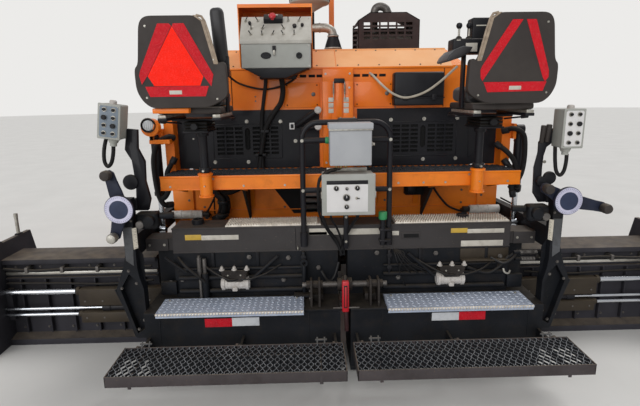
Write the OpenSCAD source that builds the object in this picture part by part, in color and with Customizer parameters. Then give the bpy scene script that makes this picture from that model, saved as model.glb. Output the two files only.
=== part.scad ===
// Wheeled asphalt paver with a heated screed, sliding screed extensions and a folding hopper.
// Millimetres. +X right, +Y forward, +Z up. The origin is on the ground under the middle of the machine.

/* [Machine] */
// Length over the push rollers and the rear walkways
overall_l = 5900; // [5600:50:6200]
// Distance between the rear and front axles
wheelbase = 1900; // [1850:10:1950]
// Half-width of the upper body
body_half_w = 1180; // [1170:5:1190]
// Height of the flat top of the upper body
body_top_z = 2000; // [1990:5:2060]
// Thickness of the body sheets
sheet_t = 8; // [5:1:12]

/* [Wheels] */
// Diameter of the rear tyres
rear_tyre_d = 1450; // [1430:5:1460]
// Width of the rear tyres
rear_tyre_w = 420; // [400:5:430]
// Lugs on each side of a rear tyre
lug_count = 18; // [12:1:20]
// Diameter of the front wheels
front_wheel_d = 560; // [540:5:570]
// Width of the front wheels
front_wheel_w = 230; // [200:5:240]

/* [Hopper and conveyors] */
// Half-width of the hopper between the wing hinges
wing_hinge_x = 700; // [695:1:710]
// Width of the floor of a wing
wing_floor_w = 840; // [800:10:860]
// Height of the side wall of a wing
wing_wall_h = 500; // [400:10:540]
// Distance from the front of a wing to the front of the frame
wing_front_gap = 50; // [40:5:100]
// Spacing of the conveyor slats
slat_pitch = 300; // [240:20:400]
// Radius of the conveyor sprockets
sprocket_r = 80; // [76:1:84]

/* [Screed] */
// Half-width of the main screed
screed_half_w = 1220; // [1210:1:1225]
// Depth of the main screed
screed_d = 393; // [380:1:400]
// Height of the main screed
screed_h = 421; // [415:1:425]
// Gap between the two halves of the main screed
crown_gap = 62; // [50:2:80]
// Length of a screed extension
extension_l = 1050; // [1000:10:1055]
// Height of a screed extension
extension_h = 618; // [600:2:630]
// Radius of the slide rods
slide_rod_r = 20; // [15:1:22]

/* [Walkways] */
// Depth of the rear walkways
walkway_d = 300; // [260:10:320]
// Height of the rear walkways
walkway_z = 300; // [290:5:310]
// Half-width over both rear walkways
walkway_half_w = 1277; // [1250:1:1290]

/* [Stations and rail] */
// Distance of the seat pivots from the middle
station_x = 845; // [835:1:855]
// Width of a seat
seat_w = 420; // [380:5:440]
// Height of the top of the hoop rail
hoop_z = 1550; // [1500:5:1600]
// Radius of the rail tube
rail_r = 17; // [14:1:20]

/* [Augers] */
// Diameter of the auger flights
auger_d = 360; // [320:5:370]
// Length of one turn of the auger
auger_pitch = 330; // [280:10:400]

/* [Hidden] */
$fn = 48;
seat_gap = 0.3;
run_gap = 0.3;
move_gap = 5;

half_l = overall_l / 2;
walkway_front_y = -half_l + walkway_d;
hinge_back = 10;
screed_rear_y = walkway_front_y + 177;
screed_front_y = screed_rear_y + screed_d;
beam_rear_y = screed_rear_y + 233;
beam_d = 200;
slide_d = 65;
slide_y = screed_front_y + move_gap + slide_d / 2;
extension_rear_y = screed_front_y + 120;
extension_front_y = extension_rear_y + 220;
auger_y = extension_front_y + 340;
auger_z = 350;
body_rear_y = auger_y - 440;
rear_axle_y = auger_y + 1000;
rear_tyre_r = rear_tyre_d / 2;
rear_wheel_x = 1010;
rear_axle_z = rear_tyre_r;
lug_h = 30;
rim_r = 345;
front_axle_y = rear_axle_y + wheelbase;
front_wheel_r = front_wheel_d / 2;
front_wheel_x = 950;
kingpin_x = 770;
kingpin_r = 22;
spindle_r = 35;
tow_y = rear_axle_y + 860;
tow_z = 500;
tow_pin_r = 30;
arm_x = screed_half_w + 42;
arm_t = 60;
frame_x = 680;
frame_t = 20;
frame_z = 360;
deck_z = 1100;
body_front_y = rear_axle_y + 900;
body_low_z = 1160;
hopper_rear_y = body_front_y + 20;
frame_front_y = half_l - 350;
auger_beam_z = 740;
cross_x = frame_x - frame_t - seat_gap;
cross_ys = [rear_axle_y - 500, rear_axle_y + 700, front_axle_y, frame_front_y - 500];
roller_r = 75;
roller_y = half_l - roller_r;
roller_z = 480;
beam_z = 720;
beam_top_z = 885;
beam_half_w = 1080;
eave_z = 1880;
eave_d = 200;
grille_top_z = 1600;
wing_hinge_z = 680;
wing_y = hopper_rear_y + 130;
wing_l = frame_front_y - wing_front_gap - wing_y;
wing_rise = 120;
wing_pin_r = 20;
conveyor_z = 540;
conveyor_rear_y = auger_y + 310;
conveyor_front_y = frame_front_y - 160;
chain_t = 20;
lane_x = 335;
lane_w = 540;
chain_w = 30;
chain_xs = [lane_x - lane_w / 2, lane_x + lane_w / 2 - chain_w];
wing_foot = [800, 350];
wing_eye = [1050, 665];
wing_cylinder_y = wing_y + 60;
lift_x = arm_x - 37;
lift_y = body_rear_y - 100;
lift_top_z = 1450;
lift_eye_z = 800;
lift_r = 32;
lift_pin_r = 14;
deck_rear_y = body_rear_y - 350;
deck_edge_z = 1206;
sleeve_y = deck_rear_y - 50;
sleeve_r = 38;
seat_back_y = sleeve_y - 450;
seat_x = 820;
crank_x = screed_half_w + 58;
extension_x = screed_half_w + 60;
slide_x = screed_half_w - 80;
sleeve_end_x = screed_half_w + 640;
crank_z = 1080;
crank_y = beam_rear_y - 290;
post_y = beam_rear_y - 150;
hoop_half_w = 285;
hoop_x = 22;
socket_t = 6;
hoop_y = beam_rear_y - rail_r - socket_t - seat_gap;
hoop_bar_z = [1426, 1120];

// Both sides of the machine, from one right-hand shape
module both_sides() {
    children();
    mirror([1, 0, 0]) children();
}

// The same shape on the left (side = -1) or on the right (side = 1)
module on_side(side) {
    if (side < 0) mirror([1, 0, 0]) children();
    else children();
}

// A plate in the YZ plane from an outline of [y, z] points, from x to x + t
module side_plate(x, t, points) {
    translate([x, 0, 0]) rotate([90, 0, 90]) linear_extrude(t) polygon(points);
}

// A plate in the XZ plane from an outline of [x, z] points, from y to y + t
module cross_plate(y, t, points) {
    translate([0, y + t, 0]) rotate([90, 0, 0]) linear_extrude(t) polygon(points);
}

// A box from its low corner to its high corner
module block(low, high) {
    translate(low) cube(high - low);
}

// A rod along X, Y or Z that starts at a point
module rod_x(at, r, l) { translate(at) rotate([0, 90, 0]) cylinder(r = r, h = l); }
module rod_y(at, r, l) { translate(at) rotate([-90, 0, 0]) cylinder(r = r, h = l); }
module rod_z(at, r, l) { translate(at) cylinder(r = r, h = l); }

// A straight round rod between two points
module rod_between(a, b, r) {
    v = b - a;
    l = norm(v);
    translate(a) rotate([0, acos(v.z / l), atan2(v.y, v.x)]) cylinder(r = r, h = l);
}

module frame_side() {
    difference() {
        side_plate(frame_x - frame_t, frame_t, [
            [body_rear_y, 1040], [auger_y - 120, 760], [auger_y - 60, auger_beam_z + seat_gap],
            [auger_y + 60, auger_beam_z + seat_gap], [auger_y + 220, frame_z],
            [frame_front_y, frame_z], [frame_front_y, wing_hinge_z - 20], [hopper_rear_y, wing_hinge_z - 20],
            [hopper_rear_y, deck_z], [body_rear_y, deck_z]
        ]);
        rod_x([frame_x - frame_t - 1, rear_axle_y, rear_axle_z], 90, frame_t + 2);
    }
}

// Ears that hold the hinge pin of a wing
module wing_ears() {
    for (y = [wing_y + 40, wing_y + wing_l / 2, wing_y + wing_l - 40])
        difference() {
            translate([0, y + 15, 0]) rotate([90, 0, 0]) linear_extrude(30)
                polygon([[frame_x, 600], [frame_x + 56, wing_hinge_z - 20], [frame_x + 56, wing_hinge_z + 22],
                    [frame_x - 10, wing_hinge_z + 22], [frame_x - 10, wing_hinge_z - 20 + run_gap],
                    [frame_x, wing_hinge_z - 20 + run_gap]]);
            rod_y([wing_hinge_x, y - 20, wing_hinge_z], wing_pin_r + run_gap, 40);
        }
}

module chassis_frame() {
    color("#2f2d2c") {
        both_sides() {
            frame_side();
            wing_ears();
            // Tow point beam and pin for the tow arm
            block([frame_x, tow_y - 50, tow_z - 50], [arm_x - move_gap, tow_y + 50, tow_z + 50]);
            rod_x([arm_x - move_gap, tow_y, tow_z], tow_pin_r, arm_t + 2 * move_gap);
            // Foot of the wing cylinder
            block([frame_x, wing_cylinder_y - 56, wing_foot[1] - 30],
                [wing_foot[0] + 30, wing_cylinder_y - 38, wing_foot[1] + 30]);
            rod_y([wing_foot[0], wing_cylinder_y - 38, wing_foot[1]], 15, 64);
            // Hanger of the outer auger bearing
            difference() {
                block([1140, auger_y - 40, auger_z - 60], [1165, auger_y + 40, auger_beam_z - 100]);
                rod_x([1139, auger_y, auger_z], 30 + run_gap, 27);
            }
        }
        // Engine deck, cross members and the auger beam, each seated on the frame sides
        block([-cross_x, auger_y - 120, deck_z - 20], [cross_x, hopper_rear_y, deck_z]);
        for (y = cross_ys) block([-cross_x, y - 40, frame_z], [cross_x, y + 40, frame_z + 50]);
        block([-1165, auger_y - 60, auger_beam_z - 100], [1165, auger_y + 40, auger_beam_z]);
        block([-cross_x, frame_front_y - 40, frame_z], [cross_x, frame_front_y, frame_z + 240]);
        // Centre gear case of the augers
        difference() {
            block([-40, auger_y - 60, auger_z - 70], [40, auger_y + 60, auger_beam_z - 100]);
            rod_x([-41, auger_y, auger_z], 30 + run_gap, 82);
        }
    }
}

// Outline of the upper body seen from the rear, as [x, z]
function body_outline(inset) = let (w = body_half_w - inset, t = 780 - inset) [
    [-w, body_low_z], [-w, grille_top_z + 100], [-t - 90, eave_z], [-t, body_top_z - inset],
    [t, body_top_z - inset], [t + 90, eave_z], [w, grille_top_z + 100], [w, body_low_z]
];

module body_shell() {
    color("#e0701c")
    difference() {
        union() {
            difference() {
                cross_plate(body_rear_y, body_front_y - body_rear_y, body_outline(0));
                translate([0, 0, -1]) cross_plate(body_rear_y + sheet_t,
                    body_front_y - body_rear_y - 2 * sheet_t, body_outline(sheet_t));
            }
            // Centre column of the rear wall
            block([-107, body_rear_y - 60, deck_edge_z], [97, body_rear_y, eave_z - 20]);
            // Lining over each rear tyre
            both_sides() difference() {
                rod_x([frame_x + 20, rear_axle_y, rear_axle_z], rear_tyre_r + 60 + sheet_t, body_half_w - frame_x - 20);
                rod_x([frame_x, rear_axle_y, rear_axle_z], rear_tyre_r + 60, body_half_w);
                block([0, rear_axle_y - 1000, -200], [2000, rear_axle_y + 1000, body_low_z]);
            }
        }
        // Sloped eave along the rear edge of the top
        side_plate(-1300, 2600, [[body_rear_y - 100, body_top_z + 100], [body_rear_y - 100, eave_z - 70],
            [body_rear_y, eave_z], [body_rear_y + eave_d, body_top_z], [body_rear_y + eave_d, body_top_z + 100]]);
        // Opening behind the louvred grille
        both_sides() block([180, body_rear_y - 1, body_low_z + 40],
            [body_half_w - 140, body_rear_y + sheet_t + 1, grille_top_z - 40]);
        both_sides() rod_x([frame_x + 21, rear_axle_y, rear_axle_z], rear_tyre_r + 60, body_half_w);
    }
    color("#e0701c")
    intersection() {
        cross_plate(body_rear_y, body_front_y - body_rear_y, body_outline(0));
        side_plate(-1300, 2600, [[body_rear_y, eave_z], [body_rear_y + eave_d, body_top_z],
            [body_rear_y + eave_d, body_top_z - 10], [body_rear_y, eave_z - 10]]);
    }
}

slot_rows = 9;
slot_w = 44;
slot_h = 22;
slot_step = [66, 36];
wall_box_x = 370;

module rear_grille() {
    color("#1b1a20")
    both_sides() translate([0, body_rear_y - 6 - seat_gap, 0]) rotate([90, 0, 0]) translate([0, 0, -6])
    linear_extrude(6) difference() {
        polygon([[130, deck_edge_z + seat_gap], [1100, deck_edge_z + seat_gap], [1100, grille_top_z],
            [130, grille_top_z]]);
        for (bank = [240, 470, 760]) for (row = [0 : slot_rows - 1]) for (col = [0 : 2])
            translate([bank + col * slot_step[0], 1250 + row * slot_step[1]]) square([slot_w, slot_h]);
        translate([435, 1250]) square([18, slot_rows * slot_step[1] - 10]);
    }
    // Hinged tool box on the rear wall
    color("#1b1a20") {
        block([wall_box_x + 8, body_rear_y - 82, 1621], [wall_box_x + 322, body_rear_y - seat_gap, 1670]);
        block([wall_box_x, body_rear_y - 90, 1670], [wall_box_x + 330, body_rear_y - seat_gap, 1832]);
    }
}

module engine_block() {
    color("#55575a") {
        block([-330, rear_axle_y - 900, deck_z], [330, rear_axle_y + 200, deck_z + 620]);
        block([-250, rear_axle_y - 800, deck_z + 620], [250, rear_axle_y + 100, deck_z + 760]);
    }
}

module exhaust_guard() {
    guard_y = rear_axle_y - 540;
    guard_h = 2305 - body_top_z;
    color("#3a3230") {
        difference() {
            translate([470, guard_y, body_top_z]) rotate([90, 0, 90]) translate([0, 0, -300])
                linear_extrude(600) polygon([[0, 0], [0, guard_h], [500, guard_h], [500, 0]]);
            translate([470, guard_y + 6, body_top_z - 1]) rotate([90, 0, 90]) translate([0, 0, -294])
                linear_extrude(588) polygon([[0, 0], [0, guard_h - 5], [488, guard_h - 5], [488, 0]]);
            for (row = [0 : 3]) for (col = [0 : 6])
                block([230 + col * 72, guard_y - 1, body_top_z + guard_h - 205 + row * 42],
                    [280 + col * 72, guard_y + 8, body_top_z + guard_h - 181 + row * 42]);
            both_sides_of(470) translate([300, guard_y - 1, body_top_z + guard_h]) rotate([-90, 45, 0])
                translate([-60, -60, 0]) cube([120, 120, 510]);
        }
    }
    color("#b9b4b2") {
        rod_x([200, guard_y + 250, body_top_z + 130], 110, 540);
        rod_z([470, guard_y + 250, body_top_z + 200], 38, guard_h - 25);
    }
}

// Children twice, mirrored about the plane x = c
module both_sides_of(c) {
    translate([c, 0, 0]) both_sides() children();
}

module air_intake() {
    pipe_x = -155;
    intake_y = rear_axle_y - 540;
    bowl_z = 2410;
    elbow_x = 25;
    color("#4a4542") {
        rod_z([pipe_x, intake_y, body_top_z], 30, bowl_z - body_top_z);
        translate([pipe_x, intake_y, bowl_z]) cylinder(r1 = 60, r2 = 165, h = 70);
        rod_z([pipe_x, intake_y, bowl_z + 70], 165, 90);
        translate([pipe_x, intake_y, bowl_z + 160]) cylinder(r1 = 165, r2 = 60, h = 50);
        // Inlet elbow with its clamp
        rod_z([elbow_x, intake_y, body_top_z], 66, 2150 - body_top_z);
        rod_z([elbow_x, intake_y, body_top_z + 60], 72, 20);
        translate([elbow_x, intake_y - 100, 2150]) rotate([90, 0, 90]) rotate_extrude(angle = 90)
            translate([100, 0]) circle(r = 66);
        rod_y([elbow_x, intake_y - 140, 2250], 60, 40);
    }
}

module lamp_mast() {
    mast_y = rear_axle_y - 240;
    color("#e0701c") block([0, mast_y, body_top_z], [45, mast_y + 45, 2900]);
    color("#3a3a3a") block([-120, mast_y - 60, 2900], [165, mast_y + 60, 2960]);
}

module rear_deck() {
    color("#e0701c") {
        // Deck strip and its serrated grating
        block([-1140, deck_rear_y, deck_edge_z - 86], [1140, deck_rear_y + 8, deck_edge_z]);
        block([-1140, deck_rear_y + 8, deck_edge_z - 30], [1140, body_rear_y - 20, deck_edge_z - 20]);
        both_sides() for (x = [frame_x - 2 * frame_t, 1060])
            side_plate(x, 20, [[deck_rear_y + 8, deck_edge_z - 30], [deck_rear_y + 8, deck_edge_z - 80],
                [body_rear_y, 1040], [body_rear_y, deck_edge_z - 30]]);
        // Pivot sleeves of the stations
        both_sides() difference() {
            union() {
                rod_z([station_x, sleeve_y, 1085], sleeve_r, 150);
                block([station_x - 25, sleeve_y + sleeve_r - 8, 1120], [station_x + 25, deck_rear_y, 1200]);
            }
            rod_z([station_x, sleeve_y, 1084], 24 + run_gap, 152);
        }
        // Lower rear wall
        difference() {
            block([-1100, auger_y - 140, 740], [1100, auger_y - 120, deck_edge_z - 86]);
            block([-240, auger_y - 141, 800], [100, auger_y - 119, 1000]);
            both_sides() block([frame_x - frame_t, auger_y - 141, 700], [frame_x, auger_y - 119, 1200]);
        }
    }
}

module side_posts() {
    color("#e0701c") both_sides() {
        block([1105, body_rear_y - 100, deck_edge_z], [1165, body_rear_y, 1600]);
        difference() {
            block([1165, lift_y - 40, lift_top_z - 60], [1185, lift_y + 40, lift_top_z + 40]);
            rod_x([1164, lift_y, lift_top_z], 10, 22);
        }
        rod_x([1165, lift_y, lift_top_z], 15, lift_x + 32 - 1165);
    }
    // Work lamp behind the left lift cylinder
    color("#8b8f96") mirror([1, 0, 0]) {
        block([1105, lift_y - 100, 1400], [1165, lift_y, 1425]);
        block([1165, lift_y - 100, 1400], [lift_x + 10, lift_y - 80, 1425]);
        block([lift_x - 20, lift_y - 100, 1425], [lift_x, lift_y - 80, 1460]);
        rod_y([lift_x - 7, lift_y - 120, 1505], 56, 60);
    }
}

module console() {
    y = body_rear_y - 250;
    color("#8b8781")
    side_plate(-610, 429, [[y, 1861], [y, 2022], [y + 160, 2180], [y + 230, 2180], [y + 230, 1861]]);
    color("#1b1a20") {
        translate([0, y + 220, 0]) rotate([90, 0, 0]) linear_extrude(210)
            polygon([[-605, 1861], [-186, 1861], [-300, 1795], [-500, 1795]]);
        block([-520, y + 220, 1800], [-280, body_rear_y, 1850]);
    }
    color("#c8102a") rod_y([-395, y + 20, 2120], 22, 60);
}

module console_hood() {
    y = body_rear_y - 50;
    l = 260;
    outline = [[y, 2268], [y + l, 2268], [y + l, body_top_z], [body_rear_y + eave_d, body_top_z],
        [body_rear_y, eave_z], [y, eave_z]];
    color("#e0701c") {
        side_plate(-647, 6, outline);
        side_plate(-173, 6, outline);
        block([-641, y, 2262], [-173, y + l, 2268]);
        block([-641, y + l - 6, body_top_z], [-173, y + l, 2262]);
    }
}

module axles() {
    color("#2f2d2c") {
        both_sides() {
            // Final drive of a rear wheel
            rod_x([frame_x, rear_axle_y, rear_axle_z], 170, 120);
            rod_x([frame_x + 120, rear_axle_y, rear_axle_z], 130, 180);
            rod_x([frame_x + 300, rear_axle_y, rear_axle_z], 60, 55);
            // Fork and kingpin of a front wheel
            difference() {
                block([frame_x - 60, front_axle_y - 60, 170], [kingpin_x + 40, front_axle_y + 60, frame_z]);
                block([kingpin_x - 60, front_axle_y - 61, 195], [kingpin_x + 41, front_axle_y + 61, frame_z - 25]);
            }
            rod_z([kingpin_x, front_axle_y, 175], kingpin_r, frame_z - 180);
        }
        block([-frame_x + 60, front_axle_y - 50, 200], [frame_x - 60, front_axle_y + 50, frame_z]);
    }
}

module knuckle(side) {
    color("#2f2d2c") on_side(side) difference() {
        union() {
            rod_z([kingpin_x, front_axle_y, 196], 45, frame_z - 25 - 197);
            rod_x([kingpin_x, front_axle_y, front_wheel_r], spindle_r, front_wheel_x + 60 - kingpin_x);
            block([kingpin_x - 25, front_axle_y - 160, 240], [kingpin_x + 25, front_axle_y - 30, 265]);
        }
        rod_z([kingpin_x, front_axle_y, 190], kingpin_r + run_gap, frame_z);
    }
}

module front_wheel(side) {
    x = front_wheel_x - front_wheel_w / 2;
    color("#20201f") on_side(side) translate([x, front_axle_y, front_wheel_r]) rotate([90, 0, 90])
    rotate_extrude($fn = 64) polygon([
        [spindle_r + run_gap, 30], [130, 30], [150, 0], [front_wheel_r - 15, 0], [front_wheel_r, 15],
        [front_wheel_r, front_wheel_w - 15], [front_wheel_r - 15, front_wheel_w], [150, front_wheel_w],
        [130, front_wheel_w - 50], [60, front_wheel_w - 50], [60, front_wheel_w - 20], [0, front_wheel_w - 20],
        [0, front_wheel_w - 40], [spindle_r + run_gap, front_wheel_w - 40]
    ]);
}

module rear_tyre(side) {
    x = rear_wheel_x - rear_tyre_w / 2;
    r = rear_tyre_r - lug_h;
    color("#20201f") on_side(side) translate([x, rear_axle_y, rear_axle_z]) rotate([90, 0, 90]) {
        rotate_extrude($fn = 72) polygon([
            [rim_r + run_gap, 60], [r - 180, 12], [r - 60, 12], [r - 15, 45], [r, 90],
            [r, rear_tyre_w - 90], [r - 15, rear_tyre_w - 45], [r - 60, rear_tyre_w - 12],
            [r - 180, rear_tyre_w - 12], [rim_r + run_gap, rear_tyre_w - 60]
        ]);
        for (i = [0 : lug_count - 1]) {
            rotate([0, 0, i * 360 / lug_count]) lug(1);
            rotate([0, 0, (i + 0.5) * 360 / lug_count]) translate([0, 0, rear_tyre_w]) mirror([0, 0, 1]) lug(1);
        }
    }
}

// One slanted lug from the shoulder to the middle of the tread
module lug(hand) {
    intersection() {
        translate([rear_tyre_r - 75, 0, 6]) rotate([38 * hand, 0, 0]) translate([0, -25, 0])
            cube([80, 50, rear_tyre_w * 0.66]);
        cylinder(r = rear_tyre_r, h = rear_tyre_w / 2 + 20, $fn = 96);
    }
}

module rear_rim(side) {
    color("#c9652a") on_side(side) translate([rear_wheel_x - 150, rear_axle_y, rear_axle_z]) rotate([90, 0, 90])
    difference() {
        rotate_extrude($fn = 72) polygon([
            [60 + run_gap, 125], [160, 125], [190, 150], [rim_r - 30, 150], [rim_r - 30, 0], [rim_r, 0],
            [rim_r, 300], [rim_r - 30, 300], [rim_r - 30, 175], [180, 175], [150, 150], [60 + run_gap, 150]
        ]);
        for (i = [0 : 9]) rotate([0, 0, i * 36]) translate([110, 0, 100]) cylinder(r = 13, h = 80);
    }
}

module conveyors() {
    color("#4b4643") both_sides() {
        strand(conveyor_z + sprocket_r, 4);
        strand(conveyor_z - sprocket_r - chain_t, -4);
        for (x = chain_xs) {
            chain_bend(x, conveyor_rear_y, -1);
            chain_bend(x, conveyor_front_y, 1);
        }
        for (y = [conveyor_rear_y, conveyor_front_y]) {
            // Sprockets on their shaft, which ends in the frame's side
            for (x = chain_xs) rod_x([x, y, conveyor_z], sprocket_r - seat_gap, chain_w);
            rod_x([chain_xs[0], y, conveyor_z], 30, frame_x - frame_t - chain_xs[0]);
        }
    }
}

// Two chains with the slats between them; the slats stand out of the chains by rise
module strand(z, rise) {
    l = conveyor_front_y - conveyor_rear_y;
    for (x = chain_xs) block([x, conveyor_rear_y, z], [x + chain_w, conveyor_front_y, z + chain_t]);
    for (i = [0 : floor(l / slat_pitch)])
        block([chain_xs[0] + chain_w, conveyor_rear_y + i * slat_pitch + 10, z + rise],
            [chain_xs[1], conveyor_rear_y + i * slat_pitch + 50, z + chain_t + rise]);
}

// Half a turn of a chain round its sprocket, behind (way = -1) or in front (way = 1) of the shaft
module chain_bend(x, y, way) {
    difference() {
        rod_x([x, y, conveyor_z], sprocket_r + chain_t, chain_w);
        rod_x([x - 1, y, conveyor_z], sprocket_r, chain_w + 2);
        translate([x - 1, y - (way > 0 ? 200 - seat_gap : seat_gap), conveyor_z - 150])
            cube([chain_w + 2, 200, 300]);
    }
}

module hopper_body() {
    color("#3d3a38") {
        // Floor plate between the strands, carried by both frame sides
        block([-frame_x + frame_t, conveyor_rear_y + 140, conveyor_z + 30],
            [frame_x - frame_t, conveyor_front_y - 140, conveyor_z + 42]);
    }
    color("#e0701c") {
        // Rear wall of the hopper over the tunnel
        difference() {
            block([-frame_x, hopper_rear_y, wing_hinge_z - 20], [frame_x, hopper_rear_y + 12, 1500]);
            block([-frame_x + 60, hopper_rear_y - 1, wing_hinge_z - 21], [frame_x - 60, hopper_rear_y + 13, 960]);
        }
        // Front lip
        block([-frame_x, frame_front_y, frame_z + 240], [frame_x, frame_front_y + 12, 760]);
        block([-frame_x + frame_t, frame_front_y - 40, frame_z + 240],
            [frame_x - frame_t, frame_front_y, frame_z + 252]);
    }
}

module push_beam() {
    y = frame_front_y;
    color("#e0701c") {
        both_sides() block([300, y, 400], [500, y + 110, 560]);
        block([-850, y + 110, 390], [850, y + 190, 570]);
        // Tie-down eyes on the front of the beam's ends
        both_sides() difference() {
            side_plate(800, 20, [[y + 190, 420], [y + 190, 540], [y + 290, 520], [y + 290, 440]]);
            rod_x([799, y + 250, roller_z], 25, 22);
        }
        both_sides() for (x = [125, 760]) difference() {
            side_plate(x, 20, [[y + 190, 420], [y + 190, 540], [roller_y + 40, 520], [roller_y + 40, 440]]);
            rod_x([x - 1, roller_y, roller_z], 25 + run_gap, 22);
        }
    }
}

module push_roller(side) {
    color("#55575a") on_side(side) {
        rod_x([150, roller_y, roller_z], roller_r, 605);
        rod_x([120, roller_y, roller_z], 25, 665);
    }
}

module wing(side) {
    floor_end = [wing_hinge_x + wing_floor_w, wing_hinge_z + wing_rise];
    wall_top = [floor_end[0] + 80, floor_end[1] + wing_wall_h];
    color("#e0701c") on_side(side) {
        difference() {
            union() {
                cross_plate(wing_y, wing_l, [[wing_hinge_x, wing_hinge_z + 8], floor_end, wall_top,
                    [wall_top[0] + 14, wall_top[1]], [floor_end[0] + 12, floor_end[1] - 14],
                    [wing_hinge_x, wing_hinge_z - 8]]);
                cross_plate(wing_y, 12, [[wing_hinge_x, wing_hinge_z], floor_end, wall_top,
                    [wing_hinge_x + 120, wall_top[1] - 150], [wing_hinge_x + 20, wing_hinge_z + 200]]);
                cross_plate(wing_y + wing_l - 12, 12, [[wing_hinge_x, wing_hinge_z], floor_end,
                    [floor_end[0] + 30, floor_end[1] + 180], [wing_hinge_x + 60, wing_hinge_z + 80]]);
                for (k = [0.25, 0.5, 0.75])
                    cross_plate(wing_y + wing_l * k, 12, [[wing_hinge_x + 260, wing_hinge_z + 20], floor_end,
                        [floor_end[0] - 60, floor_end[1] - 80]]);
            }
            for (y = [wing_y + 40, wing_y + wing_l / 2, wing_y + wing_l - 40])
                rod_y([wing_hinge_x, y - 22, wing_hinge_z], 75, 44);
        }
        rod_y([wing_hinge_x, wing_y, wing_hinge_z], wing_pin_r, wing_l);
        // Ear for the cylinder's rod
        difference() {
            cross_plate(wing_cylinder_y + 20, 14, [[wing_eye[0] - 60, 735], [wing_eye[0] - 30, wing_eye[1] - 30],
                [wing_eye[0] + 30, wing_eye[1] - 30], [wing_eye[0] + 60, 735]]);
            rod_y([wing_eye[0], wing_cylinder_y, wing_eye[1]], 15, 60);
        }
    }
}

wing_angle = atan2(wing_eye[1] - wing_foot[1], wing_eye[0] - wing_foot[0]);

// Places children with +Z along the wing cylinder, from its foot
module along_wing_cylinder(side) {
    on_side(side) translate([wing_foot[0], wing_cylinder_y, wing_foot[1]]) rotate([0, 90 - wing_angle, 0])
        children();
}

module wing_barrel(side) {
    color("#1b1a20") along_wing_cylinder(side) difference() {
        union() {
            translate([0, 0, 24]) cylinder(r = 32, h = 300);
            rotate([90, 0, 0]) translate([0, 0, -18]) cylinder(r = 28, h = 36);
        }
        rotate([90, 0, 0]) translate([0, 0, -40]) cylinder(r = 15 + run_gap, h = 80);
        translate([0, 0, 60]) cylinder(r = 18 + run_gap, h = 300);
    }
}

module wing_rod(side) {
    l = norm(wing_eye - wing_foot);
    color("#c8c8c8") along_wing_cylinder(side) {
        translate([0, 0, 100]) cylinder(r = 18, h = l - 110);
        translate([0, 0, l]) rotate([90, 0, 0]) translate([0, 0, -18]) difference() {
            cylinder(r = 28, h = 36);
            translate([0, 0, -1]) cylinder(r = 15, h = 38);
        }
    }
}

module screed_boxes() {
    y0 = screed_rear_y;
    y1 = screed_front_y;
    color("#1d1f22") both_sides()
    side_plate(crown_gap / 2, screed_half_w - crown_gap / 2, [
        [y0, 12], [y0 + 12, 0], [y1 - 40, 0], [y1, 40], [y1, screed_h], [y0 + 6, screed_h], [y0, screed_h - 6]
    ]);
}

module screed_frame() {
    color("#26282c") {
        both_sides() {
            // Wall behind the vibrators and the uprights under the step beam
            block([crown_gap / 2, beam_rear_y, screed_h], [beam_half_w, beam_rear_y + 10, beam_z]);
            for (x = [crown_gap / 2, 420, 820, beam_half_w - 12])
                side_plate(x, 12, [[beam_rear_y + 10, screed_h], [screed_front_y, screed_h],
                    [beam_rear_y + 120, beam_z], [beam_rear_y + 10, beam_z]]);
            // End plate and crank post
            difference() {
                translate([screed_half_w, 0, 0]) cross_plate(post_y - 40, 70, [[0, 240], [0, 560], [20, 640],
                    [27, 700], [27, 1118], [89, 1118], [89, 780], [110, 700], [165, 560], [70, 240]]);
                translate([screed_half_w, 0, 0]) cross_plate(post_y - 41, 72, [[15, 300], [15, 540], [42, 620],
                    [80, 660], [140, 560], [62, 270]]);
            }
            block([screed_half_w, post_y - 40, 60], [screed_half_w + 16, post_y + 200, 239.7]);
            // Rails that guide the slide blocks of the extension
            block([slide_x + 10, screed_front_y - 30, screed_h], [screed_half_w, screed_front_y + slide_d, 440]);
            block([slide_x + 10, screed_front_y, 160], [screed_half_w, screed_front_y + slide_d, 174]);
            // Brackets of the walkway hinges
            for (x = [60, 620, 1190]) difference() {
                union() {
                    side_plate(x, 14, [[screed_rear_y, 180], [screed_rear_y, 262],
                        [walkway_front_y + hinge_back - 12, 262], [walkway_front_y + hinge_back - 12, 240]]);
                    rod_x([x, walkway_front_y + hinge_back, walkway_z - 16], 14, 14);
                    side_plate(x, 14, [[walkway_front_y + hinge_back - 12, 262],
                        [walkway_front_y + hinge_back - 12, walkway_z - 16],
                        [walkway_front_y + hinge_back + 12, walkway_z - 16],
                        [walkway_front_y + hinge_back + 12, 262]]);
                }
                rod_x([x - 1, walkway_front_y + hinge_back, walkway_z - 16], 8 + run_gap, 16);
            }
            // Bearing of the depth crank
            difference() {
                rod_y([crank_x, crank_y + 60, crank_z], 38, post_y - 40 - crank_y - 60);
                rod_y([crank_x, crank_y, crank_z], 15 + run_gap, 160);
            }
        }
    }
}

module crown_screw() {
    y = post_y;
    color("#3d3a38") {
        both_sides() {
            for (x = [150, 200])
                side_plate(x, 14, [[y - 50, screed_h], [y - 30, 590], [y + 30, 590], [y + 60, screed_h]]);
            // Clevis plate between the brackets, and the nut on the screw
            block([164, y - 20, screed_h], [200, y + 20, 470]);
            rod_x([100, y, 550], 30, 44);
            rod_x([214, y, 550], 28, 14);
        }
        rod_x([-240, y, 550], 16, 480);
        rod_x([-60, y, 550], 26, 120);
        rod_x([-14, y, 550], 48, 28);
    }
    // Ratchet handle
    color("#b01020") {
        block([-12, y - 84, 400], [12, y - 40, 640]);
        rod_y([0, y - 84, 640], 20, 44);
        rod_y([0, y - 84, 400], 17, 44);
    }
}

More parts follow.
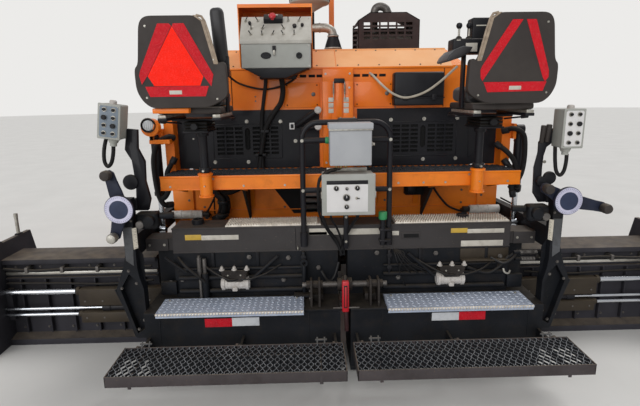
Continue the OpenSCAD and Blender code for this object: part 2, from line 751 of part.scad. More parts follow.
module step_plates() {
    color("#8fa0b8") both_sides() {
        block([254, screed_rear_y - 44, screed_h], [1137, screed_rear_y + 169, screed_h + 18]);
        block([254, screed_rear_y - 44, screed_h - 12], [1137, screed_rear_y - 40, screed_h]);
    }
}

module step_beam() {
    color("#3d3a38") {
        block([-beam_half_w, beam_rear_y, beam_z], [beam_half_w, beam_rear_y + beam_d, beam_top_z]);
        both_sides() block([beam_half_w, beam_rear_y + 40, beam_z + 10],
            [arm_x, beam_rear_y + beam_d - 20, beam_top_z - 75]);
    }
}

module tow_arms() {
    color("#26282c") both_sides() difference() {
        union() {
            side_plate(arm_x, arm_t, [[tow_y, tow_z - 60], [tow_y + 30, tow_z + 50], [tow_y - 20, tow_z + 60],
                [rear_axle_y - 800, 850], [beam_rear_y + 30, 880], [post_y + 30, 880], [post_y + 30, 745],
                [rear_axle_y - 900, 745], [rear_axle_y + 100, tow_z - 60]]);
            rod_x([arm_x, tow_y, tow_z], 60, arm_t);
            rod_x([lift_x - 25, lift_y, lift_eye_z], lift_pin_r, arm_x - lift_x + 25);
        }
        rod_x([arm_x - 1, tow_y, tow_z], tow_pin_r + run_gap, arm_t + 2);
    }
}

module hoop_rail() {
    r = 100;
    top = hoop_z - rail_r;
    w = hoop_half_w - rail_r;
    color("#3a3a3d") translate([hoop_x, 0, 0]) {
        both_sides() {
            rod_z([w, hoop_y, beam_z + 40], rail_r, top - r - beam_z - 40);
            translate([w - r, hoop_y, top - r]) rotate([90, 0, 0]) rotate_extrude(angle = 90)
                translate([r, 0]) circle(r = rail_r);
            rod_z([w, hoop_y, beam_z + 40], rail_r + socket_t, 90);
        }
        rod_x([-w + r, hoop_y, top], rail_r, 2 * (w - r));
        for (z = hoop_bar_z) rod_x([-w, hoop_y, z], rail_r, 2 * w);
    }
}

module control_boxes() {
    y = hoop_y - rail_r - seat_gap;
    color("#9aa0a8") {
        block([-85, y - 140, 1290], [158, y, 1530]);
        block([-92, y - 147, 1515], [165, y, 1535]);
    }
    color("#a9aaae") block([-130, y - 150, 1000], [175, y, 1240]);
}

module vibrators() {
    y = beam_rear_y - 50;
    color("#b9b4b2") both_sides() {
        rod_x([600, y, 531], 36, 175);
        for (x = [600, 763]) rod_x([x, y, 531], 41, 12);
        block([640, y - 30, 560], [735, y + 20, 582]);
    }
    // Bracket, with its foot bolted to the wall
    color("#3a2f28") both_sides() {
        block([610, y - 20, 582], [765, beam_rear_y, 600]);
        block([610, beam_rear_y - 14, 600], [765, beam_rear_y, 680]);
        for (x = [616, 753]) side_plate(x, 8, [[y - 20, 600], [beam_rear_y - 14, 600], [beam_rear_y - 14, 670]]);
    }
}

module pendants() {
    y = post_y + 70;
    // Arms from the posts
    color("#3a3a3d") {
        both_sides() block([crank_x - 38, post_y + 30, 1040], [crank_x + 6, y, 1100]);
        mirror([1, 0, 0]) translate([crank_x, 0, 0]) cross_plate(y, 12, [[-42, 1030], [12, 1030], [-28, 1120],
            [-27, 1151], [-16, 1256], [18, 1377], [7, 1500], [-22, 1530], [-22, 1503], [-52, 1359], [-78, 1316],
            [-80, 1114]]);
        translate([crank_x, 0, 0]) cross_plate(y, 12, [[-68, 1030], [12, 1030], [12, 1090], [-63, 1110],
            [-67, 1247], [-64, 1317], [-51, 1369], [-6, 1403], [-6, 1480], [-26, 1480], [-102, 1400],
            [-101, 1336], [-118, 1248], [-112, 1090]]);
        // Caps of the clamps on the arms
        mirror([1, 0, 0]) rod_y([crank_x - 12, y - 32, 1204], 44, 32);
        rod_y([crank_x - 48, y - 32, 1184], 36, 32);
    }
    mirror([1, 0, 0]) pendant_box(crank_x - 25, 1468, 192);
    pendant_box(crank_x - 28, 1374, 222);
}

// A hand-held control box in front of its arm, with the gland and the cable's loop under it
module pendant_box(x, z, h) {
    y = post_y - 50;
    loop_r = 28;
    color("#9a9890") {
        block([x, y, z], [x + 122, y + 120 - seat_gap, z + h]);
        rod_z([x + 40, y + 40, z - 40], 18, 40);
        rod_z([x + 61, y + 50, z + h], 20, 20);
    }
    color("#1b1a20") {
        for (k = [0, 1]) rod_z([x + 40 + 2 * k * loop_r, y + 40, z - 110], 10, k == 0 ? 70 : 110);
        translate([x + 40 + loop_r, y + 40, z - 110]) rotate([-90, 0, 0]) rotate_extrude(angle = 180)
            translate([loop_r, 0]) circle(r = 10);
    }
}

module lift_barrel(side) {
    color("#1b1a20") on_side(side) difference() {
        union() {
            rod_x([lift_x - 25, lift_y, lift_top_z], 32, 50);
            rod_z([lift_x, lift_y, lift_top_z - 410], lift_r, 390);
        }
        rod_x([lift_x - 60, lift_y, lift_top_z], 15 + run_gap, 120);
        rod_z([lift_x, lift_y, lift_top_z - 411], 18 + run_gap, 360);
    }
}

module lift_rod(side) {
    color("#c8c8c8") on_side(side) {
        rod_z([lift_x, lift_y, lift_eye_z + 20], 18, lift_top_z - lift_eye_z - 280);
        difference() {
            rod_x([lift_x - 20, lift_y, lift_eye_z], 30, 40);
            rod_x([lift_x - 21, lift_y, lift_eye_z], lift_pin_r + 5, 42);
        }
    }
}

module extension(side) {
    x0 = extension_x;
    x1 = x0 + extension_l;
    y0 = extension_rear_y;
    y1 = extension_front_y;
    color("#1d1f22") on_side(side) {
        block([x0, slide_y + slide_d / 2, 180], [x0 + 40, y0, screed_h - 20]);
        block([x1 - 40, slide_y + slide_d / 2, 180], [x1, y0, screed_h - 20]);
        side_plate(x0, extension_l, [[y0 - 80, 0], [y0 - 80, 40], [y0, 60], [y0, extension_h - 20],
            [y0 - 40, extension_h - 20], [y0 - 40, extension_h], [y1, extension_h], [y1, 40], [y1 - 40, 0]]);
        side_plate(x1, 30, [[y0 - 280, 0], [y0 - 280, 330], [y0 - 120, 730], [y1 + 120, 730], [y1 + 240, 300],
            [y1 + 240, 60], [y1 + 180, 0]]);
    }
}

module slide_rods(side) {
    x1 = extension_x + extension_l;
    y0 = slide_y - slide_d / 2;
    y1 = slide_y + slide_d / 2;
    color("#4a4038") on_side(side) {
        block([slide_x, y0, 300], [sleeve_end_x, y1, screed_h - run_gap]);
        block([slide_x, y0, 174 + run_gap], [sleeve_end_x, y1, 250]);
    }
    color("#c8c8c8") on_side(side) {
        rod_x([sleeve_end_x, slide_y, 400], slide_rod_r, x1 - sleeve_end_x);
        rod_x([sleeve_end_x, slide_y, 232], 13, x1 - sleeve_end_x);
        rod_x([slide_x + 510, slide_y, 276], 11, x1 - slide_x - 510);
        rod_x([slide_x + 90, slide_y, 276], 22, 420);
    }
}

module walkway(side) {
    x0 = 27;
    x1 = walkway_half_w;
    y0 = -half_l;
    y1 = walkway_front_y - 4;
    color("#3b3a38") on_side(side) {
        difference() {
            block([x0, y0, walkway_z - 60], [x1, y1, walkway_z]);
            block([x0 + 6, y0 + 6, walkway_z - 61], [x1 - 6, y1 - 6, walkway_z - 5]);
            for (i = [0 : 23]) for (j = [0 : 4])
                translate([x0 + 40 + i * 51, y0 + 35 + j * 52 + (i % 2) * 20, walkway_z - 6]) rotate([0, 0, 45])
                    cube([28, 28, 10]);
        }
        for (x = [76, 636, 1206]) difference() {
            block([x, y1 - 6, walkway_z - 26], [x + 14, walkway_front_y + hinge_back + 12, walkway_z - 4]);
            rod_x([x - 1, walkway_front_y + hinge_back, walkway_z - 16], 5, 16);
        }
        for (x = [60, 620, 1190])
            rod_x([x, walkway_front_y + hinge_back, walkway_z - 16], 8, 20);
    }
}

// The two knobs of each depth crank, as [x, z] from its shaft
crank_knobs = [[[49, 195], [51, -164]], [[-127, 74], [220, -47]]];

module crank(side) {
    arm_y = crank_y + 22;
    knobs = crank_knobs[side < 0 ? 0 : 1];
    color("#2b3350") on_side(side) {
        // Disc, hub and shaft
        rod_y([crank_x, crank_y, crank_z], 80, 22);
        rod_y([crank_x, arm_y, crank_z], 45, 36);
        rod_y([crank_x, arm_y + 36, crank_z], 15, post_y - 40 - seat_gap - arm_y - 36);
        for (k = knobs) {
            translate([crank_x, arm_y + 26, crank_z]) rotate([90, 0, 0]) linear_extrude(14)
                rotate(atan2(k.y, k.x)) polygon([[0, -38], [norm(k), -28], [norm(k), 28], [0, 38]]);
            rod_y([crank_x + k.x, arm_y - 48, crank_z + k.y], 28, 74);
        }
    }
}

// Outline of a seat's back shell seen from the rear, as [x, z]
function seat_outline(w) = [
    [seat_x - w - 5, 1690], [seat_x - w + 90, 1640], [seat_x + w - 45, 1636], [seat_x + w, 1668],
    [seat_x + w + 30, 1725], [seat_x + w + 32, 1830], [seat_x + w + 12, 1850], [seat_x + w - 8, 2045],
    [seat_x + w - 38, 2078], [seat_x - w + 135, 2078], [seat_x - w + 95, 2050], [seat_x - w + 45, 1848],
    [seat_x - w + 2, 1866]
];

module seat(side) {
    y = seat_back_y;
    w = seat_w / 2;
    color("#3f3935") on_side(side) {
        // Back shell with its shoulders, and the pan
        cross_plate(y, 40, seat_outline(w));
        block([seat_x - w, y, 1600], [seat_x + w, y + 480, 1640]);
        // Slides, suspension box and pivot post
        for (x = [seat_x - 160, seat_x + 120]) block([x, y + 50, 1570], [x + 40, y + 450, 1600]);
        block([station_x - 70, sleeve_y - 180, 1500], [station_x + 70, sleeve_y + 70, 1556]);
        block([seat_x - 170, sleeve_y - 120, 1556], [seat_x + 170, sleeve_y + 40, 1570]);
        rod_z([station_x, sleeve_y, 1085], 24, 415);
        // Bracket and armrest folded up beside the back, or the lever housing on the right
        block([seat_x - w, y + 190, 1640], [seat_x - w + 16, y + 230, 1900]);
        if (side < 0) {
            block([seat_x - w + 16, y + 180, 1840], [seat_x - w + 86, y + 240, 2110]);
            for (z = [1840, 2110]) rod_y([seat_x - w + 51, y + 180, z], 35, 60);
        } else {
            block([seat_x - w - 40, y + 160, 1900], [seat_x - w + 40, y + 250, 2010]);
            for (x = [-17, 28]) {
                rod_z([seat_x - w + x, y + 200, 2010], 6, 40);
                rod_z([seat_x - w + x, y + 200, 2050], 14, 26);
            }
        }
    }
}

module cushions(side) {
    y = seat_back_y;
    color("#1b1a1c") on_side(side) {
        block([650, y + 130, 1640.3], [1000, y + 470, 1730]);
        block([720, y + 40.3, 1760], [1005, y + 110, 2030]);
    }
}

module auger(side) {
    l = 1085;
    turns = l / auger_pitch;
    color("#55504c") on_side(side) {
        rod_x([41, auger_y, auger_z], 30, 1124);
        translate([45, auger_y, auger_z]) rotate([90, 0, 90])
            linear_extrude(height = l, twist = -360 * turns, slices = 16 * turns, convexity = 10, segments = 8)
                translate([0, -22]) square([auger_d / 2, 44]);
    }
}

chassis_frame();
body_shell();
rear_grille();
engine_block();
exhaust_guard();
air_intake();
lamp_mast();
rear_deck();
side_posts();
console();
console_hood();
axles();
conveyors();
hopper_body();
push_beam();
rear_tyre(-1);  // rear_tyre_left
rear_tyre(1);  // rear_tyre_right
rear_rim(-1);  // rear_rim_left
rear_rim(1);  // rear_rim_right
knuckle(-1);  // knuckle_left
knuckle(1);  // knuckle_right
front_wheel(-1);  // front_wheel_left
front_wheel(1);  // front_wheel_right
wing(-1);  // wing_left
wing(1);  // wing_right
wing_barrel(-1);  // wing_barrel_left
wing_barrel(1);  // wing_barrel_right
wing_rod(-1);  // wing_rod_left
wing_rod(1);  // wing_rod_right
screed_boxes();
screed_frame();
crown_screw();
step_plates();
step_beam();
tow_arms();
hoop_rail();
control_boxes();
vibrators();
pendants();
lift_barrel(-1);  // lift_barrel_left
lift_barrel(1);  // lift_barrel_right
lift_rod(-1);  // lift_rod_left
lift_rod(1);  // lift_rod_right
extension(-1);  // extension_left
extension(1);  // extension_right
slide_rods(-1);  // slide_rods_left
slide_rods(1);  // slide_rods_right
walkway(-1);  // walkway_left
walkway(1);  // walkway_right
crank(-1);  // crank_left
crank(1);  // crank_right
seat(-1);  // seat_left
seat(1);  // seat_right
cushions(-1);  // cushions_left
cushions(1);  // cushions_right
auger(-1);  // auger_left
auger(1);  // auger_right
push_roller(-1);  // push_roller_left
push_roller(1);  // push_roller_right
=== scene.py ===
"""Finishes and fittings of a wheeled asphalt paver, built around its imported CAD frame."""
import math

import bmesh
import bpy
from bpy.props import FloatProperty, FloatVectorProperty, IntProperty, PointerProperty
from bpy.types import Operator, Panel, PropertyGroup
from mathutils import Matrix, Vector


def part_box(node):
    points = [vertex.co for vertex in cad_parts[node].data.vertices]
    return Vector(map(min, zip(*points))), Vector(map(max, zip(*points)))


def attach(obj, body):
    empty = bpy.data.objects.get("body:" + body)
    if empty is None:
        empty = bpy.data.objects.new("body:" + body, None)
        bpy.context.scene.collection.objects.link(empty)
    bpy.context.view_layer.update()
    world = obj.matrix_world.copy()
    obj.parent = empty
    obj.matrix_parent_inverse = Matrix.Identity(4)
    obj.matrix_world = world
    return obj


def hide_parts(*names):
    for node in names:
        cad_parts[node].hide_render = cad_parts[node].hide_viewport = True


bl_info = {
    "name": "Asphalt Paver Fittings",
    "version": (1, 0, 0),
    "blender": (4, 5, 0),
    "location": "3D View > Sidebar > Paver",
    "description": "Adds the finishes and fittings of a wheeled asphalt paver to its CAD frame",
    "category": "Add Mesh",
}

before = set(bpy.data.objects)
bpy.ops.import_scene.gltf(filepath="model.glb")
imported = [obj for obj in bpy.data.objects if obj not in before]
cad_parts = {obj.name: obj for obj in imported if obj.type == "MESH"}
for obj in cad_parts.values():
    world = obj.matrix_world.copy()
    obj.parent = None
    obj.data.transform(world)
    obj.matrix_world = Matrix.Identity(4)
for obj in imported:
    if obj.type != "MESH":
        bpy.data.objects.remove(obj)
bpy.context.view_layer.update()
SIDES = (("left", -1), ("right", 1))
HANDS = (-1, 1)
RIGHT, AHEAD, BACK, UP = (1, 0, 0), (0, 1, 0), (0, -1, 0), (0, 0, 1)
MIRROR = Matrix.Scale(-1, 4, RIGHT)
# Pivot of the right operator station, which the seat's post stands on
STATION_X, STATION_Y = 0.845, -2.24
# Axis of the right depth crank
CRANK_X, CRANK_Z = 1.278, 1.080
# Rear faces that fittings sit on
UPPER_WALL_Y, COLUMN_Y, LOWER_WALL_Y = -1.840, -1.900, -1.540
DECK_Y, SCREED_WALL_Y, POST_Y = -2.182, -2.240, -2.430
EXTENSION_Y, PENDANT_Y = -1.960, -2.320

# Colours and node trees


def linear(code):
    """An sRGB hex colour as linear red, green, blue."""
    parts = [int(code[i:i + 2], 16) / 255 for i in (1, 3, 5)]
    return tuple(p / 12.92 if p <= 0.04045 else ((p + 0.055) / 1.055) ** 2.4 for p in parts)


def node(tree, kind, inputs=None, **settings):
    """Adds a node; inputs gives each socket, by name or number, a value or another node's output."""
    made = tree.nodes.new(kind)
    for key, value in settings.items():
        setattr(made, key, value)
    for key, value in (inputs or {}).items():
        if isinstance(value, bpy.types.NodeSocket):
            tree.links.new(value, made.inputs[key])
        else:
            made.inputs[key].default_value = value
    return made


def rgba(colour):
    """A hex colour, or a linear colour of a setting, with full alpha."""
    return (*(linear(colour) if isinstance(colour, str) else colour), 1.0)


def ramp(tree, value, low, high, to_low=0.0, to_high=1.0):
    """A value stretched from low..high to to_low..to_high, and held at the ends."""
    return node(tree, "ShaderNodeMapRange", {0: value, 1: low, 2: high, 3: to_low, 4: to_high}).outputs[0]


def blend(tree, share, first, second):
    """Two colours mixed by a share."""
    return node(tree, "ShaderNodeMix", {0: share, 6: first, 7: second}, data_type="RGBA").outputs[2]


def times(tree, first, second):
    return node(tree, "ShaderNodeMath", {0: first, 1: second}, operation="MULTIPLY").outputs[0]


def noise(tree, where, size, detail=3.0, roughness=0.55):
    """Soft noise whose blotches are about size metres across."""
    return node(tree, "ShaderNodeTexNoise", {
        "Vector": where, "Scale": 1.0 / size, "Detail": detail, "Roughness": roughness}).outputs[0]


def new_material(name):
    """A material with a Principled shader, as material, tree, shader and object coordinates."""
    material = bpy.data.materials.new(name)
    material.use_nodes = True
    tree = material.node_tree
    shader = tree.nodes["Principled BSDF"]
    place = node(tree, "ShaderNodeTexCoord")
    return material, tree, shader, place


DUST = "#A8977F"


def coat(name, colour, second, roughness, metallic=0.0, blotch=0.25, grain=0.0015, bump=0.25,
         dust=0.35, dust_colour=DUST, grime=0.3, grime_colour="#221E1B",
         spots=0.0, spot_colour="#8A7A68", gloss=0.0, specular=0.5):
    """A weathered surface: two tones in blotches, grime that hangs in patches, dust on what faces up
    (on the tread steel a pale grey that is partly painted highlight), and small worn spots. Sizes are metres."""
    material, tree, shader, place = new_material(name)
    where = place.outputs["Object"]
    up = node(tree, "ShaderNodeSeparateXYZ", {0: place.outputs["Normal"]}).outputs[2]
    tone = blend(tree, ramp(tree, noise(tree, where, blotch), 0.35, 0.68), rgba(colour), rgba(second))
    patch = noise(tree, where, blotch * 0.45, 5.0, 0.7)
    tone = blend(tree, ramp(tree, patch, 0.5, 0.75, 0.0, grime), tone, rgba(grime_colour))
    if spots:
        worn = noise(tree, where, 0.012, 4.0, 0.75)
        tone = blend(tree, ramp(tree, worn, 0.66 - spots * 0.12, 0.72, 0.0, 0.85), tone, rgba(spot_colour))
    # Pale film on faces that point up: dust, and on the tread steel also a painted highlight of sunlit
    # patches
    dust_and_highlight_patches = noise(tree, where, blotch * 0.3, 6.0, 0.65)
    film = times(tree, ramp(tree, up, 0.35, 0.95), ramp(tree, dust_and_highlight_patches, 0.3, 0.7, dust * 0.35, dust))
    tone = blend(tree, film, tone, rgba(dust_colour))
    tree.links.new(tone, shader.inputs["Base Color"])
    rough = ramp(tree, patch, 0.3, 0.75, roughness, min(1.0, roughness + 0.22))
    tree.links.new(rough, shader.inputs["Roughness"])
    shader.inputs["Metallic"].default_value = metallic
    shader.inputs["Specular IOR Level"].default_value = specular
    shader.inputs["Coat Weight"].default_value = gloss
    shader.inputs["Coat Roughness"].default_value = 0.12
    fine = noise(tree, where, grain, 3.0, 0.6)
    height = node(tree, "ShaderNodeBump", {"Strength": bump, "Distance": 0.0006, "Height": fine})
    tree.links.new(height.outputs[0], shader.inputs["Normal"])
    return material


def make_materials(colours):
    """Every finish of the machine, by name."""
    made = {}

    def keep(name, **settings):
        made[name] = coat(name, **settings)

    # Sprayed synthetic enamel on sheet steel: warm, half glossy, faded in broad patches with a dust film
    keep("enamel_orange", colour=colours.enamel, second="#E06A08", roughness=0.34, blotch=0.5, grain=0.004,
         bump=0.10, dust=0.08, grime=0.16, grime_colour="#A85A1C", gloss=0.25, specular=0.35)
    # The same enamel made chalky and pale: a painted highlight on the sloped eave, which faces up into the
    # light
    keep("enamel_painted_highlight", colour="#EEB27C", second="#E6A066", roughness=0.5, blotch=0.4, grain=0.004,
         bump=0.10, dust=0.12, grime=0.10, grime_colour="#C98A55", specular=0.3)
    # The deck and the wall under it: bright enamel, splashed and rubbed
    keep("enamel_deck", colour="#EC8014", second="#DC7210", roughness=0.4, blotch=0.3, grain=0.004,
         bump=0.10, dust=0.14, grime=0.35, grime_colour="#8A4A18", gloss=0.15, specular=0.35)
    # Enamel low on the machine, browned by asphalt mist
    keep("enamel_stained", colour="#CF7420", second="#B3611C", roughness=0.45, blotch=0.3, grain=0.004,
         bump=0.12, dust=0.35, grime=0.5, grime_colour="#4A3222")
    # Powder coat in satin black: even, with a dusty bloom
    keep("powder_coat_black", colour=colours.black, second="#1B1B20", roughness=0.42, blotch=0.35,
         grain=0.002, bump=0.15, dust=0.12, grime=0.25, grime_colour="#2F2A26", gloss=0.15, specular=0.16)
    # Blue-grey enamel of the left pendant's face
    keep("enamel_blue_grey", colour="#79848F", second="#6C7782", roughness=0.4, blotch=0.2, grain=0.002,
         bump=0.08, dust=0.2, grime=0.25, grime_colour="#3F464E", specular=0.3)
    # Raised lugs of the tread plate, bright on top
    keep("aluminium_lug", colour="#DAE0EA", second="#CBD3DF", roughness=0.32, metallic=0.3, blotch=0.05,
         grain=0.002, bump=0.1, dust=0.08, grime=0.2, grime_colour="#8A93A4")
    # Black enamel of the extensions under pale dust
    keep("enamel_black_dusty", colour="#2C2B2F", second="#35343A", roughness=0.5, blotch=0.3, grain=0.003,
         bump=0.15, dust=0.35, grime=0.3, grime_colour="#17171A", specular=0.2)
    # Black enamel under years of bitumen mist: blotched, brown-black, half dull
    keep("enamel_black_bitumen", colour="#131519", second="#1B1D22", roughness=0.45, blotch=0.22,
         grain=0.003, bump=0.35, dust=0.12, grime=0.55, grime_colour="#2E2823", spots=0.15,
         spot_colour="#4A4038", specular=0.16)
    # Chassis enamel, brown-black
    keep("enamel_chassis", colour="#2F2D2C", second="#262423", roughness=0.55, blotch=0.3, grain=0.003,
         bump=0.3, dust=0.30, grime=0.5, grime_colour="#3A3028", spots=0.2, spot_colour="#5A4A3C",
         specular=0.20)
    # Grey-brown beam paint, rubbed by boots
    keep("enamel_beam_grey", colour="#403D3D", second="#383535", roughness=0.48, blotch=0.45, grain=0.002,
         bump=0.15, dust=0.22, grime=0.3, grime_colour="#2A2623", spots=0.05, spot_colour="#77695A",
         specular=0.20)
    # Bare pressed steel of the treads: dark flanks; the tops are pale grey in patches, partly ground bright
    # by boots and partly a painted highlight of sunlit patches
    keep("pressed_steel_tread", colour="#23262B", second="#2C2E31", roughness=0.5, metallic=0.3, blotch=0.35,
         grain=0.002, bump=0.3, dust=0.75, dust_colour="#A6A8AB", grime=0.4, grime_colour="#1D1B1A",
         specular=0.3)
    # Walkway rails: the same steel, rubbed and rust-tinged
    keep("rolled_steel_worn", colour="#413C3D", second="#4A4445", roughness=0.55, metallic=0.2, blotch=0.25,
         grain=0.003, bump=0.35, dust=0.35, grime=0.45, grime_colour="#2B241F", spots=0.35,
         spot_colour="#6E5C49", specular=0.25)
    # Rolled aluminium tread plate: blue-grey, brushed by soles
    keep("rolled_aluminium", colour="#C3CCDE", second="#B2BED2", roughness=0.36, metallic=0.3, blotch=0.12,
         grain=0.0015, bump=0.2, dust=0.10, grime=0.4, grime_colour="#6C7588", spots=0.1,
         spot_colour="#DDE1E8")
    # Powder coated grey instrument housings
    keep("powder_coat_grey", colour="#A3A49F", second="#979891", roughness=0.5, blotch=0.3, grain=0.0015,
         bump=0.12, dust=0.25, grime=0.22, grime_colour="#77736B")
    # Pale blue-grey polyester enclosure
    keep("polyester_grey", colour=colours.boxes, second="#9C9EA2", roughness=0.45, blotch=0.3, grain=0.002,
         bump=0.08, dust=0.2, grime=0.15, grime_colour="#7F848B")
    # White printed face sheet of a control box, left blank
    keep("film_white", colour="#D9D7D6", second="#CFCDCC", roughness=0.35, blotch=0.2, grain=0.002,
         bump=0.02, dust=0.08, grime=0.12, grime_colour="#A9A6A2")
    # Yellowed vinyl of old blank labels
    keep("vinyl_yellow", colour="#C9A53A", second="#B8963A", roughness=0.45, blotch=0.08, grain=0.002,
         bump=0.05, dust=0.05, grime=0.4, grime_colour="#7D6A3A")
    # White vinyl of blank labels and tags, greyed by hands
    keep("vinyl_white", colour="#C4BFB4", second="#B4AEA2", roughness=0.45, blotch=0.08, grain=0.002,
         bump=0.05, dust=0.05, grime=0.45, grime_colour="#7E776C")
    # Moulded seat shell: charcoal-brown polypropylene with a fine texture
    keep("polypropylene_charcoal", colour=colours.seat, second="#3D3835", roughness=0.5, blotch=0.25,
         grain=0.0012, bump=0.4, dust=0.20, grime=0.25, grime_colour="#2B2725", specular=0.25)
    # Pale tan of the seat's inner rim and piping: a painted highlight where the rim catches the light
    keep("seat_rim_painted_highlight", colour="#A4937F", second="#8C7B69", roughness=0.5, blotch=0.03, grain=0.0015,
         bump=0.3, dust=0.2, grime=0.5, grime_colour="#4A423B")
    # Injection moulded black ABS: knobs, switch boots, boxes
    keep("abs_black", colour="#16161A", second="#1C1C20", roughness=0.38, blotch=0.15, grain=0.001,
         bump=0.15, dust=0.15, grime=0.2, grime_colour="#2C2926", specular=0.25)
    # Red enamel of handles and the stop button
    keep("enamel_red", colour="#C01424", second="#A80F1E", roughness=0.35, blotch=0.1, grain=0.002,
         bump=0.08, dust=0.15, grime=0.25, grime_colour="#6A1016", gloss=0.3)
    # High-temperature paint of the exhaust guard, brown from heat
    keep("heat_paint_brown", colour="#352D2D", second="#413735", roughness=0.6, blotch=0.2, grain=0.002,
         bump=0.25, dust=0.15, grime=0.4, grime_colour="#2A2220", spots=0.1, spot_colour="#6B4B36",
         specular=0.20)
    # Exhaust steel, scaled by heat
    keep("scaled_steel", colour="#8C8680", second="#776A60", roughness=0.5, metallic=0.6, blotch=0.1,
         grain=0.002, bump=0.4, dust=0.2, grime=0.5, grime_colour="#5A4636")
    # Zinc plated bolts and fittings: dull silver
    keep("zinc_plate", colour="#B9B6AE", second="#9D998F", roughness=0.38, metallic=0.75, blotch=0.03,
         grain=0.0015, bump=0.15, dust=0.2, grime=0.4, grime_colour="#6B6458")
    # Cream-grey castings of the vibrators
    keep("cast_alloy_cream", colour="#C3BEB9", second="#AFA9A3", roughness=0.5, blotch=0.06, grain=0.002,
         bump=0.5, dust=0.25, grime=0.5, grime_colour="#7A7067")
    # Hard chrome: mirror bright with a thin oil film
    keep("hard_chrome", colour="#D3D6DB", second="#C4C8CF", roughness=0.14, metallic=1.0, blotch=0.2,
         grain=0.01, bump=0.02, dust=0.12, grime=0.15, grime_colour="#7D7468")
    # Steel of augers and slats, polished by mix in places and caked in others
    keep("caked_steel", colour="#37322F", second="#282422", roughness=0.5, metallic=0.45, blotch=0.12,
         grain=0.004, bump=0.6, dust=0.18, grime=0.6, grime_colour="#1F1B19", spots=0.3,
         spot_colour="#8B857D", specular=0.30)
    # Brown-grey bearing sleeves of the slides
    keep("oiled_sleeve_brown", colour="#352F28", second="#40382E", roughness=0.45, metallic=0.25, blotch=0.3,
         grain=0.002, bump=0.25, dust=0.20, grime=0.45, grime_colour="#2C2520", specular=0.25)
    # Slate blue crank casting
    keep("enamel_slate_blue", colour="#2E3852", second="#273048", roughness=0.4, blotch=0.1, grain=0.002,
         bump=0.2, dust=0.15, grime=0.3, grime_colour="#20222C", specular=0.30)
    # Anodised aluminium ring of the crank dials, faintly lilac
    keep("anodised_lilac", colour="#C9C8DC", second="#B6B5CB", roughness=0.35, metallic=0.3, blotch=0.05,
         grain=0.001, bump=0.08, dust=0.1, grime=0.15, grime_colour="#8F8EA0")
    # Cast engine parts
    keep("cast_iron_grey", colour="#55575A", second="#4A4B4D", roughness=0.6, metallic=0.3, blotch=0.12,
         grain=0.003, bump=0.6, dust=0.4, grime=0.5, grime_colour="#2A2725")
    # Rim enamel, stone-chipped
    keep("enamel_rim_orange", colour="#C9652A", second="#B65820", roughness=0.42, blotch=0.2, grain=0.003,
         bump=0.2, dust=0.45, grime=0.45, grime_colour="#5A3B24", spots=0.2, spot_colour="#8A7A68")
    # Natural rubber tread: dull, with pale dust in the texture
    keep("rubber_tyre", colour="#222120", second="#2B2927", roughness=0.78, blotch=0.15, grain=0.003,
         bump=0.5, dust=0.35, grime=0.45, grime_colour="#4B443B", specular=0.20)
    # Black rubber cover of hydraulic hoses
    keep("rubber_hose", colour="#141415", second="#1B1A1B", roughness=0.5, blotch=0.05, grain=0.0025,
         bump=0.35, dust=0.20, grime=0.25, grime_colour="#38322C", specular=0.20)
    # PVC sheath of cables, black and pale
    keep("pvc_cable_black", colour="#131315", second="#19191B", roughness=0.4, blotch=0.05, grain=0.003,
         bump=0.1, dust=0.15, grime=0.2, grime_colour="#3A342E", specular=0.25)
    keep("pvc_cable_pale", colour="#B4AC9C", second="#A29A8B", roughness=0.45, blotch=0.05, grain=0.003,
         bump=0.1, dust=0.2, grime=0.3, grime_colour="#6E675C")
    # Lid and trim of the instrument housings: the same powder coat, paler, as a painted highlight where their
    # tops face the light
    keep("powder_coat_painted_highlight", colour="#B7B4AC", second="#A9A69D", roughness=0.45, blotch=0.12, grain=0.0015,
         bump=0.12, dust=0.2, grime=0.3, grime_colour="#7F7A70")
    # Turned brass of cable glands, tarnished
    keep("brass", colour="#B3925A", second="#8F7345", roughness=0.35, metallic=0.85, blotch=0.02,
         grain=0.001, bump=0.1, dust=0.2, grime=0.3, grime_colour="#5A4A33")
    # Moulded green polyethylene caps
    keep("polyethylene_green", colour="#2F8F57", second="#277A4A", roughness=0.4, blotch=0.03, grain=0.002,
         bump=0.1, dust=0.15, grime=0.2, grime_colour="#2C4A38")
    # White enamel of the small cylinders, scuffed to primer
    keep("enamel_white_scuffed", colour="#D6D3CD", second="#C6C1B8", roughness=0.45, blotch=0.07,
         grain=0.002, bump=0.15, dust=0.2, grime=0.6, grime_colour="#6B6258", spots=0.4,
         spot_colour="#5A5047")
    # Blue-black enamel of the crank arms, worn by gloves
    keep("enamel_slate_dark", colour="#1D2130", second="#252A3B", roughness=0.42, blotch=0.08, grain=0.002,
         bump=0.2, dust=0.12, grime=0.3, grime_colour="#17181D", specular=0.25)
    # Serrated aluminium grip strips, polished by boots and filled with pale dust
    keep("aluminium_grip_pale", colour="#E8E1D6", second="#D6CDBF", roughness=0.42, metallic=0.5,
         blotch=0.06, grain=0.002, bump=0.3, dust=0.6, dust_colour="#BDB4A4", grime=0.6,
         grime_colour="#3A3531")
    # Machined steel, oiled and dusty
    keep("steel_oiled", colour="#6E6A66", second="#565250", roughness=0.4, metallic=0.6, blotch=0.04,
         grain=0.002, bump=0.2, dust=0.15, grime=0.5, grime_colour="#2E2A27")
    # Dark oiled grip of the ratchet
    keep("grip_dark_red", colour="#3A2022", second="#2B1A1C", roughness=0.5, blotch=0.04, grain=0.002,
         bump=0.2, dust=0.10, grime=0.3, grime_colour="#1A1213", specular=0.25)
    # Cream printed face of a depth scale
    keep("scale_cream", colour="#CBC4B5", second="#B9B1A1", roughness=0.45, blotch=0.03, grain=0.002,
         bump=0.05, dust=0.1, grime=0.45, grime_colour="#7A7264")
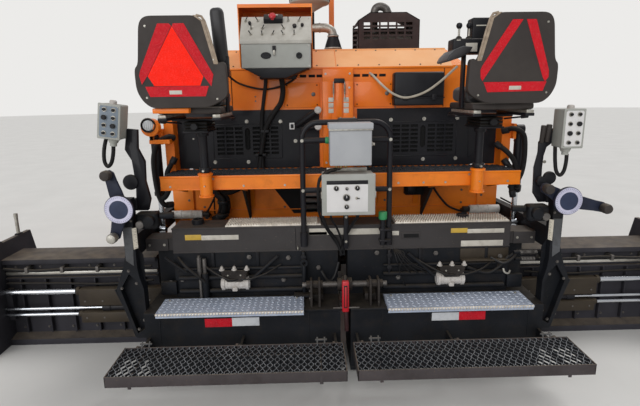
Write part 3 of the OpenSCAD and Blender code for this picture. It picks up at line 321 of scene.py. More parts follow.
    # Bright steel strip on the extensions' ledge: a painted highlight along the ledge's edge
    keep("strip_painted_highlight", colour="#C9C6BF", second="#ABA79E", roughness=0.3, metallic=0.8, blotch=0.2,
         grain=0.002, bump=0.15, dust=0.2, grime=0.4, grime_colour="#6B6154")
    # Reflective films of the tapes and triangles
    made["retroreflective_red"] = prismatic_film("retroreflective_red", "#C20C22", "#A00A1C")
    made["retroreflective_white"] = prismatic_film("retroreflective_white", "#C9CBCE", "#AEB1B6")
    made["fluorescent_orange_film"] = prismatic_film("fluorescent_orange_film", "#FF1E00", "#F41900", 0.5)
    made["retroreflective_crimson"] = prismatic_film("retroreflective_crimson", "#C4101F", "#AE0C1B")
    # Upholstery, lamp lenses, and the unlit depth behind slots
    made["seat_vinyl"] = seat_vinyl()
    made["lamp_glass"] = lamp_glass()
    made["dark_core"] = coat("dark_core", "#050506", "#0A0A0B", 0.9, blotch=0.1, dust=0.1, grime=0.3)
    return made


def prismatic_film(name, colour, second, roughness=0.3):
    """Prismatic reflective film: saturated, with 4 mm honeycomb cells, drawn a little coarser to show."""
    material, tree, shader, place = new_material(name)
    where = place.outputs["Object"]
    cells = node(tree, "ShaderNodeTexVoronoi", {"Vector": where, "Scale": 160.0}, feature="DISTANCE_TO_EDGE")
    edge = ramp(tree, cells.outputs[0], 0.0, 0.12, 1.0, 0.0)
    worn = ramp(tree, noise(tree, where, 0.05, 5.0, 0.7), 0.45, 0.75)
    tone = blend(tree, worn, rgba(colour), rgba(second))
    tone = blend(tree, times(tree, edge, 0.06), tone, rgba("#F2F0EE"))
    tree.links.new(tone, shader.inputs["Base Color"])
    tree.links.new(ramp(tree, worn, 0.0, 1.0, roughness, roughness + 0.2), shader.inputs["Roughness"])
    shader.inputs["Specular IOR Level"].default_value = 0.04
    return material


def seat_vinyl():
    """Coated upholstery vinyl: black, soft sheen, a 2 mm leather grain."""
    material, tree, shader, place = new_material("seat_vinyl")
    where = place.outputs["Object"]
    tone = blend(tree, ramp(tree, noise(tree, where, 0.12), 0.4, 0.7), rgba("#1C1B1D"), rgba("#272528"))
    tree.links.new(tone, shader.inputs["Base Color"])
    shader.inputs["Roughness"].default_value = 0.5
    shader.inputs["Sheen Weight"].default_value = 0.15
    grain = node(tree, "ShaderNodeTexVoronoi", {"Vector": where, "Scale": 420.0}, feature="SMOOTH_F1")
    bump = node(tree, "ShaderNodeBump", {"Strength": 0.3, "Distance": 0.0005, "Height": grain.outputs[0]})
    tree.links.new(bump.outputs[0], shader.inputs["Normal"])
    return material


def lamp_glass():
    """Moulded lens of a work lamp: clear, ribbed every 6 mm, with pale plastic behind it."""
    material, tree, shader, place = new_material("lamp_glass")
    ribs = node(tree, "ShaderNodeTexWave", {"Vector": place.outputs["Object"], "Scale": 26.0})
    tone = blend(tree, ribs.outputs[1], rgba("#C9CDD0"), rgba("#E8EAEC"))
    tree.links.new(tone, shader.inputs["Base Color"])
    shader.inputs["Roughness"].default_value = 0.12
    shader.inputs["Coat Weight"].default_value = 0.6
    return material


def soften(outline, radius, steps=5):
    """An outline whose corners are rounded by curves that start radius away from each corner."""
    rounded_line = []
    for before, here, after in zip(outline[-1:] + outline[:-1], outline, outline[1:] + outline[:1]):
        here, before, after = Vector(here), Vector(before), Vector(after)
        first = here + (before - here) * min(0.45, radius / max((before - here).length, 1e-6))
        last = here + (after - here) * min(0.45, radius / max((after - here).length, 1e-6))
        for k in range(steps + 1):
            t = k / steps
            rounded_line.append(tuple(first * (1 - t) ** 2 + here * 2 * t * (1 - t) + last * t ** 2))
    return rounded_line


# Shapes: each function returns a small mesh, which add() puts into a piece


def block(low, high, edge=0.0, segments=2):
    """A block from corner to corner, its edges rounded by edge."""
    shape = bmesh.new()
    low, high = Vector(low), Vector(high)
    bmesh.ops.create_cube(shape, size=1.0)
    bmesh.ops.scale(shape, vec=high - low, verts=shape.verts)
    bmesh.ops.translate(shape, vec=(low + high) / 2, verts=shape.verts)
    return rounded(shape, edge, segments)


def rounded(shape, edge, segments=2, angle=0.5):
    """Rounds the shape's sharp edges."""
    if edge > 0:
        sharp = [e for e in shape.edges if e.is_boundary or e.calc_face_angle(0) > angle]
        bmesh.ops.bevel(shape, geom=sharp, offset=edge, segments=segments, affect="EDGES", profile=0.5,
                        material=-1, clamp_overlap=True)
    return shape


def sided(hand):
    """The matrix that puts a shape made for the right side on its own side."""
    return MIRROR if hand < 0 else Matrix.Identity(4)


def span(hand, inner, outer):
    """Two distances from the middle plane as the lower and the higher x of one side."""
    return sorted((hand * inner, hand * outer))


def disc(radius, height, steps):
    """A round plate standing on the XY plane."""
    return lathe([(0, 0), (radius, 0), (radius, height), (0, height)], steps)


def along(start, end):
    """A matrix that puts +Z along start..end with its origin half-way."""
    start, end = Vector(start), Vector(end)
    way = end - start
    turn = way.to_track_quat("Z", "Y").to_matrix().to_4x4()
    return Matrix.Translation((start + end) / 2) @ turn, way.length


def rod(start, end, radius, sides=20, edge=0.0, end_radius=None):
    """A round rod, or a cone where end_radius differs."""
    shape = bmesh.new()
    place, length = along(start, end)
    bmesh.ops.create_cone(shape, cap_ends=True, segments=sides, radius1=radius,
                          radius2=radius if end_radius is None else end_radius, depth=length, matrix=place)
    return rounded(shape, edge, 2, 1.0)


def prism(outline, axis, start, end, edge=0.0, segments=1):
    """An outline of two coordinates pushed along X, Y or Z from start to end."""
    order = {"X": (2, 0, 1), "Y": (0, 2, 1), "Z": (0, 1, 2)}[axis]
    shape = bmesh.new()
    corners = []
    for first, second in outline:
        values = (first, second, start)
        corners.append(shape.verts.new([values[i] for i in order]))
    shape.faces.new(corners)
    pushed = bmesh.ops.extrude_face_region(shape, geom=shape.faces[:])["geom"]
    push = {"X": (end - start, 0, 0), "Y": (0, end - start, 0), "Z": (0, 0, end - start)}[axis]
    bmesh.ops.translate(shape, vec=push, verts=[g for g in pushed if isinstance(g, bmesh.types.BMVert)])
    bmesh.ops.recalc_face_normals(shape, faces=shape.faces)
    return rounded(shape, edge, segments)


def lathe(profile, steps=24):
    """A profile of (radius, z) spun about Z."""
    shape = bmesh.new()
    line = [shape.verts.new((radius, 0, z)) for radius, z in profile]
    for first, second in zip(line, line[1:]):
        shape.edges.new((first, second))
    bmesh.ops.spin(shape, geom=shape.verts[:] + shape.edges[:], angle=math.tau, steps=steps,
                   axis=UP, cent=(0, 0, 0), use_merge=True)
    bmesh.ops.remove_doubles(shape, verts=shape.verts, dist=1e-6)
    bmesh.ops.recalc_face_normals(shape, faces=shape.faces)
    return shape


def facing(at, way):
    """A matrix that puts +Z along way, with its origin at a point."""
    return Matrix.Translation(Vector(at)) @ Vector(way).to_track_quat("Z", "Y").to_matrix().to_4x4()


def bolt(size, washer=1.4):
    """A hexagon head on a washer, standing on the XY plane. The head's radius is two thirds of the size."""
    radius = size * 0.66
    shape = bmesh.new()
    bmesh.ops.create_cone(shape, cap_ends=True, segments=14, radius1=radius * washer, radius2=radius * washer,
                          depth=radius * 0.25, matrix=Matrix.Translation((0, 0, radius * 0.125)))
    bmesh.ops.create_cone(shape, cap_ends=True, segments=6, radius1=radius * 1.1, radius2=radius,
                          depth=radius * 0.9, matrix=Matrix.Translation((0, 0, radius * 0.7)))
    return shape


def tube(points, radius, sides=10, smooth=4, rib=0.0):
    """A round tube along a smooth line through the points, with closed ends. A rib makes every other ring
    smaller by that share, as on a corrugated hose."""
    line = smooth_line(points, smooth)
    shape = bmesh.new()
    first = bmesh.ops.create_circle(shape, cap_ends=True, segments=sides, radius=radius,
                                    matrix=facing(line[0], line[1] - line[0]))["verts"]
    rim = [e for e in shape.edges if e.is_boundary or len(e.link_faces) == 1]
    previous = (line[1] - line[0]).normalized()
    ring = first
    narrow = False
    for here, before, after in zip(line[1:], line, line[2:] + [line[-1]]):
        way = (after - before).normalized()
        made = bmesh.ops.extrude_edge_only(shape, edges=rim)["geom"]
        ring = [g for g in made if isinstance(g, bmesh.types.BMVert)]
        rim = [g for g in made if isinstance(g, bmesh.types.BMEdge)
               and all(v in ring for v in g.verts)]
        turn = previous.rotation_difference(way).to_matrix()
        bmesh.ops.translate(shape, vec=here - before, verts=ring)
        bmesh.ops.rotate(shape, cent=here, matrix=turn, verts=ring)
        if rib:
            scale = 1 / (1 - rib) if narrow else 1 - rib
            bmesh.ops.scale(shape, vec=(scale, scale, scale), space=Matrix.Translation(-here), verts=ring)
            narrow = not narrow
        previous = way
    bmesh.ops.contextual_create(shape, geom=rim)
    bmesh.ops.recalc_face_normals(shape, faces=shape.faces)
    return shape


def smooth_line(points, steps):
    """A Catmull-Rom line through the points, with steps pieces between two of them."""
    points = [Vector(p) for p in points]
    if steps < 2 or len(points) < 3:
        return points
    ends = [2 * points[0] - points[1]] + points + [2 * points[-1] - points[-2]]
    line = []
    for a, b, c, d in zip(ends, ends[1:], ends[2:], ends[3:]):
        for k in range(steps):
            t = k / steps
            line.append(0.5 * (2 * b + (c - a) * t + (2 * a - 5 * b + 4 * c - d) * t * t
                               + (3 * b - a - 3 * c + d) * t ** 3))
    return line + [points[-1]]


# Pieces


def add(piece, shape, finish=0, places=(None,)):
    """Puts a shape into a piece's mesh, in one of its finishes, once at each place."""
    for face in shape.faces:
        face.material_index = finish
        face.smooth = True
    mesh = bpy.data.meshes.new("shape")
    shape.to_mesh(mesh)
    shape.free()
    for place in places:
        count = len(piece.verts)
        piece.from_mesh(mesh)
        if place is None:
            continue
        if not isinstance(place, Matrix):
            place = Matrix.Translation(place)
        piece.verts.ensure_lookup_table()
        fresh = piece.verts[count:]
        bmesh.ops.transform(piece, matrix=place, verts=fresh)
        if place.determinant() < 0:
            bmesh.ops.reverse_faces(piece, faces=list({f for v in fresh for f in v.link_faces}))
    bpy.data.meshes.remove(mesh)


def finish_piece(name, piece, finishes, body, replaces=(), sharp=0.6):
    """Makes the object of a piece, gives it its finishes, and lets it ride on its body. The number that add()
    takes for a shape is the place of its finish in this list."""
    mesh = bpy.data.meshes.new(name)
    piece.to_mesh(mesh)
    piece.free()
    mesh.set_sharp_from_angle(angle=sharp)
    made = bpy.data.objects.new(name, mesh)
    bpy.context.scene.collection.objects.link(made)
    for finish in finishes:
        mesh.materials.append(MATERIALS[finish])
    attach(made, body)
    if replaces:
        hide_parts(*replaces)
    return made


# Settings


class PaverTreadSettings(PropertyGroup):
    """Sizes of the walkway treads and of the tread plates."""
    strip_step: FloatProperty(name="Strip spacing",
                              description="Distance between two wavy strips of a walkway", default=0.0181,
                              min=0.012, max=0.03, unit="LENGTH")
    wave: FloatProperty(name="Diamond length", description="Length of one diamond across a walkway",
                        default=0.0568, min=0.03, max=0.09, unit="LENGTH")
    strip_thick: FloatProperty(name="Strip thickness", description="Thickness of a pressed strip",
                               default=0.0035, min=0.002, max=0.006, unit="LENGTH")
    lug_step: FloatProperty(name="Lug spacing", description="Distance between two lugs of the tread plate",
                            default=0.034, min=0.02, max=0.05, unit="LENGTH")
    lug_length: FloatProperty(name="Lug length", description="Length of one lug of the tread plate",
                              default=0.029, min=0.015, max=0.04, unit="LENGTH")


class PaverColourSettings(PropertyGroup):
    """Paint and plastic colours that an owner would choose."""
    enamel: FloatVectorProperty(name="Enamel", description="Colour of the hood, posts and deck", size=3,
                                default=linear("#EE800F"), min=0, max=1, subtype="COLOR")
    black: FloatVectorProperty(name="Black sheet", description="Colour of the grille, rails and cylinders",
                               size=3, default=linear("#15151A"), min=0, max=1, subtype="COLOR")
    seat: FloatVectorProperty(name="Seat shell", description="Colour of the moulded seat shells", size=3,
                              default=linear("#36312F"), min=0, max=1, subtype="COLOR")
    boxes: FloatVectorProperty(name="Control box", description="Colour of the moulded upper control box",
                               size=3, default=linear("#A7A9AC"), min=0, max=1, subtype="COLOR")


class PaverStageSettings(PropertyGroup):
    """The floor and the light."""
    floor_colour: FloatVectorProperty(name="Floor", description="Colour of the floor", size=3,
                                      default=linear("#D9D7D3"), min=0, max=1, subtype="COLOR")
    sky: FloatProperty(name="Sky", description="Strength of the even light from all sides", default=0.54,
                       min=0, max=2)
    key: FloatProperty(name="Key", description="Strength of the broad high lamp", default=1.15, min=0, max=5)
    fill: FloatProperty(name="Fill", description="Strength of the lamp behind the camera", default=1.6, min=0,
                        max=5)


MATERIALS = {}


class PAVER_OT_stage(Operator):
    """Makes the floor, the light and the camera at the photograph's place"""
    bl_idname = "paver.stage"
    bl_label = "Stage"

    def execute(self, context):
        scene = context.scene
        size = scene.paver_stage
        scene.view_settings.view_transform = "Standard"
        self.world(scene, size)
        self.floor(scene, size)
        self.lamp(scene, "key_lamp", size.key, (0.5, 0.35, 1.0), 25)
        self.lamp(scene, "fill_lamp", size.fill, (-0.40, -1.0, 0.32), 50)
        self.camera(scene)
        return {"FINISHED"}

    @staticmethod
    def world(scene, size):
        world = bpy.data.worlds.new("studio")
        world.use_nodes = True
        tree = world.node_tree
        tree.nodes.clear()
        ray = node(tree, "ShaderNodeLightPath")
        seen = node(tree, "ShaderNodeMath",
                    {0: ray.outputs["Is Camera Ray"], 1: ray.outputs["Is Transmission Ray"]},
                    operation="MAXIMUM").outputs[0]
        sky = node(tree, "ShaderNodeBackground", {"Color": rgba("#F4F5F7"), "Strength": size.sky}).outputs[0]
        white = node(tree, "ShaderNodeBackground", {"Color": rgba("#ECEBE9"), "Strength": 1.0}).outputs[0]
        mixed = node(tree, "ShaderNodeMixShader", {0: seen, 1: sky, 2: white}).outputs[0]
        node(tree, "ShaderNodeOutputWorld", {0: mixed})
        scene.world = world

    @staticmethod
    def floor(scene, size):
        shape = bmesh.new()
        bmesh.ops.create_circle(shape, cap_ends=True, segments=96, radius=60)
        mesh = bpy.data.meshes.new("floor")
        shape.to_mesh(mesh)
        shape.free()
        floor = bpy.data.objects.new("floor", mesh)
        scene.collection.objects.link(floor)
        material, tree, shader, place = new_material("painted_concrete")
        speck = noise(tree, place.outputs["Object"], 0.6, 5.0, 0.6)
        pale = (*size.floor_colour, 1.0)
        tone = blend(tree, ramp(tree, speck, 0.3, 0.7), pale, rgba("#D2D0CC"))
        tree.links.new(tone, shader.inputs["Base Color"])
        shader.inputs["Roughness"].default_value = 0.85
        mesh.materials.append(material)

    @staticmethod
    def lamp(scene, name, strength, way, angle):
        data = bpy.data.lights.new(name, "SUN")
        data.energy = strength
        data.angle = math.radians(angle)
        lamp = bpy.data.objects.new(name, data)
        lamp.rotation_euler = Vector(way).to_track_quat("Z", "Y").to_euler()
        scene.collection.objects.link(lamp)

    @staticmethod
    def camera(scene):
        data = bpy.data.cameras.new("camera")
        data.sensor_width, data.lens = 36.0, 26.64
        place = Matrix.Translation((-0.208, -5.14, 1.685))
        camera = bpy.data.objects.new("camera", data)
        yaw, pitch, roll = math.radians(1.311), math.radians(12.676), math.radians(-0.816)
        turn = (Matrix.Rotation(-yaw, 4, "Z") @ Matrix.Rotation(math.pi / 2 - pitch, 4, "X")
                @ Matrix.Rotation(roll, 4, "Z"))
        camera.matrix_world = place @ turn
        scene.collection.objects.link(camera)
        scene.camera = camera


CAD_FINISHES = {
    "chassis_frame": "enamel_chassis", "body_shell": "enamel_orange", "rear_grille": "powder_coat_black",
    "engine_block": "cast_iron_grey", "exhaust_guard": "heat_paint_brown", "air_intake": "abs_black",
    "lamp_mast": "enamel_orange", "rear_deck": "enamel_deck", "side_posts": "enamel_orange",
    "console": "powder_coat_grey", "console_hood": "enamel_orange", "axles": "enamel_chassis",
    "conveyors": "caked_steel", "hopper_body": "enamel_stained", "push_beam": "enamel_stained",
    "rear_tyre": "rubber_tyre", "rear_rim": "enamel_rim_orange", "knuckle": "enamel_chassis",
    "front_wheel": "rubber_tyre", "wing": "enamel_stained", "wing_barrel": "powder_coat_black",
    "wing_rod": "hard_chrome", "screed_boxes": "enamel_black_bitumen", "screed_frame": "enamel_black_bitumen",
    "crown_screw": "caked_steel", "step_plates": "rolled_aluminium", "step_beam": "enamel_beam_grey",
    "tow_arms": "enamel_black_bitumen", "hoop_rail": "powder_coat_black", "control_boxes": "polyester_grey",
    "vibrators": "cast_alloy_cream", "pendants": "powder_coat_grey", "lift_barrel": "powder_coat_black",
    "lift_rod": "hard_chrome", "extension": "enamel_black_dusty", "slide_rods": "hard_chrome",
    "walkway": "rolled_steel_worn", "crank": "enamel_slate_blue", "seat": "polypropylene_charcoal",
    "cushions": "seat_vinyl", "auger": "caked_steel", "push_roller": "caked_steel",
}


class PAVER_OT_finishes(Operator):
    """Makes the finishes and gives each CAD node its own"""
    bl_idname = "paver.finishes"
    bl_label = "Finishes"

    def execute(self, context):
        MATERIALS.update(make_materials(context.scene.paver_colours))
        for name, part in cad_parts.items():
            base = name.removesuffix("_left").removesuffix("_right")
            part.data.materials.clear()
            part.data.materials.append(MATERIALS[CAD_FINISHES[base]])
        return {"FINISHED"}


class PAVER_OT_walkways(Operator):
    """Serrated diamond treads in their rails, hinged behind the screed"""
    bl_idname = "paver.walkways"
    bl_label = "Walkways"
    depth, sheet = 0.296, 0.006

    def execute(self, context):
        size = context.scene.paver_treads
        for side, _ in SIDES:
            low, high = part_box("walkway_" + side)
            rear, front = low.y, low.y + self.depth
            self.rails(side, low, high, rear, front)
            self.tread(side, size, low.x + self.sheet, high.x - self.sheet, rear + self.sheet,
                       front - self.sheet, high.z)
        return {"FINISHED"}

    def rails(self, side, low, high, rear, front):
        """Frame of sheet around the tread, its cross bars, feet and hinges."""
        piece = bmesh.new()
        x0, x1, z0, z1 = low.x, high.x, low.z, high.z
        sheet, turned_lip = self.sheet, 0.022
        for y0, y1, lip in ((rear, rear + sheet, turned_lip), (front - sheet, front, -turned_lip)):
            add(piece, block((x0, y0, z0), (x1, y1, z1), 0.0015))
            add(piece, block((x0, min(y0, y0 + lip), z0), (x1, max(y1, y1 + lip), z0 + 0.005), 0.001))
        for x in (x0, x1 - sheet):
            add(piece, block((x, rear, z0), (x + sheet, front, z1 + 0.001), 0.0015))
        for x in (x0 + 0.12, x1 - 0.14):
            add(piece, block((x, rear + sheet, z0 + 0.002), (x + 0.008, front - sheet, z1 - 0.016), 0.001))
            add(piece, block((x - 0.004, rear - 0.0005, z0 - 0.012), (x + 0.014, rear + 0.005, z0 + 0.03),
                             0.002))
        hinge_y, hinge_z = front + 0.014, z1 - 0.016
        for x in (0.060, 0.620, 1.190):
            at = x if x0 > 0 else -x - 0.020
            add(piece, rod((at, hinge_y, hinge_z), (at + 0.020, hinge_y, hinge_z), 0.008, 14))
            tab = at + (0.016 if x0 > 0 else -0.010)
            add(piece, block((tab, front - sheet, z1 - 0.026), (tab + 0.014, hinge_y + 0.012, z1 - 0.004),
                             0.002))
        finish_piece("walkway_rails_" + side, piece, ["rolled_steel_worn"], "walkway_" + side,
                     ["walkway_" + side])

    @staticmethod
    def tread(side, size, x0, x1, y0, y1, top):
        """Wavy strips side by side, each the mirror of the next, so that they meet and form diamonds."""
        count = round((x1 - x0) / size.strip_step)
        steps = 40
        below, crest, tooth = top - 0.014, top - 0.0025, 0.0022
        strips = []
        for hand in (1, -1):
            strip = bmesh.new()
            bmesh.ops.create_grid(strip, x_segments=steps, y_segments=1, size=0.5)
            for v in strip.verts:
                share = v.co.x + 0.5
                wave = math.sin(share * (y1 - y0) / size.wave * math.tau)
                height = crest + (tooth if round(share * steps) % 2 else 0.0)
                v.co = (hand * wave * (size.strip_step - size.strip_thick) / 2, y0 + share * (y1 - y0),
                        height if v.co.y > 0 else below)
            bmesh.ops.recalc_face_normals(strip, faces=strip.faces)
            bmesh.ops.solidify(strip, geom=strip.faces[:], thickness=size.strip_thick)
            strips.append(strip)
        piece = bmesh.new()
        step = (x1 - x0) / count
        for k, strip in enumerate(strips):
            add(piece, strip, 0, [(x0 + (i + 0.5) * step, 0, 0) for i in range(k, count, 2)])
        finish_piece("walkway_tread_" + side, piece, ["pressed_steel_tread"], "walkway_" + side)


class PAVER_OT_tread_plates(Operator):
    """Raised lugs of the aluminium tread plates on the screed, and their turned front lips"""
    bl_idname = "paver.tread_plates"
    bl_label = "Tread plates"

    def execute(self, context):
        size = context.scene.paver_treads
        low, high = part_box("step_plates")
        y0, y1 = low.y + 0.008, high.y
        piece = bmesh.new()
        half = size.lug_length / 2
        lug = bmesh.new()
        bmesh.ops.create_cone(lug, cap_ends=True, segments=8, radius1=half, radius2=half * 0.6, depth=0.0034)
        bmesh.ops.scale(lug, vec=(1, 0.24, 1), verts=lug.verts)
        places = []
        rows = int((y1 - y0) / size.lug_step)
        inner, lip_step = 0.254, 0.018
        plates = ((-high.x, -inner), (inner, high.x))
        for x_start, x_end in plates:
            columns = int((x_end - x_start) / size.lug_step)
            for i in range(columns):
                for j in range(rows):
                    turn = Matrix.Rotation(math.radians(45 if (i + j) % 2 else -45), 4, "Z")
                    x = x_start + (i + 0.5) * (x_end - x_start) / columns
                    y = y0 + (j + 0.5) * (y1 - y0) / rows
                    places.append(Matrix.Translation((x, y, high.z + 0.0008)) @ turn)
        add(piece, lug, 0, places)
        for x_start, x_end in plates:
            y, z = low.y + 0.001, high.z - 0.009
            add(piece, rod((x_start, y, z), (x_end, y, z), 0.009, 16), 1)
            for i in range(int((x_end - x_start) / lip_step)):
                x = x_start + (i + 0.5) * lip_step
                add(piece, rod((x, low.y - 0.0085, high.z - 0.016),
                               (x + 0.009, low.y - 0.0085, high.z - 0.002), 0.0026, 5), 2)
        finish_piece("tread_plate_lugs", piece, ["aluminium_lug", "aluminium_grip_pale", "rolled_aluminium"],
                     "screed")
        heads = bmesh.new()
        bolts(heads, 0.009, UP, [(x, y1 - 0.03, high.z) for x in (-1.1, -0.7, -0.3, 0.3, 0.7, 1.1)])
        finish_piece("tread_plate_bolts", heads, ["zinc_plate"], "screed")
        return {"FINISHED"}


SEAT_OUTLINE = [(0.605, 1.690), (0.700, 1.640), (0.985, 1.636), (1.030, 1.668), (1.060, 1.725),
                (1.062, 1.830), (1.042, 1.850), (1.022, 2.045), (0.992, 2.078), (0.745, 2.078),
                (0.705, 2.050), (0.655, 1.848), (0.612, 1.866)]


def inflate(made, cap, voxel=0.006, frames=20):
    """Blows a pad up as closed cloth and keeps each point within cap metres of where it was."""
    def evaluated():
        bpy.context.view_layer.update()
        return made.evaluated_get(bpy.context.evaluated_depsgraph_get())

    remesh = made.modifiers.new("even_cells", "REMESH")
    remesh.mode, remesh.voxel_size = "VOXEL", voxel
    old = made.data
    made.data = bpy.data.meshes.new_from_object(evaluated())
    made.modifiers.clear()
    bpy.data.meshes.remove(old)
    start = [v.co.copy() for v in made.data.vertices]
    cloth = made.modifiers.new("blow_up", "CLOTH")
    cloth.settings.use_pressure = True
    cloth.settings.uniform_pressure_force = 4.0
    cloth.settings.effector_weights.gravity = 0.0
    scene = bpy.context.scene
    for k in range(1, frames + 1):
        scene.frame_set(k)
    blown = [v.co.copy() for v in evaluated().data.vertices]
    made.modifiers.clear()
    scene.frame_set(1)
    for v, before, after in zip(made.data.vertices, start, blown):
        move = after - before
        v.co = before + move * min(1.0, cap / max(move.length, 1e-6))
    made.data.update()


class PAVER_OT_seats(Operator):
    """Seat shells, their padding, suspension, armrest and lever pod"""
    bl_idname = "paver.seats"
    bl_label = "Seats"

    def execute(self, context):
        for side, hand in SIDES:
            self.shell(side, hand)
            self.reflector(side, hand)
            self.padding(side, hand)
        return {"FINISHED"}

    def shell(self, side, hand):
        low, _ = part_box("seat_" + side)
        y = low.y
        flip = sided(hand)
        piece = bmesh.new()
        add(piece, prism(soften(SEAT_OUTLINE, 0.035), "Y", y, y + 0.045, 0.008, 3), 0, [flip])
        if hand < 0:
            add(piece, block((-0.997, y + 0.02, 1.611), (-0.812, y + 0.16, 1.637), 0.004), 8)
        # Pale strip and bead where the inner rim of the shell catches the light: a painted highlight
        inner = [(x, z) for x, z in SEAT_OUTLINE[9:12]]
        strip = [(x + dx, z) for dx, points in ((-0.001, inner), (0.013, inner[::-1])) for x, z in points]
        add(piece, prism(strip, "Y", y - 0.0025, y + 0.03, 0.001), 1, [flip])
        add(piece, tube([(x - 0.004, y + 0.004, z) for x, z in inner], 0.006, 8, 3), 1, [flip])
        add(piece, block((0.655, y + 0.06, 1.604), (0.985, y + 0.478, 1.640), 0.012), 0, [flip])
        self.suspension(piece, flip, y)
        if hand < 0:
            self.armrest(piece, flip, y)
        else:
            self.lever_pod(piece, y)
        for x, z in ((0.668, 1.87), (0.660, 1.68), (1.01, 1.69), (0.99, 2.03)):
            add(piece, bolt(0.006), 4, [flip @ facing((x, y, z), BACK)])
        finish_piece("seat_shell_" + side, piece,
                     ["polypropylene_charcoal", "seat_rim_painted_highlight", "powder_coat_black", "seat_vinyl",
                      "zinc_plate", "abs_black", "vinyl_white", "rubber_hose",
                      "enamel_orange"], "station_" + side,
                     ["seat_" + side])

    @staticmethod
    def suspension(piece, flip, y):
        """Slides with their latch bar, the rubber boot over the suspension, and the pivot post."""
        for x in (0.66, 0.94):
            add(piece, block((x, y + 0.05, 1.585), (x + 0.04, y + 0.45, 1.602), 0.003), 4, [flip])
            add(piece, block((x - 0.004, y + 0.05, 1.570), (x + 0.044, y + 0.45, 1.586), 0.003), 2, [flip])
            for dy in (0.09, 0.41):
                add(piece, rod((x + 0.02, y + dy, 1.575), (x + 0.02, y + dy, 1.604), 0.009, 8), 4, [flip])
        latch = [(0.66, y + 0.445, 1.580), (0.665, y + 0.50, 1.572), (0.70, y + 0.525, 1.568),
                 (0.93, y + 0.525, 1.568), (0.975, y + 0.50, 1.572), (0.98, y + 0.445, 1.580)]
        add(piece, tube(latch, 0.005, 8, 4), 2, [flip])
        add(piece, block((0.650, -2.360, 1.556), (0.990, -2.200, 1.571), 0.003), 2, [flip])
        for k in range(3):
            z = 1.500 + k * 0.019
            add(piece, block((0.778, -2.416, z), (0.912, -2.174, z + 0.0165), 0.007, 2), 7, [flip])
        add(piece, block((0.772, -2.424, 1.492), (0.918, -2.166, 1.503), 0.003), 2, [flip])
        # Weight dial and its lever under the pan
        add(piece, knob(0.022, 0.030), 5, [flip @ facing((STATION_X, -2.424, 1.53), BACK)])
        add(piece, rod((0.93, -2.38, 1.545), (1.02, -2.46, 1.560), 0.005, 8), 2, [flip])
        add(piece, rod((1.00, -2.443, 1.557), (1.03, -2.470, 1.562), 0.010, 10, 0.003), 5, [flip])
        add(piece, rod((STATION_X, STATION_Y, 1.085), (STATION_X, STATION_Y, 1.498), 0.0245, 28), 2, [flip])
        for z in (1.242, 1.462):
            add(piece, rod((STATION_X, STATION_Y, z), (STATION_X, STATION_Y, z + 0.028), 0.036, 28, 0.003),
                2, [flip])
        add(piece, rod((STATION_X, -2.276, 1.256), (STATION_X, -2.300, 1.256), 0.007, 10), 4, [flip])

    @staticmethod
    def armrest(piece, flip, y):
        """Armrest folded up beside the back, on its bracket."""
        rest = rounded(block((-0.035, -0.03, 0.0), (0.035, 0.03, 0.285)), 0.024, 4)
        lean = Matrix.Translation((0.661, y + 0.21, 1.862)) @ Matrix.Rotation(math.radians(3.4), 4, "Y")
        add(piece, rest, 3, [flip @ lean])
        add(piece, block((-0.037, -0.001, 0.03), (0.037, 0.001, 0.26), 0.0005), 5, [flip @ lean])
        add(piece, block((0.626, y + 0.185, 1.795), (0.650, y + 0.235, 1.905), 0.006), 5, [flip])
        add(piece, block((0.636, y + 0.19, 1.610), (0.652, y + 0.232, 1.902), 0.003), 2, [flip])
        add(piece, rod((0.640, y + 0.212, 1.862), (0.700, y + 0.212, 1.862), 0.016, 20, 0.003), 2, [flip])

    @staticmethod
    def lever_pod(piece, y):
        """Pod beside the right seat: two levers with round knobs, dark box, blank plate and pointed rest."""
        add(piece, block((0.566, y + 0.155, 1.896), (0.752, y + 0.256, 1.974), 0.010, 3), 5)
        add(piece, block((0.636, y + 0.19, 1.610), (0.652, y + 0.232, 1.902), 0.003), 2)
        add(piece, block((0.585, y + 0.1535, 1.962), (0.606, y + 0.157, 1.967), 0.001), 6)
        add(piece, block((0.634, y + 0.1525, 1.906), (0.696, y + 0.157, 1.950), 0.001), 6)
        rest = [(0.518, 1.858), (0.532, 1.884), (0.560, 1.912), (0.604, 1.930), (0.654, 1.926),
                (0.640, 1.900), (0.592, 1.872), (0.552, 1.860), (0.530, 1.852)]
        add(piece, prism(rest, "Y", y + 0.09, y + 0.30, 0.008, 3), 3)
        for x in (0.609, 0.663):
            add(piece, lathe([(0, 0), (0.020, 0), (0.016, 0.010), (0.008, 0.018), (0, 0.018)], 16), 7,
                [Vector((x, y + 0.20, 1.972))])
            add(piece, rod((x, y + 0.20, 1.985), (x, y + 0.20, 2.030), 0.0055, 10), 4)
            add(piece, lathe([(0, -0.016), (0.008, -0.015), (0.0150, -0.006), (0.0165, 0.003), (0.012, 0.013),
                              (0, 0.017)], 20), 5, [Vector((x, y + 0.20, 2.042))])
        add(piece, block((0.680, y + 0.200, 1.970), (0.778, y + 0.290, 2.084), 0.008, 3), 5)
        add(piece, block((0.700, y + 0.1985, 2.040), (0.756, y + 0.202, 2.046), 0.001), 6)
        add(piece, rod((0.729, y + 0.245, 1.95), (0.729, y + 0.245, 1.98), 0.022, 16), 7)

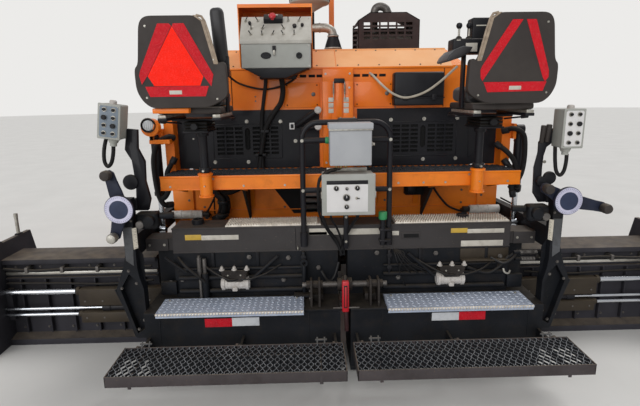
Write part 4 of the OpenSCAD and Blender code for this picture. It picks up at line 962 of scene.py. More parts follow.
    @staticmethod
    def reflector(side, hand):
        """A triangle of three reflective strips, with a bright film inside it on the left seat."""
        low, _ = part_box("seat_" + side)
        y0, y1 = low.y - 0.0022, low.y + 0.002
        centre = -0.857 if hand < 0 else 0.848
        if hand < 0:
            strips = [
                [(-0.072, 0.347), (-0.016, 0.347), (-0.006, 0.335), (-0.138, 0.107), (-0.172, 0.060),
                 (-0.182, 0.104), (-0.174, 0.128)],
                [(0.004, 0.347), (0.055, 0.347), (0.184, 0.105), (0.171, 0.048), (0.135, 0.100),
                 (-0.002, 0.335)],
                [(-0.157, 0.050), (-0.136, 0.0), (0.140, 0.0), (0.158, 0.050)]]
            film = [(-0.111, 0.052), (0.116, 0.052), (0.134, 0.096), (-0.003, 0.334), (-0.140, 0.100)]
            tag = -0.007
        else:
            strips = [
                [(-0.036, 0.349), (0.016, 0.349), (-0.170, 0.055), (-0.180, 0.072), (-0.183, 0.108),
                 (-0.176, 0.128)],
                [(0.033, 0.349), (0.082, 0.349), (0.165, 0.105), (0.166, 0.072), (0.150, 0.050),
                 (0.136, 0.072)],
                [(-0.164, 0.050), (-0.142, 0.0), (0.142, 0.004), (0.158, 0.050)]]
            film = None
            tag = 0.000
        base = 1.694
        piece = bmesh.new()
        for strip in strips:
            add(piece, prism([(centre + x, base + z) for x, z in strip], "Y", y0, y1))
        if film:
            add(piece, prism([(centre + x, base + z) for x, z in film], "Y", y0 + 0.0004, y1), 1)
        add(piece, block((centre + tag - 0.032, y0 - 0.0004, 1.705), (centre + tag + 0.030, y1, 1.724),
                         0.0003), 2)
        finish_piece("triangle_reflector_" + side, piece,
                     ["retroreflective_crimson", "fluorescent_orange_film", "vinyl_white"], "station_" + side)

    @staticmethod
    def padding(side, hand):
        """Seat and back pads: blown up as cloth, with sewn channels pressed in after it."""
        low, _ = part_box("seat_" + side)
        y = low.y
        pads = (("seat_pad_", (0.658, y + 0.136, 1.648), (0.992, y + 0.464, 1.722), 2),
                ("back_pad_", (0.728, y + 0.047, 1.768), (0.997, y + 0.103, 2.022), 1))
        for name, corner, far, flat in pads:
            corner, far = Vector(corner), Vector(far)
            middle, half = (corner + far) / 2, (far - corner) / 2
            shape = block(corner, far, 0.022, 3)
            piece = bmesh.new()
            add(piece, shape, 0, [sided(hand)])
            made = finish_piece(name + side, piece, ["seat_vinyl"], "station_" + side,
                                ["cushions_" + side] if name == "seat_pad_" else ())
            inflate(made, 0.007)
            channels, groove = (-0.42, 0.0, 0.42), 0.006
            run = 0 if flat == 2 else 2
            for v in made.data.vertices:
                out = (v.co[flat] - middle[flat]) / half[flat]
                place = (v.co[run] * (hand if run == 0 else 1) - middle[run]) / half[run]
                # A seat pad is pressed on its top only
                if flat == 2 and out < 0.2:
                    continue
                press = sum(math.exp(-((place - c) * half[run] / groove) ** 2) for c in channels)
                v.co[flat] -= math.copysign(groove * press, out) * min(1.0, abs(out))
            made.data.polygons.foreach_set("use_smooth", [True] * len(made.data.polygons))
            made.data.update()


def bolts(piece, radius, way, points, finish=0):
    """Bolt heads at the points, all facing one way."""
    add(piece, bolt(radius), finish, [facing(point, way) for point in points])


def knob(radius, height):
    """A moulded knob with a waist and a crowned top, standing on the XY plane."""
    return lathe([(0, 0), (radius * 0.8, 0), (radius * 0.7, height * 0.3), (radius, height * 0.45),
                  (radius, height * 0.85), (radius * 0.8, height), (0, height)], 16)


def toggle(piece, at, way, lean, finish, metal):
    """A toggle switch: nut, collar and bat lever."""
    place = facing(at, way)
    add(piece, lathe([(0, 0), (0.009, 0), (0.009, 0.003), (0.006, 0.003), (0.006, 0.009), (0, 0.009)], 12),
        metal, [place])
    add(piece, rod((0, 0, 0.006), (lean * 0.012, 0.004, 0.028), 0.0022, 8, 0, 0.0038), finish, [place])


CONSOLE_SLOPE = Vector((0, -1, 1)).normalized()


class PAVER_OT_console(Operator):
    """Operator console with switches, its skirt, hood fittings and hoses"""
    bl_idname = "paver.console"
    bl_label = "Operator console"

    def execute(self, context):
        self.housing()
        self.switches()
        self.lines()
        return {"FINISHED"}

    @staticmethod
    def housing():
        piece = bmesh.new()
        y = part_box("console")[0].y
        side = [(y, 1.861), (y, 2.020), (y + 0.16, 2.178), (y + 0.23, 2.178), (y + 0.23, 1.861)]
        add(piece, prism(side, "X", -0.610, -0.181, 0.006, 3))
        # Lid: a lip that overhangs the rear face, and the sloped switch plate, in the paler coat of a painted
        # highlight
        lid = [(y - 0.007, 2.004), (y - 0.007, 2.024), (y + 0.157, 2.184), (y + 0.22, 2.184),
               (y + 0.22, 2.176), (y + 0.160, 2.176), (y + 0.002, 2.018), (y - 0.003, 2.004)]
        add(piece, prism(lid, "X", -0.616, -0.175, 0.0015, 2), 1)
        add(piece, prism([(-0.604, 1.862), (-0.187, 1.862), (-0.338, 1.800), (-0.482, 1.800)], "Y",
                         y + 0.006, y + 0.216, 0.008, 2), 2)
        add(piece, block((-0.520, y + 0.18, 1.800), (-0.280, y + 0.25, 1.850), 0.004), 2)
        # Oval vent with its ribs, lift latch and round connector
        oval = lathe([(0, 0), (0.032, 0), (0.032, 0.004), (0.026, 0.007), (0, 0.004)], 28)
        bmesh.ops.scale(oval, vec=(1, 0.62, 1), verts=oval.verts)
        add(piece, oval, 2, [facing((-0.458, y, 1.935), BACK)])
        for k in range(-2, 3):
            add(piece, block((-0.478, y - 0.008, 1.933 + k * 0.007), (-0.438, y - 0.002, 1.936 + k * 0.007)),
                2)
        add(piece, block((-0.417, y - 0.012, 1.962), (-0.396, y, 1.992), 0.003), 2)
        add(piece, block((-0.413, y - 0.014, 1.936), (-0.400, y - 0.004, 1.966), 0.002), 3)
        add(piece, lathe([(0, 0), (0.019, 0), (0.019, 0.005), (0.015, 0.007), (0.015, 0.016), (0.011, 0.016),
                          (0.011, 0.006), (0, 0.006)], 24), 2, [facing((-0.254, y, 1.933), BACK)])
        bolts(piece, 0.004, BACK, [(x, y, z) for x in (-0.598, -0.193) for z in (1.872, 1.992)], 3)
        finish_piece("console_housing", piece,
                     ["powder_coat_grey", "powder_coat_painted_highlight", "abs_black", "zinc_plate"], "chassis",
                     ["console"])
        hood = bmesh.new()
        low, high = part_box("console_hood")
        bolts(hood, 0.007, BACK, [(x, low.y + 0.012, 2.262) for x in (-0.60, -0.21)])
        bolts(hood, 0.007, UP, [(x, low.y + 0.03 + k * 0.2, high.z) for x in (-0.62, -0.41, -0.19)
                                for k in (0, 1)])
        add(hood, prism([(low.y - 0.006, high.z), (low.y - 0.006, high.z - 0.022), (low.y, high.z - 0.022),
                         (low.y, high.z)], "X", low.x, high.x, 0.001), 1)
        finish_piece("console_hood_trim", hood, ["zinc_plate", "enamel_orange"], "chassis")

    @staticmethod
    def switches():
        piece = bmesh.new()
        low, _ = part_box("console")

        def on_slope(x, z):
            return Vector((x, low.y + z - 2.022 - 0.003, z + 0.003))

        rows = ((2.058, (-0.549, -0.480, -0.416, -0.349, -0.282)), (2.097, (-0.549, -0.480, -0.347)),
                (2.150, (-0.588, -0.511, -0.320, -0.253)))
        for row, (z, places) in enumerate(rows):
            for k, x in enumerate(places):
                toggle(piece, on_slope(x, z), CONSOLE_SLOPE, (k + row) % 3 - 1, 0, 1)
                tag = block((-0.014, -0.0045, 0), (0.014, 0.0045, 0.0008))
                add(piece, tag, 2, [facing(on_slope(x, z + 0.016), CONSOLE_SLOPE)])
        for x, z, radius in ((-0.280, 2.106, 0.013), (-0.560, 2.128, 0.010), (-0.232, 2.112, 0.010)):
            add(piece, knob(radius, 0.02), 0, [facing(on_slope(x, z), CONSOLE_SLOPE)])
        # Gauge housing with a hood, and the stop button in front of it
        add(piece, block((-0.060, -0.026, -0.002), (0.060, 0.026, 0.034), 0.005), 0,
            [facing(on_slope(-0.413, 2.150), CONSOLE_SLOPE)])
        add(piece, block((-0.030, 0.010, 0.033), (0.030, 0.020, 0.0355), 0.001), 2,
            [facing(on_slope(-0.413, 2.150), CONSOLE_SLOPE)])
        stop = lathe([(0, 0), (0.012, 0), (0.012, 0.016), (0.021, 0.018), (0.022, 0.026), (0.016, 0.033),
                      (0, 0.035)], 24)
        add(piece, stop, 3, [facing(on_slope(-0.416, 2.137) + CONSOLE_SLOPE * 0.03, CONSOLE_SLOPE)])
        bolts(piece, 0.0035, CONSOLE_SLOPE, [on_slope(x, z) for x in (-0.60, -0.19) for z in (2.036, 2.166)],
              1)
        finish_piece("console_switches", piece, ["abs_black", "zinc_plate", "vinyl_white", "enamel_red"],
                     "chassis")

    @staticmethod
    def lines():
        piece = bmesh.new()
        y = -1.905
        thin = [(-0.479, y, 1.815), (-0.484, y, 1.76), (-0.498, y + 0.01, 1.68), (-0.516, y + 0.02, 1.56),
                (-0.523, y + 0.02, 1.44), (-0.525, y + 0.02, 1.21)]
        add(piece, tube(thin, 0.0125, 12, 6))
        thick = [(-0.378, y, 1.815), (-0.371, y, 1.76), (-0.372, y, 1.70), (-0.390, y, 1.64),
                 (-0.435, y, 1.58), (-0.490, y + 0.01, 1.49), (-0.520, y + 0.02, 1.38),
                 (-0.545, y + 0.02, 1.21)]
        add(piece, tube(thick, 0.0185, 14, 14, 0.10))
        add(piece, tube([(-0.75, -1.95, 1.86), (-0.70, -1.90, 1.805), (-0.64, -1.87, 1.768),
                         (-0.51, -1.865, 1.738), (-0.40, -1.865, 1.750), (-0.31, -1.87, 1.79),
                         (-0.27, -1.90, 1.83)], 0.007, 8, 6))
        # Pale cable from the door slots over the tool box to the right station
        add(piece, tube([(0.215, -1.845, 1.835), (0.235, -1.87, 1.815), (0.30, -1.925, 1.742),
                         (0.37, -1.948, 1.690), (0.45, -1.950, 1.670), (0.56, -1.952, 1.700),
                         (0.66, -1.955, 1.765), (0.77, -1.97, 1.865)],
                        0.008, 8, 6), 1)
        for x, z in ((-0.525, 1.30), (-0.545, 1.30), (-0.50, 1.46)):
            add(piece, block((x - 0.028, y - 0.004, z - 0.009), (x + 0.028, y + 0.062, z + 0.009), 0.003), 2)
        finish_piece("console_lines", piece, ["rubber_hose", "pvc_cable_pale", "abs_black"], "chassis")


class PAVER_OT_control_boxes(Operator):
    """The two enclosures on the hoop rail, its sleeve, nuts and cables"""
    bl_idname = "paver.control_boxes"
    bl_label = "Control boxes"

    def execute(self, context):
        self.upper_box()
        self.lower_box()
        self.rail_fittings()
        return {"FINISHED"}

    @staticmethod
    def upper_box():
        low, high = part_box("control_boxes")
        front, back = low.y + 0.010, high.y
        piece = bmesh.new()
        add(piece, block((-0.085, front, 1.290), (0.158, back, 1.528), 0.006, 3))
        # Hinged lid with a turned-down rim, and its stay screw
        add(piece, block((-0.092, front - 0.010, 1.500), (0.165, back, 1.535), 0.005, 3))
        add(piece, block((-0.089, front - 0.0115, 1.494), (0.162, front - 0.002, 1.501), 0.001), 1)
        add(piece, block((0.158, front + 0.03, 1.40), (0.166, front + 0.06, 1.425), 0.002), 1)
        add(piece, knob(0.009, 0.012), 1, [facing((0.164, front + 0.02, 1.412), RIGHT)])
        add(piece, block((-0.080, front - 0.0012, 1.296), (0.153, front + 0.001, 1.488), 0.001))
        # Cable glands under the box
        for x in (-0.045, -0.018, 0.010):
            add(piece, lathe([(0, 0), (0.011, 0), (0.011, -0.010), (0.008, -0.020), (0, -0.020)], 12), 2,
                [Vector((x, front + 0.05, 1.291))])
        finish_piece("upper_box", piece, ["polyester_grey", "zinc_plate", "brass"], "screed",
                     ["control_boxes"])

    @staticmethod
    def lower_box():
        low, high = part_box("control_boxes")
        front, back = low.y, high.y
        piece = bmesh.new()
        add(piece, block((-0.130, front + 0.014, 1.000), (0.175, back, 1.240), 0.007, 3))
        add(piece, block((-0.135, front, 0.996), (0.180, front + 0.016, 1.244), 0.006, 3))
        add(piece, block((-0.106, front - 0.0016, 1.018), (0.136, front + 0.002, 1.206), 0.001), 1)
        add(piece, block((-0.106, front - 0.0022, 1.183), (0.136, front + 0.001, 1.206), 0.0005), 2)
        for x, z, radius in ((-0.050, 1.161, 0.013), (0.012, 1.158, 0.008), (0.073, 1.161, 0.013),
                             (0.010, 1.105, 0.018), (0.010, 1.050, 0.012)):
            place = facing((x, front - 0.001, z), BACK)
            add(piece, disc(radius * 1.25, 0.002, 20), 3, [place])
            add(piece, knob(radius, 0.016), 2, [place @ Matrix.Translation((0, 0, 0.001))])
            add(piece, block((-0.0015, 0, 0.0165), (0.0015, radius * 0.9, 0.0178)), 1, [place])
        toggle(piece, (0.070, front - 0.001, 1.100), BACK, 1, 2, 3)
        bolts(piece, 0.0045, BACK, [(x, front, z) for x in (-0.124, 0.169) for z in (1.006, 1.234)], 3)
        # Latches on the sides and the plate that hangs the box on the rail
        for x in (-0.139, 0.180):
            add(piece, block((x, front + 0.004, 1.10), (x + 0.005, front + 0.04, 1.14), 0.002), 3)
        add(piece, block((-0.10, back - 0.02, 1.235), (0.145, back, 1.262), 0.003), 3)
        finish_piece("lower_box", piece, ["powder_coat_grey", "film_white", "abs_black", "zinc_plate"],
                     "screed")

    @staticmethod
    def rail_fittings():
        piece = bmesh.new()
        low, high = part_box("hoop_rail")
        y = (low.y + high.y) / 2
        middle = (low.x + high.x) / 2
        x0, x1 = low.x + 0.023, high.x - 0.023
        add(piece, block((-0.030, y - 0.024, 1.512), (0.088, y + 0.024, 1.558), 0.008, 3))
        for x in (-0.012, 0.070):
            bolts(piece, 0.007, UP, [(x, y, 1.558)], 1)
        for x in (x0, x1):
            for z in (1.426, 1.120):
                bolts(piece, 0.011, BACK, [(x, y - 0.017, z)], 1)
        # Green clip on the cross bar and the green capped probe beside the right leg
        probe_x, probe_y = 0.246, y - 0.035
        add(piece, rod((middle - 0.128, y, 1.426), (middle - 0.104, y, 1.426), 0.021, 16, 0.003), 2)
        add(piece, rod((probe_x, probe_y, 0.885), (probe_x, probe_y, 0.940), 0.014, 16), 3)
        add(piece, rod((probe_x, probe_y, 0.935), (probe_x, probe_y, 0.985), 0.027, 16, 0.006), 2)
        add(piece, rod((probe_x, probe_y, 0.770), (probe_x, probe_y, 0.890), 0.017, 16), 3)
        for z in (0.79, 0.86):
            add(piece, block((0.225, y - 0.052, z), (0.30, y + 0.004, z + 0.014), 0.004), 3)
        # Post that carries the lower box, and its clamps
        add(piece, block((0.004, y - 0.022, 0.742), (0.034, y + 0.018, 1.002), 0.004), 3)
        bolts(piece, 0.009, BACK, [(0.019, y - 0.022, 0.79), (0.019, y - 0.022, 0.95)], 1)
        finish_piece("rail_fittings", piece, ["enamel_beam_grey", "zinc_plate", "polyethylene_green",
                                              "powder_coat_black"], "screed")
        cables = bmesh.new()
        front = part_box("control_boxes")[0].y
        routes = (
            ([(-0.045, front + 0.06, 1.275), (-0.050, front + 0.055, 1.262), (-0.094, front + 0.03, 1.252),
              (-0.146, front + 0.02, 1.214), (-0.156, front + 0.03, 1.104), (-0.142, front + 0.06, 1.026),
              (-0.106, front + 0.10, 0.903), (-0.045, front + 0.16, 0.800), (-0.01, front + 0.17, 0.700)],
             0.009),
            ([(-0.018, front + 0.06, 1.275), (-0.03, front + 0.06, 1.264), (-0.10, front + 0.07, 1.256),
              (-0.150, front + 0.06, 1.18), (-0.158, front + 0.07, 1.08), (-0.148, front + 0.1, 0.98),
              (-0.10, front + 0.13, 0.87), (-0.04, front + 0.17, 0.77), (0.0, front + 0.18, 0.690)], 0.006),
            ([(0.088, front + 0.07, 1.0), (0.084, front + 0.08, 0.97), (0.055, front + 0.12, 0.91),
              (0.010, front + 0.17, 0.80), (-0.015, front + 0.18, 0.69)], 0.010),
            ([(-0.08, front + 0.07, 1.0), (-0.075, front + 0.08, 0.96), (-0.03, front + 0.13, 0.86),
              (0.0, front + 0.17, 0.76), (0.01, front + 0.18, 0.69)], 0.007),
        )
        for route, radius in routes:
            add(cables, tube(route, radius, 8, 6))
        finish_piece("box_cables", cables, ["pvc_cable_black"], "screed")


class PAVER_OT_rear_wall(Operator):
    """Bolts, doors, sloped eave, column and latch of the upper rear wall"""
    bl_idname = "paver.rear_wall"
    bl_label = "Upper rear wall"

    def execute(self, context):
        self.wall()
        self.column()
        self.side_hoses()
        return {"FINISHED"}

    @staticmethod
    def wall():
        piece = bmesh.new()
        y = UPPER_WALL_Y
        _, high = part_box("body_shell")
        top, eave, half = high.z, 1.880, 0.775
        away = Vector((0, eave - top, 0.2)).normalized()
        rise = away * 0.003
        # Pale sheet of the sloped eave, a painted highlight, with a turned seam, in two lengths
        for x0, x1 in ((-half, -0.014), (-0.010, half)):
            sheet = [(y - 0.004, eave - 0.006), (y + 0.2, top), (y + 0.2 + rise.y, top + rise.z),
                     (y - 0.004 + rise.y, eave - 0.006 + rise.z)]
            add(piece, prism(sheet, "X", x0, x1, 0.0008), 1)
        add(piece, block((-half, y + 0.195, top - 0.002), (half, y + 0.215, top + 0.010), 0.002), 1)
        add(piece, block((-half, y - 0.010, eave - 0.016), (half, y + 0.002, eave - 0.004), 0.002))
        spots = [-0.70 + k * 0.14 for k in range(11)]
        bolts(piece, 0.006, away, [(x, y + 0.012, eave + 0.008) for x in spots], 3)
        bolts(piece, 0.006, away, [(x, y + 0.188, top - 0.004) for x in spots], 3)
        # Doors on both sides of the column, hinged, with a lock each; slots over them
        for x0, x1 in ((-0.365, -0.122), (0.110, 0.378)):
            add(piece, block((x0, y - 0.006, 1.612), (x1, y + 0.001, 1.778), 0.002))
            bolts(piece, 0.005, BACK,
                  [(x, y - 0.006, z) for x in (x0 + 0.02, x1 - 0.02) for z in (1.63, 1.76)], 2)
            add(piece, lathe([(0, 0), (0.014, 0), (0.014, 0.004), (0.009, 0.006), (0, 0.006)], 18), 3,
                [facing((x1 - 0.045, y - 0.006, 1.70), BACK)])
        # Slots: flat plates in the near-black finish, painted shade of the openings
        for x in (-0.235, -0.175, -0.122, 0.128, 0.186, 0.244, 0.302):
            add(piece, block((x - 0.022, y - 0.0015, 1.811), (x + 0.022, y + 0.001, 1.829), 0.0004), 2)
        # Sheet seams and scattered studs
        for x in (-0.72, 0.72):
            add(piece, block((x, y - 0.003, 1.605), (x + 0.004, y + 0.001, eave - 0.02)), 2)
        bolts(piece, 0.006, BACK, [(-0.56, y, 1.69), (-0.56, y, 1.66), (0.392, y, 1.607), (0.90, y, 1.66),
                                   (-0.90, y, 1.66)], 3)
        finish_piece("wall_panels", piece,
                     ["enamel_orange", "enamel_painted_highlight", "dark_core", "steel_oiled"], "chassis")

    @staticmethod
    def column():
        piece = bmesh.new()
        y = COLUMN_Y
        x0, x1 = -0.107, 0.097
        add(piece, block((x0, y - 0.004, 1.206), (x0 + 0.060, y + 0.002, 1.855), 0.002))
        add(piece, block((x1 - 0.060, y - 0.004, 1.206), (x1, y + 0.002, 1.855), 0.002))
        add(piece, block((x0, y - 0.005, 1.78), (x1, y + 0.002, 1.862), 0.003))
        # Sliding bar with its roller catch and springs
        add(piece, block((-0.018, y - 0.014, 1.548), (0.023, y + 0.001, 1.775), 0.003))
        add(piece, block((-0.030, y - 0.020, 1.770), (0.040, y + 0.001, 1.800), 0.005), 1)
        for x in (-0.034, 0.040):
            coil = [(x + 0.006 * math.cos(k * 1.2), y - 0.014 + 0.006 * math.sin(k * 1.2), 1.70 + k * 0.0011)
                    for k in range(58)]
            add(piece, tube(coil, 0.0016, 5, 1), 2)
            add(piece, rod((x, y - 0.014, 1.66), (x, y - 0.014, 1.78), 0.003, 8), 2)
        bolts(piece, 0.008, BACK, [(0.062, y - 0.005, 1.66), (0.072, y - 0.005, 1.74),
                                   (-0.085, y - 0.005, 1.83), (0.075, y - 0.005, 1.83),
                                   (-0.085, y - 0.005, 1.24), (0.075, y - 0.005, 1.24)], 3)
        # Blank plates beside the bar
        for x in (-0.068, 0.034):
            for k in range(3):
                z = 1.575 + k * 0.036
                add(piece, block((x, y - 0.0065, z), (x + 0.034, y - 0.003, z + 0.030), 0.001), 4)
        # Lever with two knobs in front of the left door
        add(piece, rod((-0.29, -1.87, 1.492), (-0.145, -1.93, 1.592), 0.020, 14, 0.004), 1)
        for x, z in ((-0.140, 1.592), (-0.140, 1.484)):
            add(piece, knob(0.024, 0.035), 3, [facing((x, -1.915, z), (0, -1, 0.2))])
        add(piece, rod((-0.26, -1.87, 1.47), (-0.150, -1.915, 1.484), 0.012, 10), 1)
        finish_piece("column_fittings", piece, ["enamel_orange", "abs_black", "zinc_plate",
                                                "cast_alloy_cream", "vinyl_white"], "chassis")

    @staticmethod
    def tool_box_shapes(piece, finish):
        """Moulded tool box: lid with a soft edge, base and catches."""
        rear, wall = -1.9335, -1.8395
        add(piece, block((0.367, rear, 1.668), (0.703, wall, 1.835), 0.016, 4), finish)
        add(piece, block((0.369, rear + 0.002, 1.618), (0.701, wall, 1.672), 0.010, 3), finish)
        add(piece, block((0.364, rear - 0.003, 1.664), (0.706, wall, 1.672), 0.002), finish)
        for x in (0.43, 0.62):
            add(piece, block((x, rear - 0.007, 1.650), (x + 0.030, rear + 0.004, 1.690), 0.004), finish)

    @staticmethod
    def side_hoses():
        """Black hoses that loop beside the orange posts, clamped at both ends."""
        piece = bmesh.new()
        loops = (
            [(-1.10, -1.95, 1.43), (-1.13, -1.99, 1.44), (-1.19, -2.01, 1.40), (-1.225, -2.015, 1.30),
             (-1.225, -2.015, 1.15), (-1.21, -2.01, 1.04), (-1.18, -2.0, 0.985), (-1.14, -1.96, 0.98)],
            [(-1.10, -1.96, 1.30), (-1.15, -2.00, 1.20), (-1.14, -2.01, 1.11), (-1.165, -2.015, 1.05),
             (-1.20, -2.006, 1.03), (-1.222, -1.985, 1.06)],
            [(1.10, -1.95, 1.44), (1.16, -2.00, 1.46), (1.22, -2.012, 1.42), (1.236, -2.015, 1.32),
             (1.232, -2.015, 1.20), (1.21, -2.01, 1.12), (1.17, -1.98, 1.05)],
            [(1.06, -1.95, 1.36), (1.13, -2.00, 1.30), (1.182, -2.012, 1.22), (1.195, -2.015, 1.12),
             (1.21, -2.005, 1.06), (1.222, -1.985, 1.04)],
            [(1.12, -1.96, 1.25), (1.17, -2.01, 1.17), (1.16, -2.015, 1.08), (1.18, -2.015, 1.0)],
        )
        for route in loops:
            add(piece, tube(route, 0.017, 10, 6))
            for at, toward in ((route[0], route[1]), (route[-1], route[-2])):
                at, toward = Vector(at), Vector(toward)
                add(piece, rod(at, at + (toward - at).normalized() * 0.045, 0.022, 12, 0.002), 1)
        finish_piece("post_hoses", piece, ["rubber_hose", "abs_black"], "chassis")
        lamp = bmesh.new()
        at = Vector((-1.222, -2.074, 1.520))
        add(lamp, lathe([(0, 0.050), (0.034, 0.048), (0.045, 0.03), (0.046, 0.0), (0.043, -0.004),
                         (0.038, 0.0), (0.038, 0.005), (0, 0.005)], 32), 0, [facing(at, (-0.3, 1, 0.1))])
        add(lamp, lathe([(0, 0), (0.022, 0.002), (0.037, 0.006), (0.039, 0.008), (0, 0.010)], 32), 1,
            [facing(at, (-0.3, 1, 0.1))])
        add(lamp, block((-1.232, -2.040, 1.42), (-1.204, -2.030, 1.49), 0.003), 2)
        finish_piece("work_lamp", lamp, ["abs_black", "lamp_glass", "abs_black"], "chassis")


class PAVER_OT_deck(Operator):
    """Serrated grating of the rear deck, pivot sleeves, and fittings of the lower wall"""
    bl_idname = "paver.deck"
    bl_label = "Rear deck"

    def execute(self, context):
        self.grating()
        self.lower_wall()
        self.lower_hoses()
        return {"FINISHED"}

    @staticmethod
    def grating():
        piece = bmesh.new()
        y0, y1, z = DECK_Y, -1.865, 1.186
        # Toothed bars along the deck, pressed in pairs, with flat cross bars under them
        half, steps = 1.14, 114
        bar = bmesh.new()
        bmesh.ops.create_grid(bar, x_segments=steps, y_segments=1, size=0.5)
        for v in bar.verts:
            place = round((v.co.x + 0.5) * steps)
            tooth = 0.006 if place % 2 else 0.0
            v.co = (-half + 2 * half * place / steps, 0, 0.014 + tooth if v.co.y > 0 else 0)
        bmesh.ops.recalc_face_normals(bar, faces=bar.faces)
        bmesh.ops.solidify(bar, geom=bar.faces[:], thickness=0.004)
        add(piece, bar, 0, [(0, y0 + 0.006 + k * 0.0275, z) for k in range(12)])
        add(piece, block((-0.002, y0, z), (0.002, y1, z + 0.010)), 0,
            [(-1.10 + k * 0.10, 0, 0) for k in range(23)])
        finish_piece("deck_grating", piece, ["pressed_steel_tread"], "chassis")
        trim = bmesh.new()
        # Turned edge of the deck strip with its bolts, and the pivot sleeves' flanges and grease nipples
        add(trim, block((-1.142, -2.1935, 1.196), (1.142, DECK_Y, 1.2095), 0.0025), 1)
        add(trim, block((-1.142, -2.1935, 1.119), (1.142, -2.186, 1.126), 0.002), 1)
        bolts(trim, 0.008, BACK, [(x, -2.190, 1.142) for x in (-1.08, -0.62, -0.36, 0.36, 0.52, 0.66, 1.06)])
        for hand in HANDS:
            x = hand * STATION_X
            for z0 in (1.085, 1.222):
                add(trim, lathe([(0.0385, 0), (0.046, 0.001), (0.046, 0.012), (0.0385, 0.013)], 28), 1,
                    [Vector((x, STATION_Y, z0))])
            add(trim, rod((x, STATION_Y, 1.235), (x, STATION_Y, 1.238), 0.0385, 28), 1)
            add(trim, rod((x, -2.276, 1.16), (x, -2.290, 1.16), 0.004, 8))
            bolts(trim, 0.008, BACK, [(x - 0.035, -2.192, 1.19), (x + 0.035, -2.192, 1.19)])
        finish_piece("deck_trim", trim, ["zinc_plate", "enamel_orange"], "chassis")

    @staticmethod
    def lower_wall():
        piece = bmesh.new()
        y = LOWER_WALL_Y
        # Ribs, seams and the framed opening, whose inside is a plate of painted shade
        for x in (-0.65, 0.30, 0.62):
            add(piece, prism([(y, 1.118), (y - 0.05, 1.118), (y - 0.006, 0.86), (y, 0.86)], "X", x - 0.022,
                             x + 0.022, 0.003))
        add(piece, block((-0.95, y - 0.003, 0.80), (-0.94, y + 0.001, 1.118)), 1)
        add(piece, block((-1.09, y - 0.012, 0.830), (-0.25, y, 0.838), 0.002))
        add(piece, block((0.11, y - 0.012, 0.830), (1.09, y, 0.838), 0.002))
        add(piece, prism([(-0.50, 1.03), (-0.24, 1.03), (-0.24, 0.80), (-0.33, 0.80)], "Y", y - 0.010,
                         y - 0.001), 1)
        for x in (-0.246, 0.098):
            add(piece, block((x, y - 0.014, 0.795), (x + 0.010, y, 1.02), 0.002))
        spots = ((-1.02, 0.96), (-1.02, 0.86), (-0.40, 0.85), (0.38, 0.89), (0.98, 0.96), (0.98, 0.86),
                 (0.56, 1.09), (-0.80, 1.09))
        bolts(piece, 0.010, BACK, [(x, y, z) for x, z in spots], 2)
        add(piece, block((0.525, y - 0.075, 0.940), (0.668, y, 1.030), 0.008), 1)
        add(piece, block((0.545, y - 0.082, 0.955), (0.60, y - 0.07, 1.015), 0.004), 3)
        for hand in HANDS:
            x0, x1 = span(hand, 1.096, 1.250)
            add(piece, block((x0, y - 0.022, 0.62), (x1, y - 0.010, 1.118), 0.003))
            add(piece, block((x0, y - 0.030, 0.62), (x1, y - 0.010, 0.632), 0.002))
            bolts(piece, 0.010, BACK, [(hand * 1.13, y - 0.022, z) for z in (0.70, 0.92, 1.08)], 2)
        finish_piece("lower_wall_fittings", piece, ["enamel_deck", "dark_core", "steel_oiled", "abs_black"],
                     "chassis")
        # Scuffed white cylinders between the tow arms and the wall
        rams = bmesh.new()
        end, ram_y, ram_z = 1.02, -1.62, 0.824
        for hand in HANDS:
            x0, x1 = span(hand, end, 1.25)
            add(rams, rod((x0, ram_y, ram_z), (x1, ram_y, ram_z), 0.031, 24, 0.003))
            for k in (0.30, 0.62):
                x = x0 + (x1 - x0) * k
                add(rams, rod((x - 0.006, ram_y, ram_z), (x + 0.006, ram_y, ram_z), 0.034, 24, 0.001))
            inner = hand * end
            add(rams, rod((inner - hand * 0.05, ram_y, ram_z), (inner, ram_y, ram_z), 0.022, 16, 0.003), 1)
            add(rams, rod((inner - hand * 0.03, ram_y, 0.80), (inner - hand * 0.03, LOWER_WALL_Y, 0.80),
                          0.016, 12), 1)
        finish_piece("white_cylinders", rams, ["enamel_white_scuffed", "caked_steel"], "chassis")

    @staticmethod
    def lower_hoses():
        """Wrapped hose bundles that come down from the deck to the screed's side of the wall."""
        piece = bmesh.new()
        bundle = [(-0.94, -1.60, 1.03), (-0.90, -1.66, 1.00), (-0.850, -1.68, 0.955), (-0.842, -1.68, 0.90),
                  (-0.850, -1.67, 0.86), (-0.875, -1.64, 0.81), (-0.92, -1.60, 0.78)]
        for dx, dy in ((0, 0), (0.026, 0.014), (-0.026, 0.012), (0.004, -0.024)):
            add(piece, tube([(x + dx, y + dy, z) for x, y, z in bundle], 0.019, 10, 6))
        add(piece, tube([(-0.86, -1.66, 1.0), (-0.80, -1.64, 0.99), (-0.72, -1.62, 1.02),
                         (-0.63, -1.60, 1.05)], 0.017, 10, 6))
        add(piece, tube([(0.73, -1.58, 1.06), (0.745, -1.61, 0.99), (0.80, -1.63, 0.91), (0.86, -1.63, 0.85),
                         (0.962, -1.60, 0.805), (1.0, -1.60, 0.81)], 0.008, 8, 6))
        add(piece, tube([(-1.0, -1.62, 0.83), (-0.965, -1.66, 0.87), (-0.93, -1.67, 0.93),
                         (-0.90, -1.67, 0.99)], 0.007, 8, 6))
        for z, turn in ((0.93, 0.0), (0.83, 0.5)):
            add(piece, rod((-0.845 - turn * 0.03, -1.685, z - 0.012),
                           (-0.845 - turn * 0.03, -1.685, z + 0.012), 0.047, 18, 0.004), 1)
        finish_piece("hose_bundle", piece, ["rubber_hose", "pvc_cable_black"], "chassis")


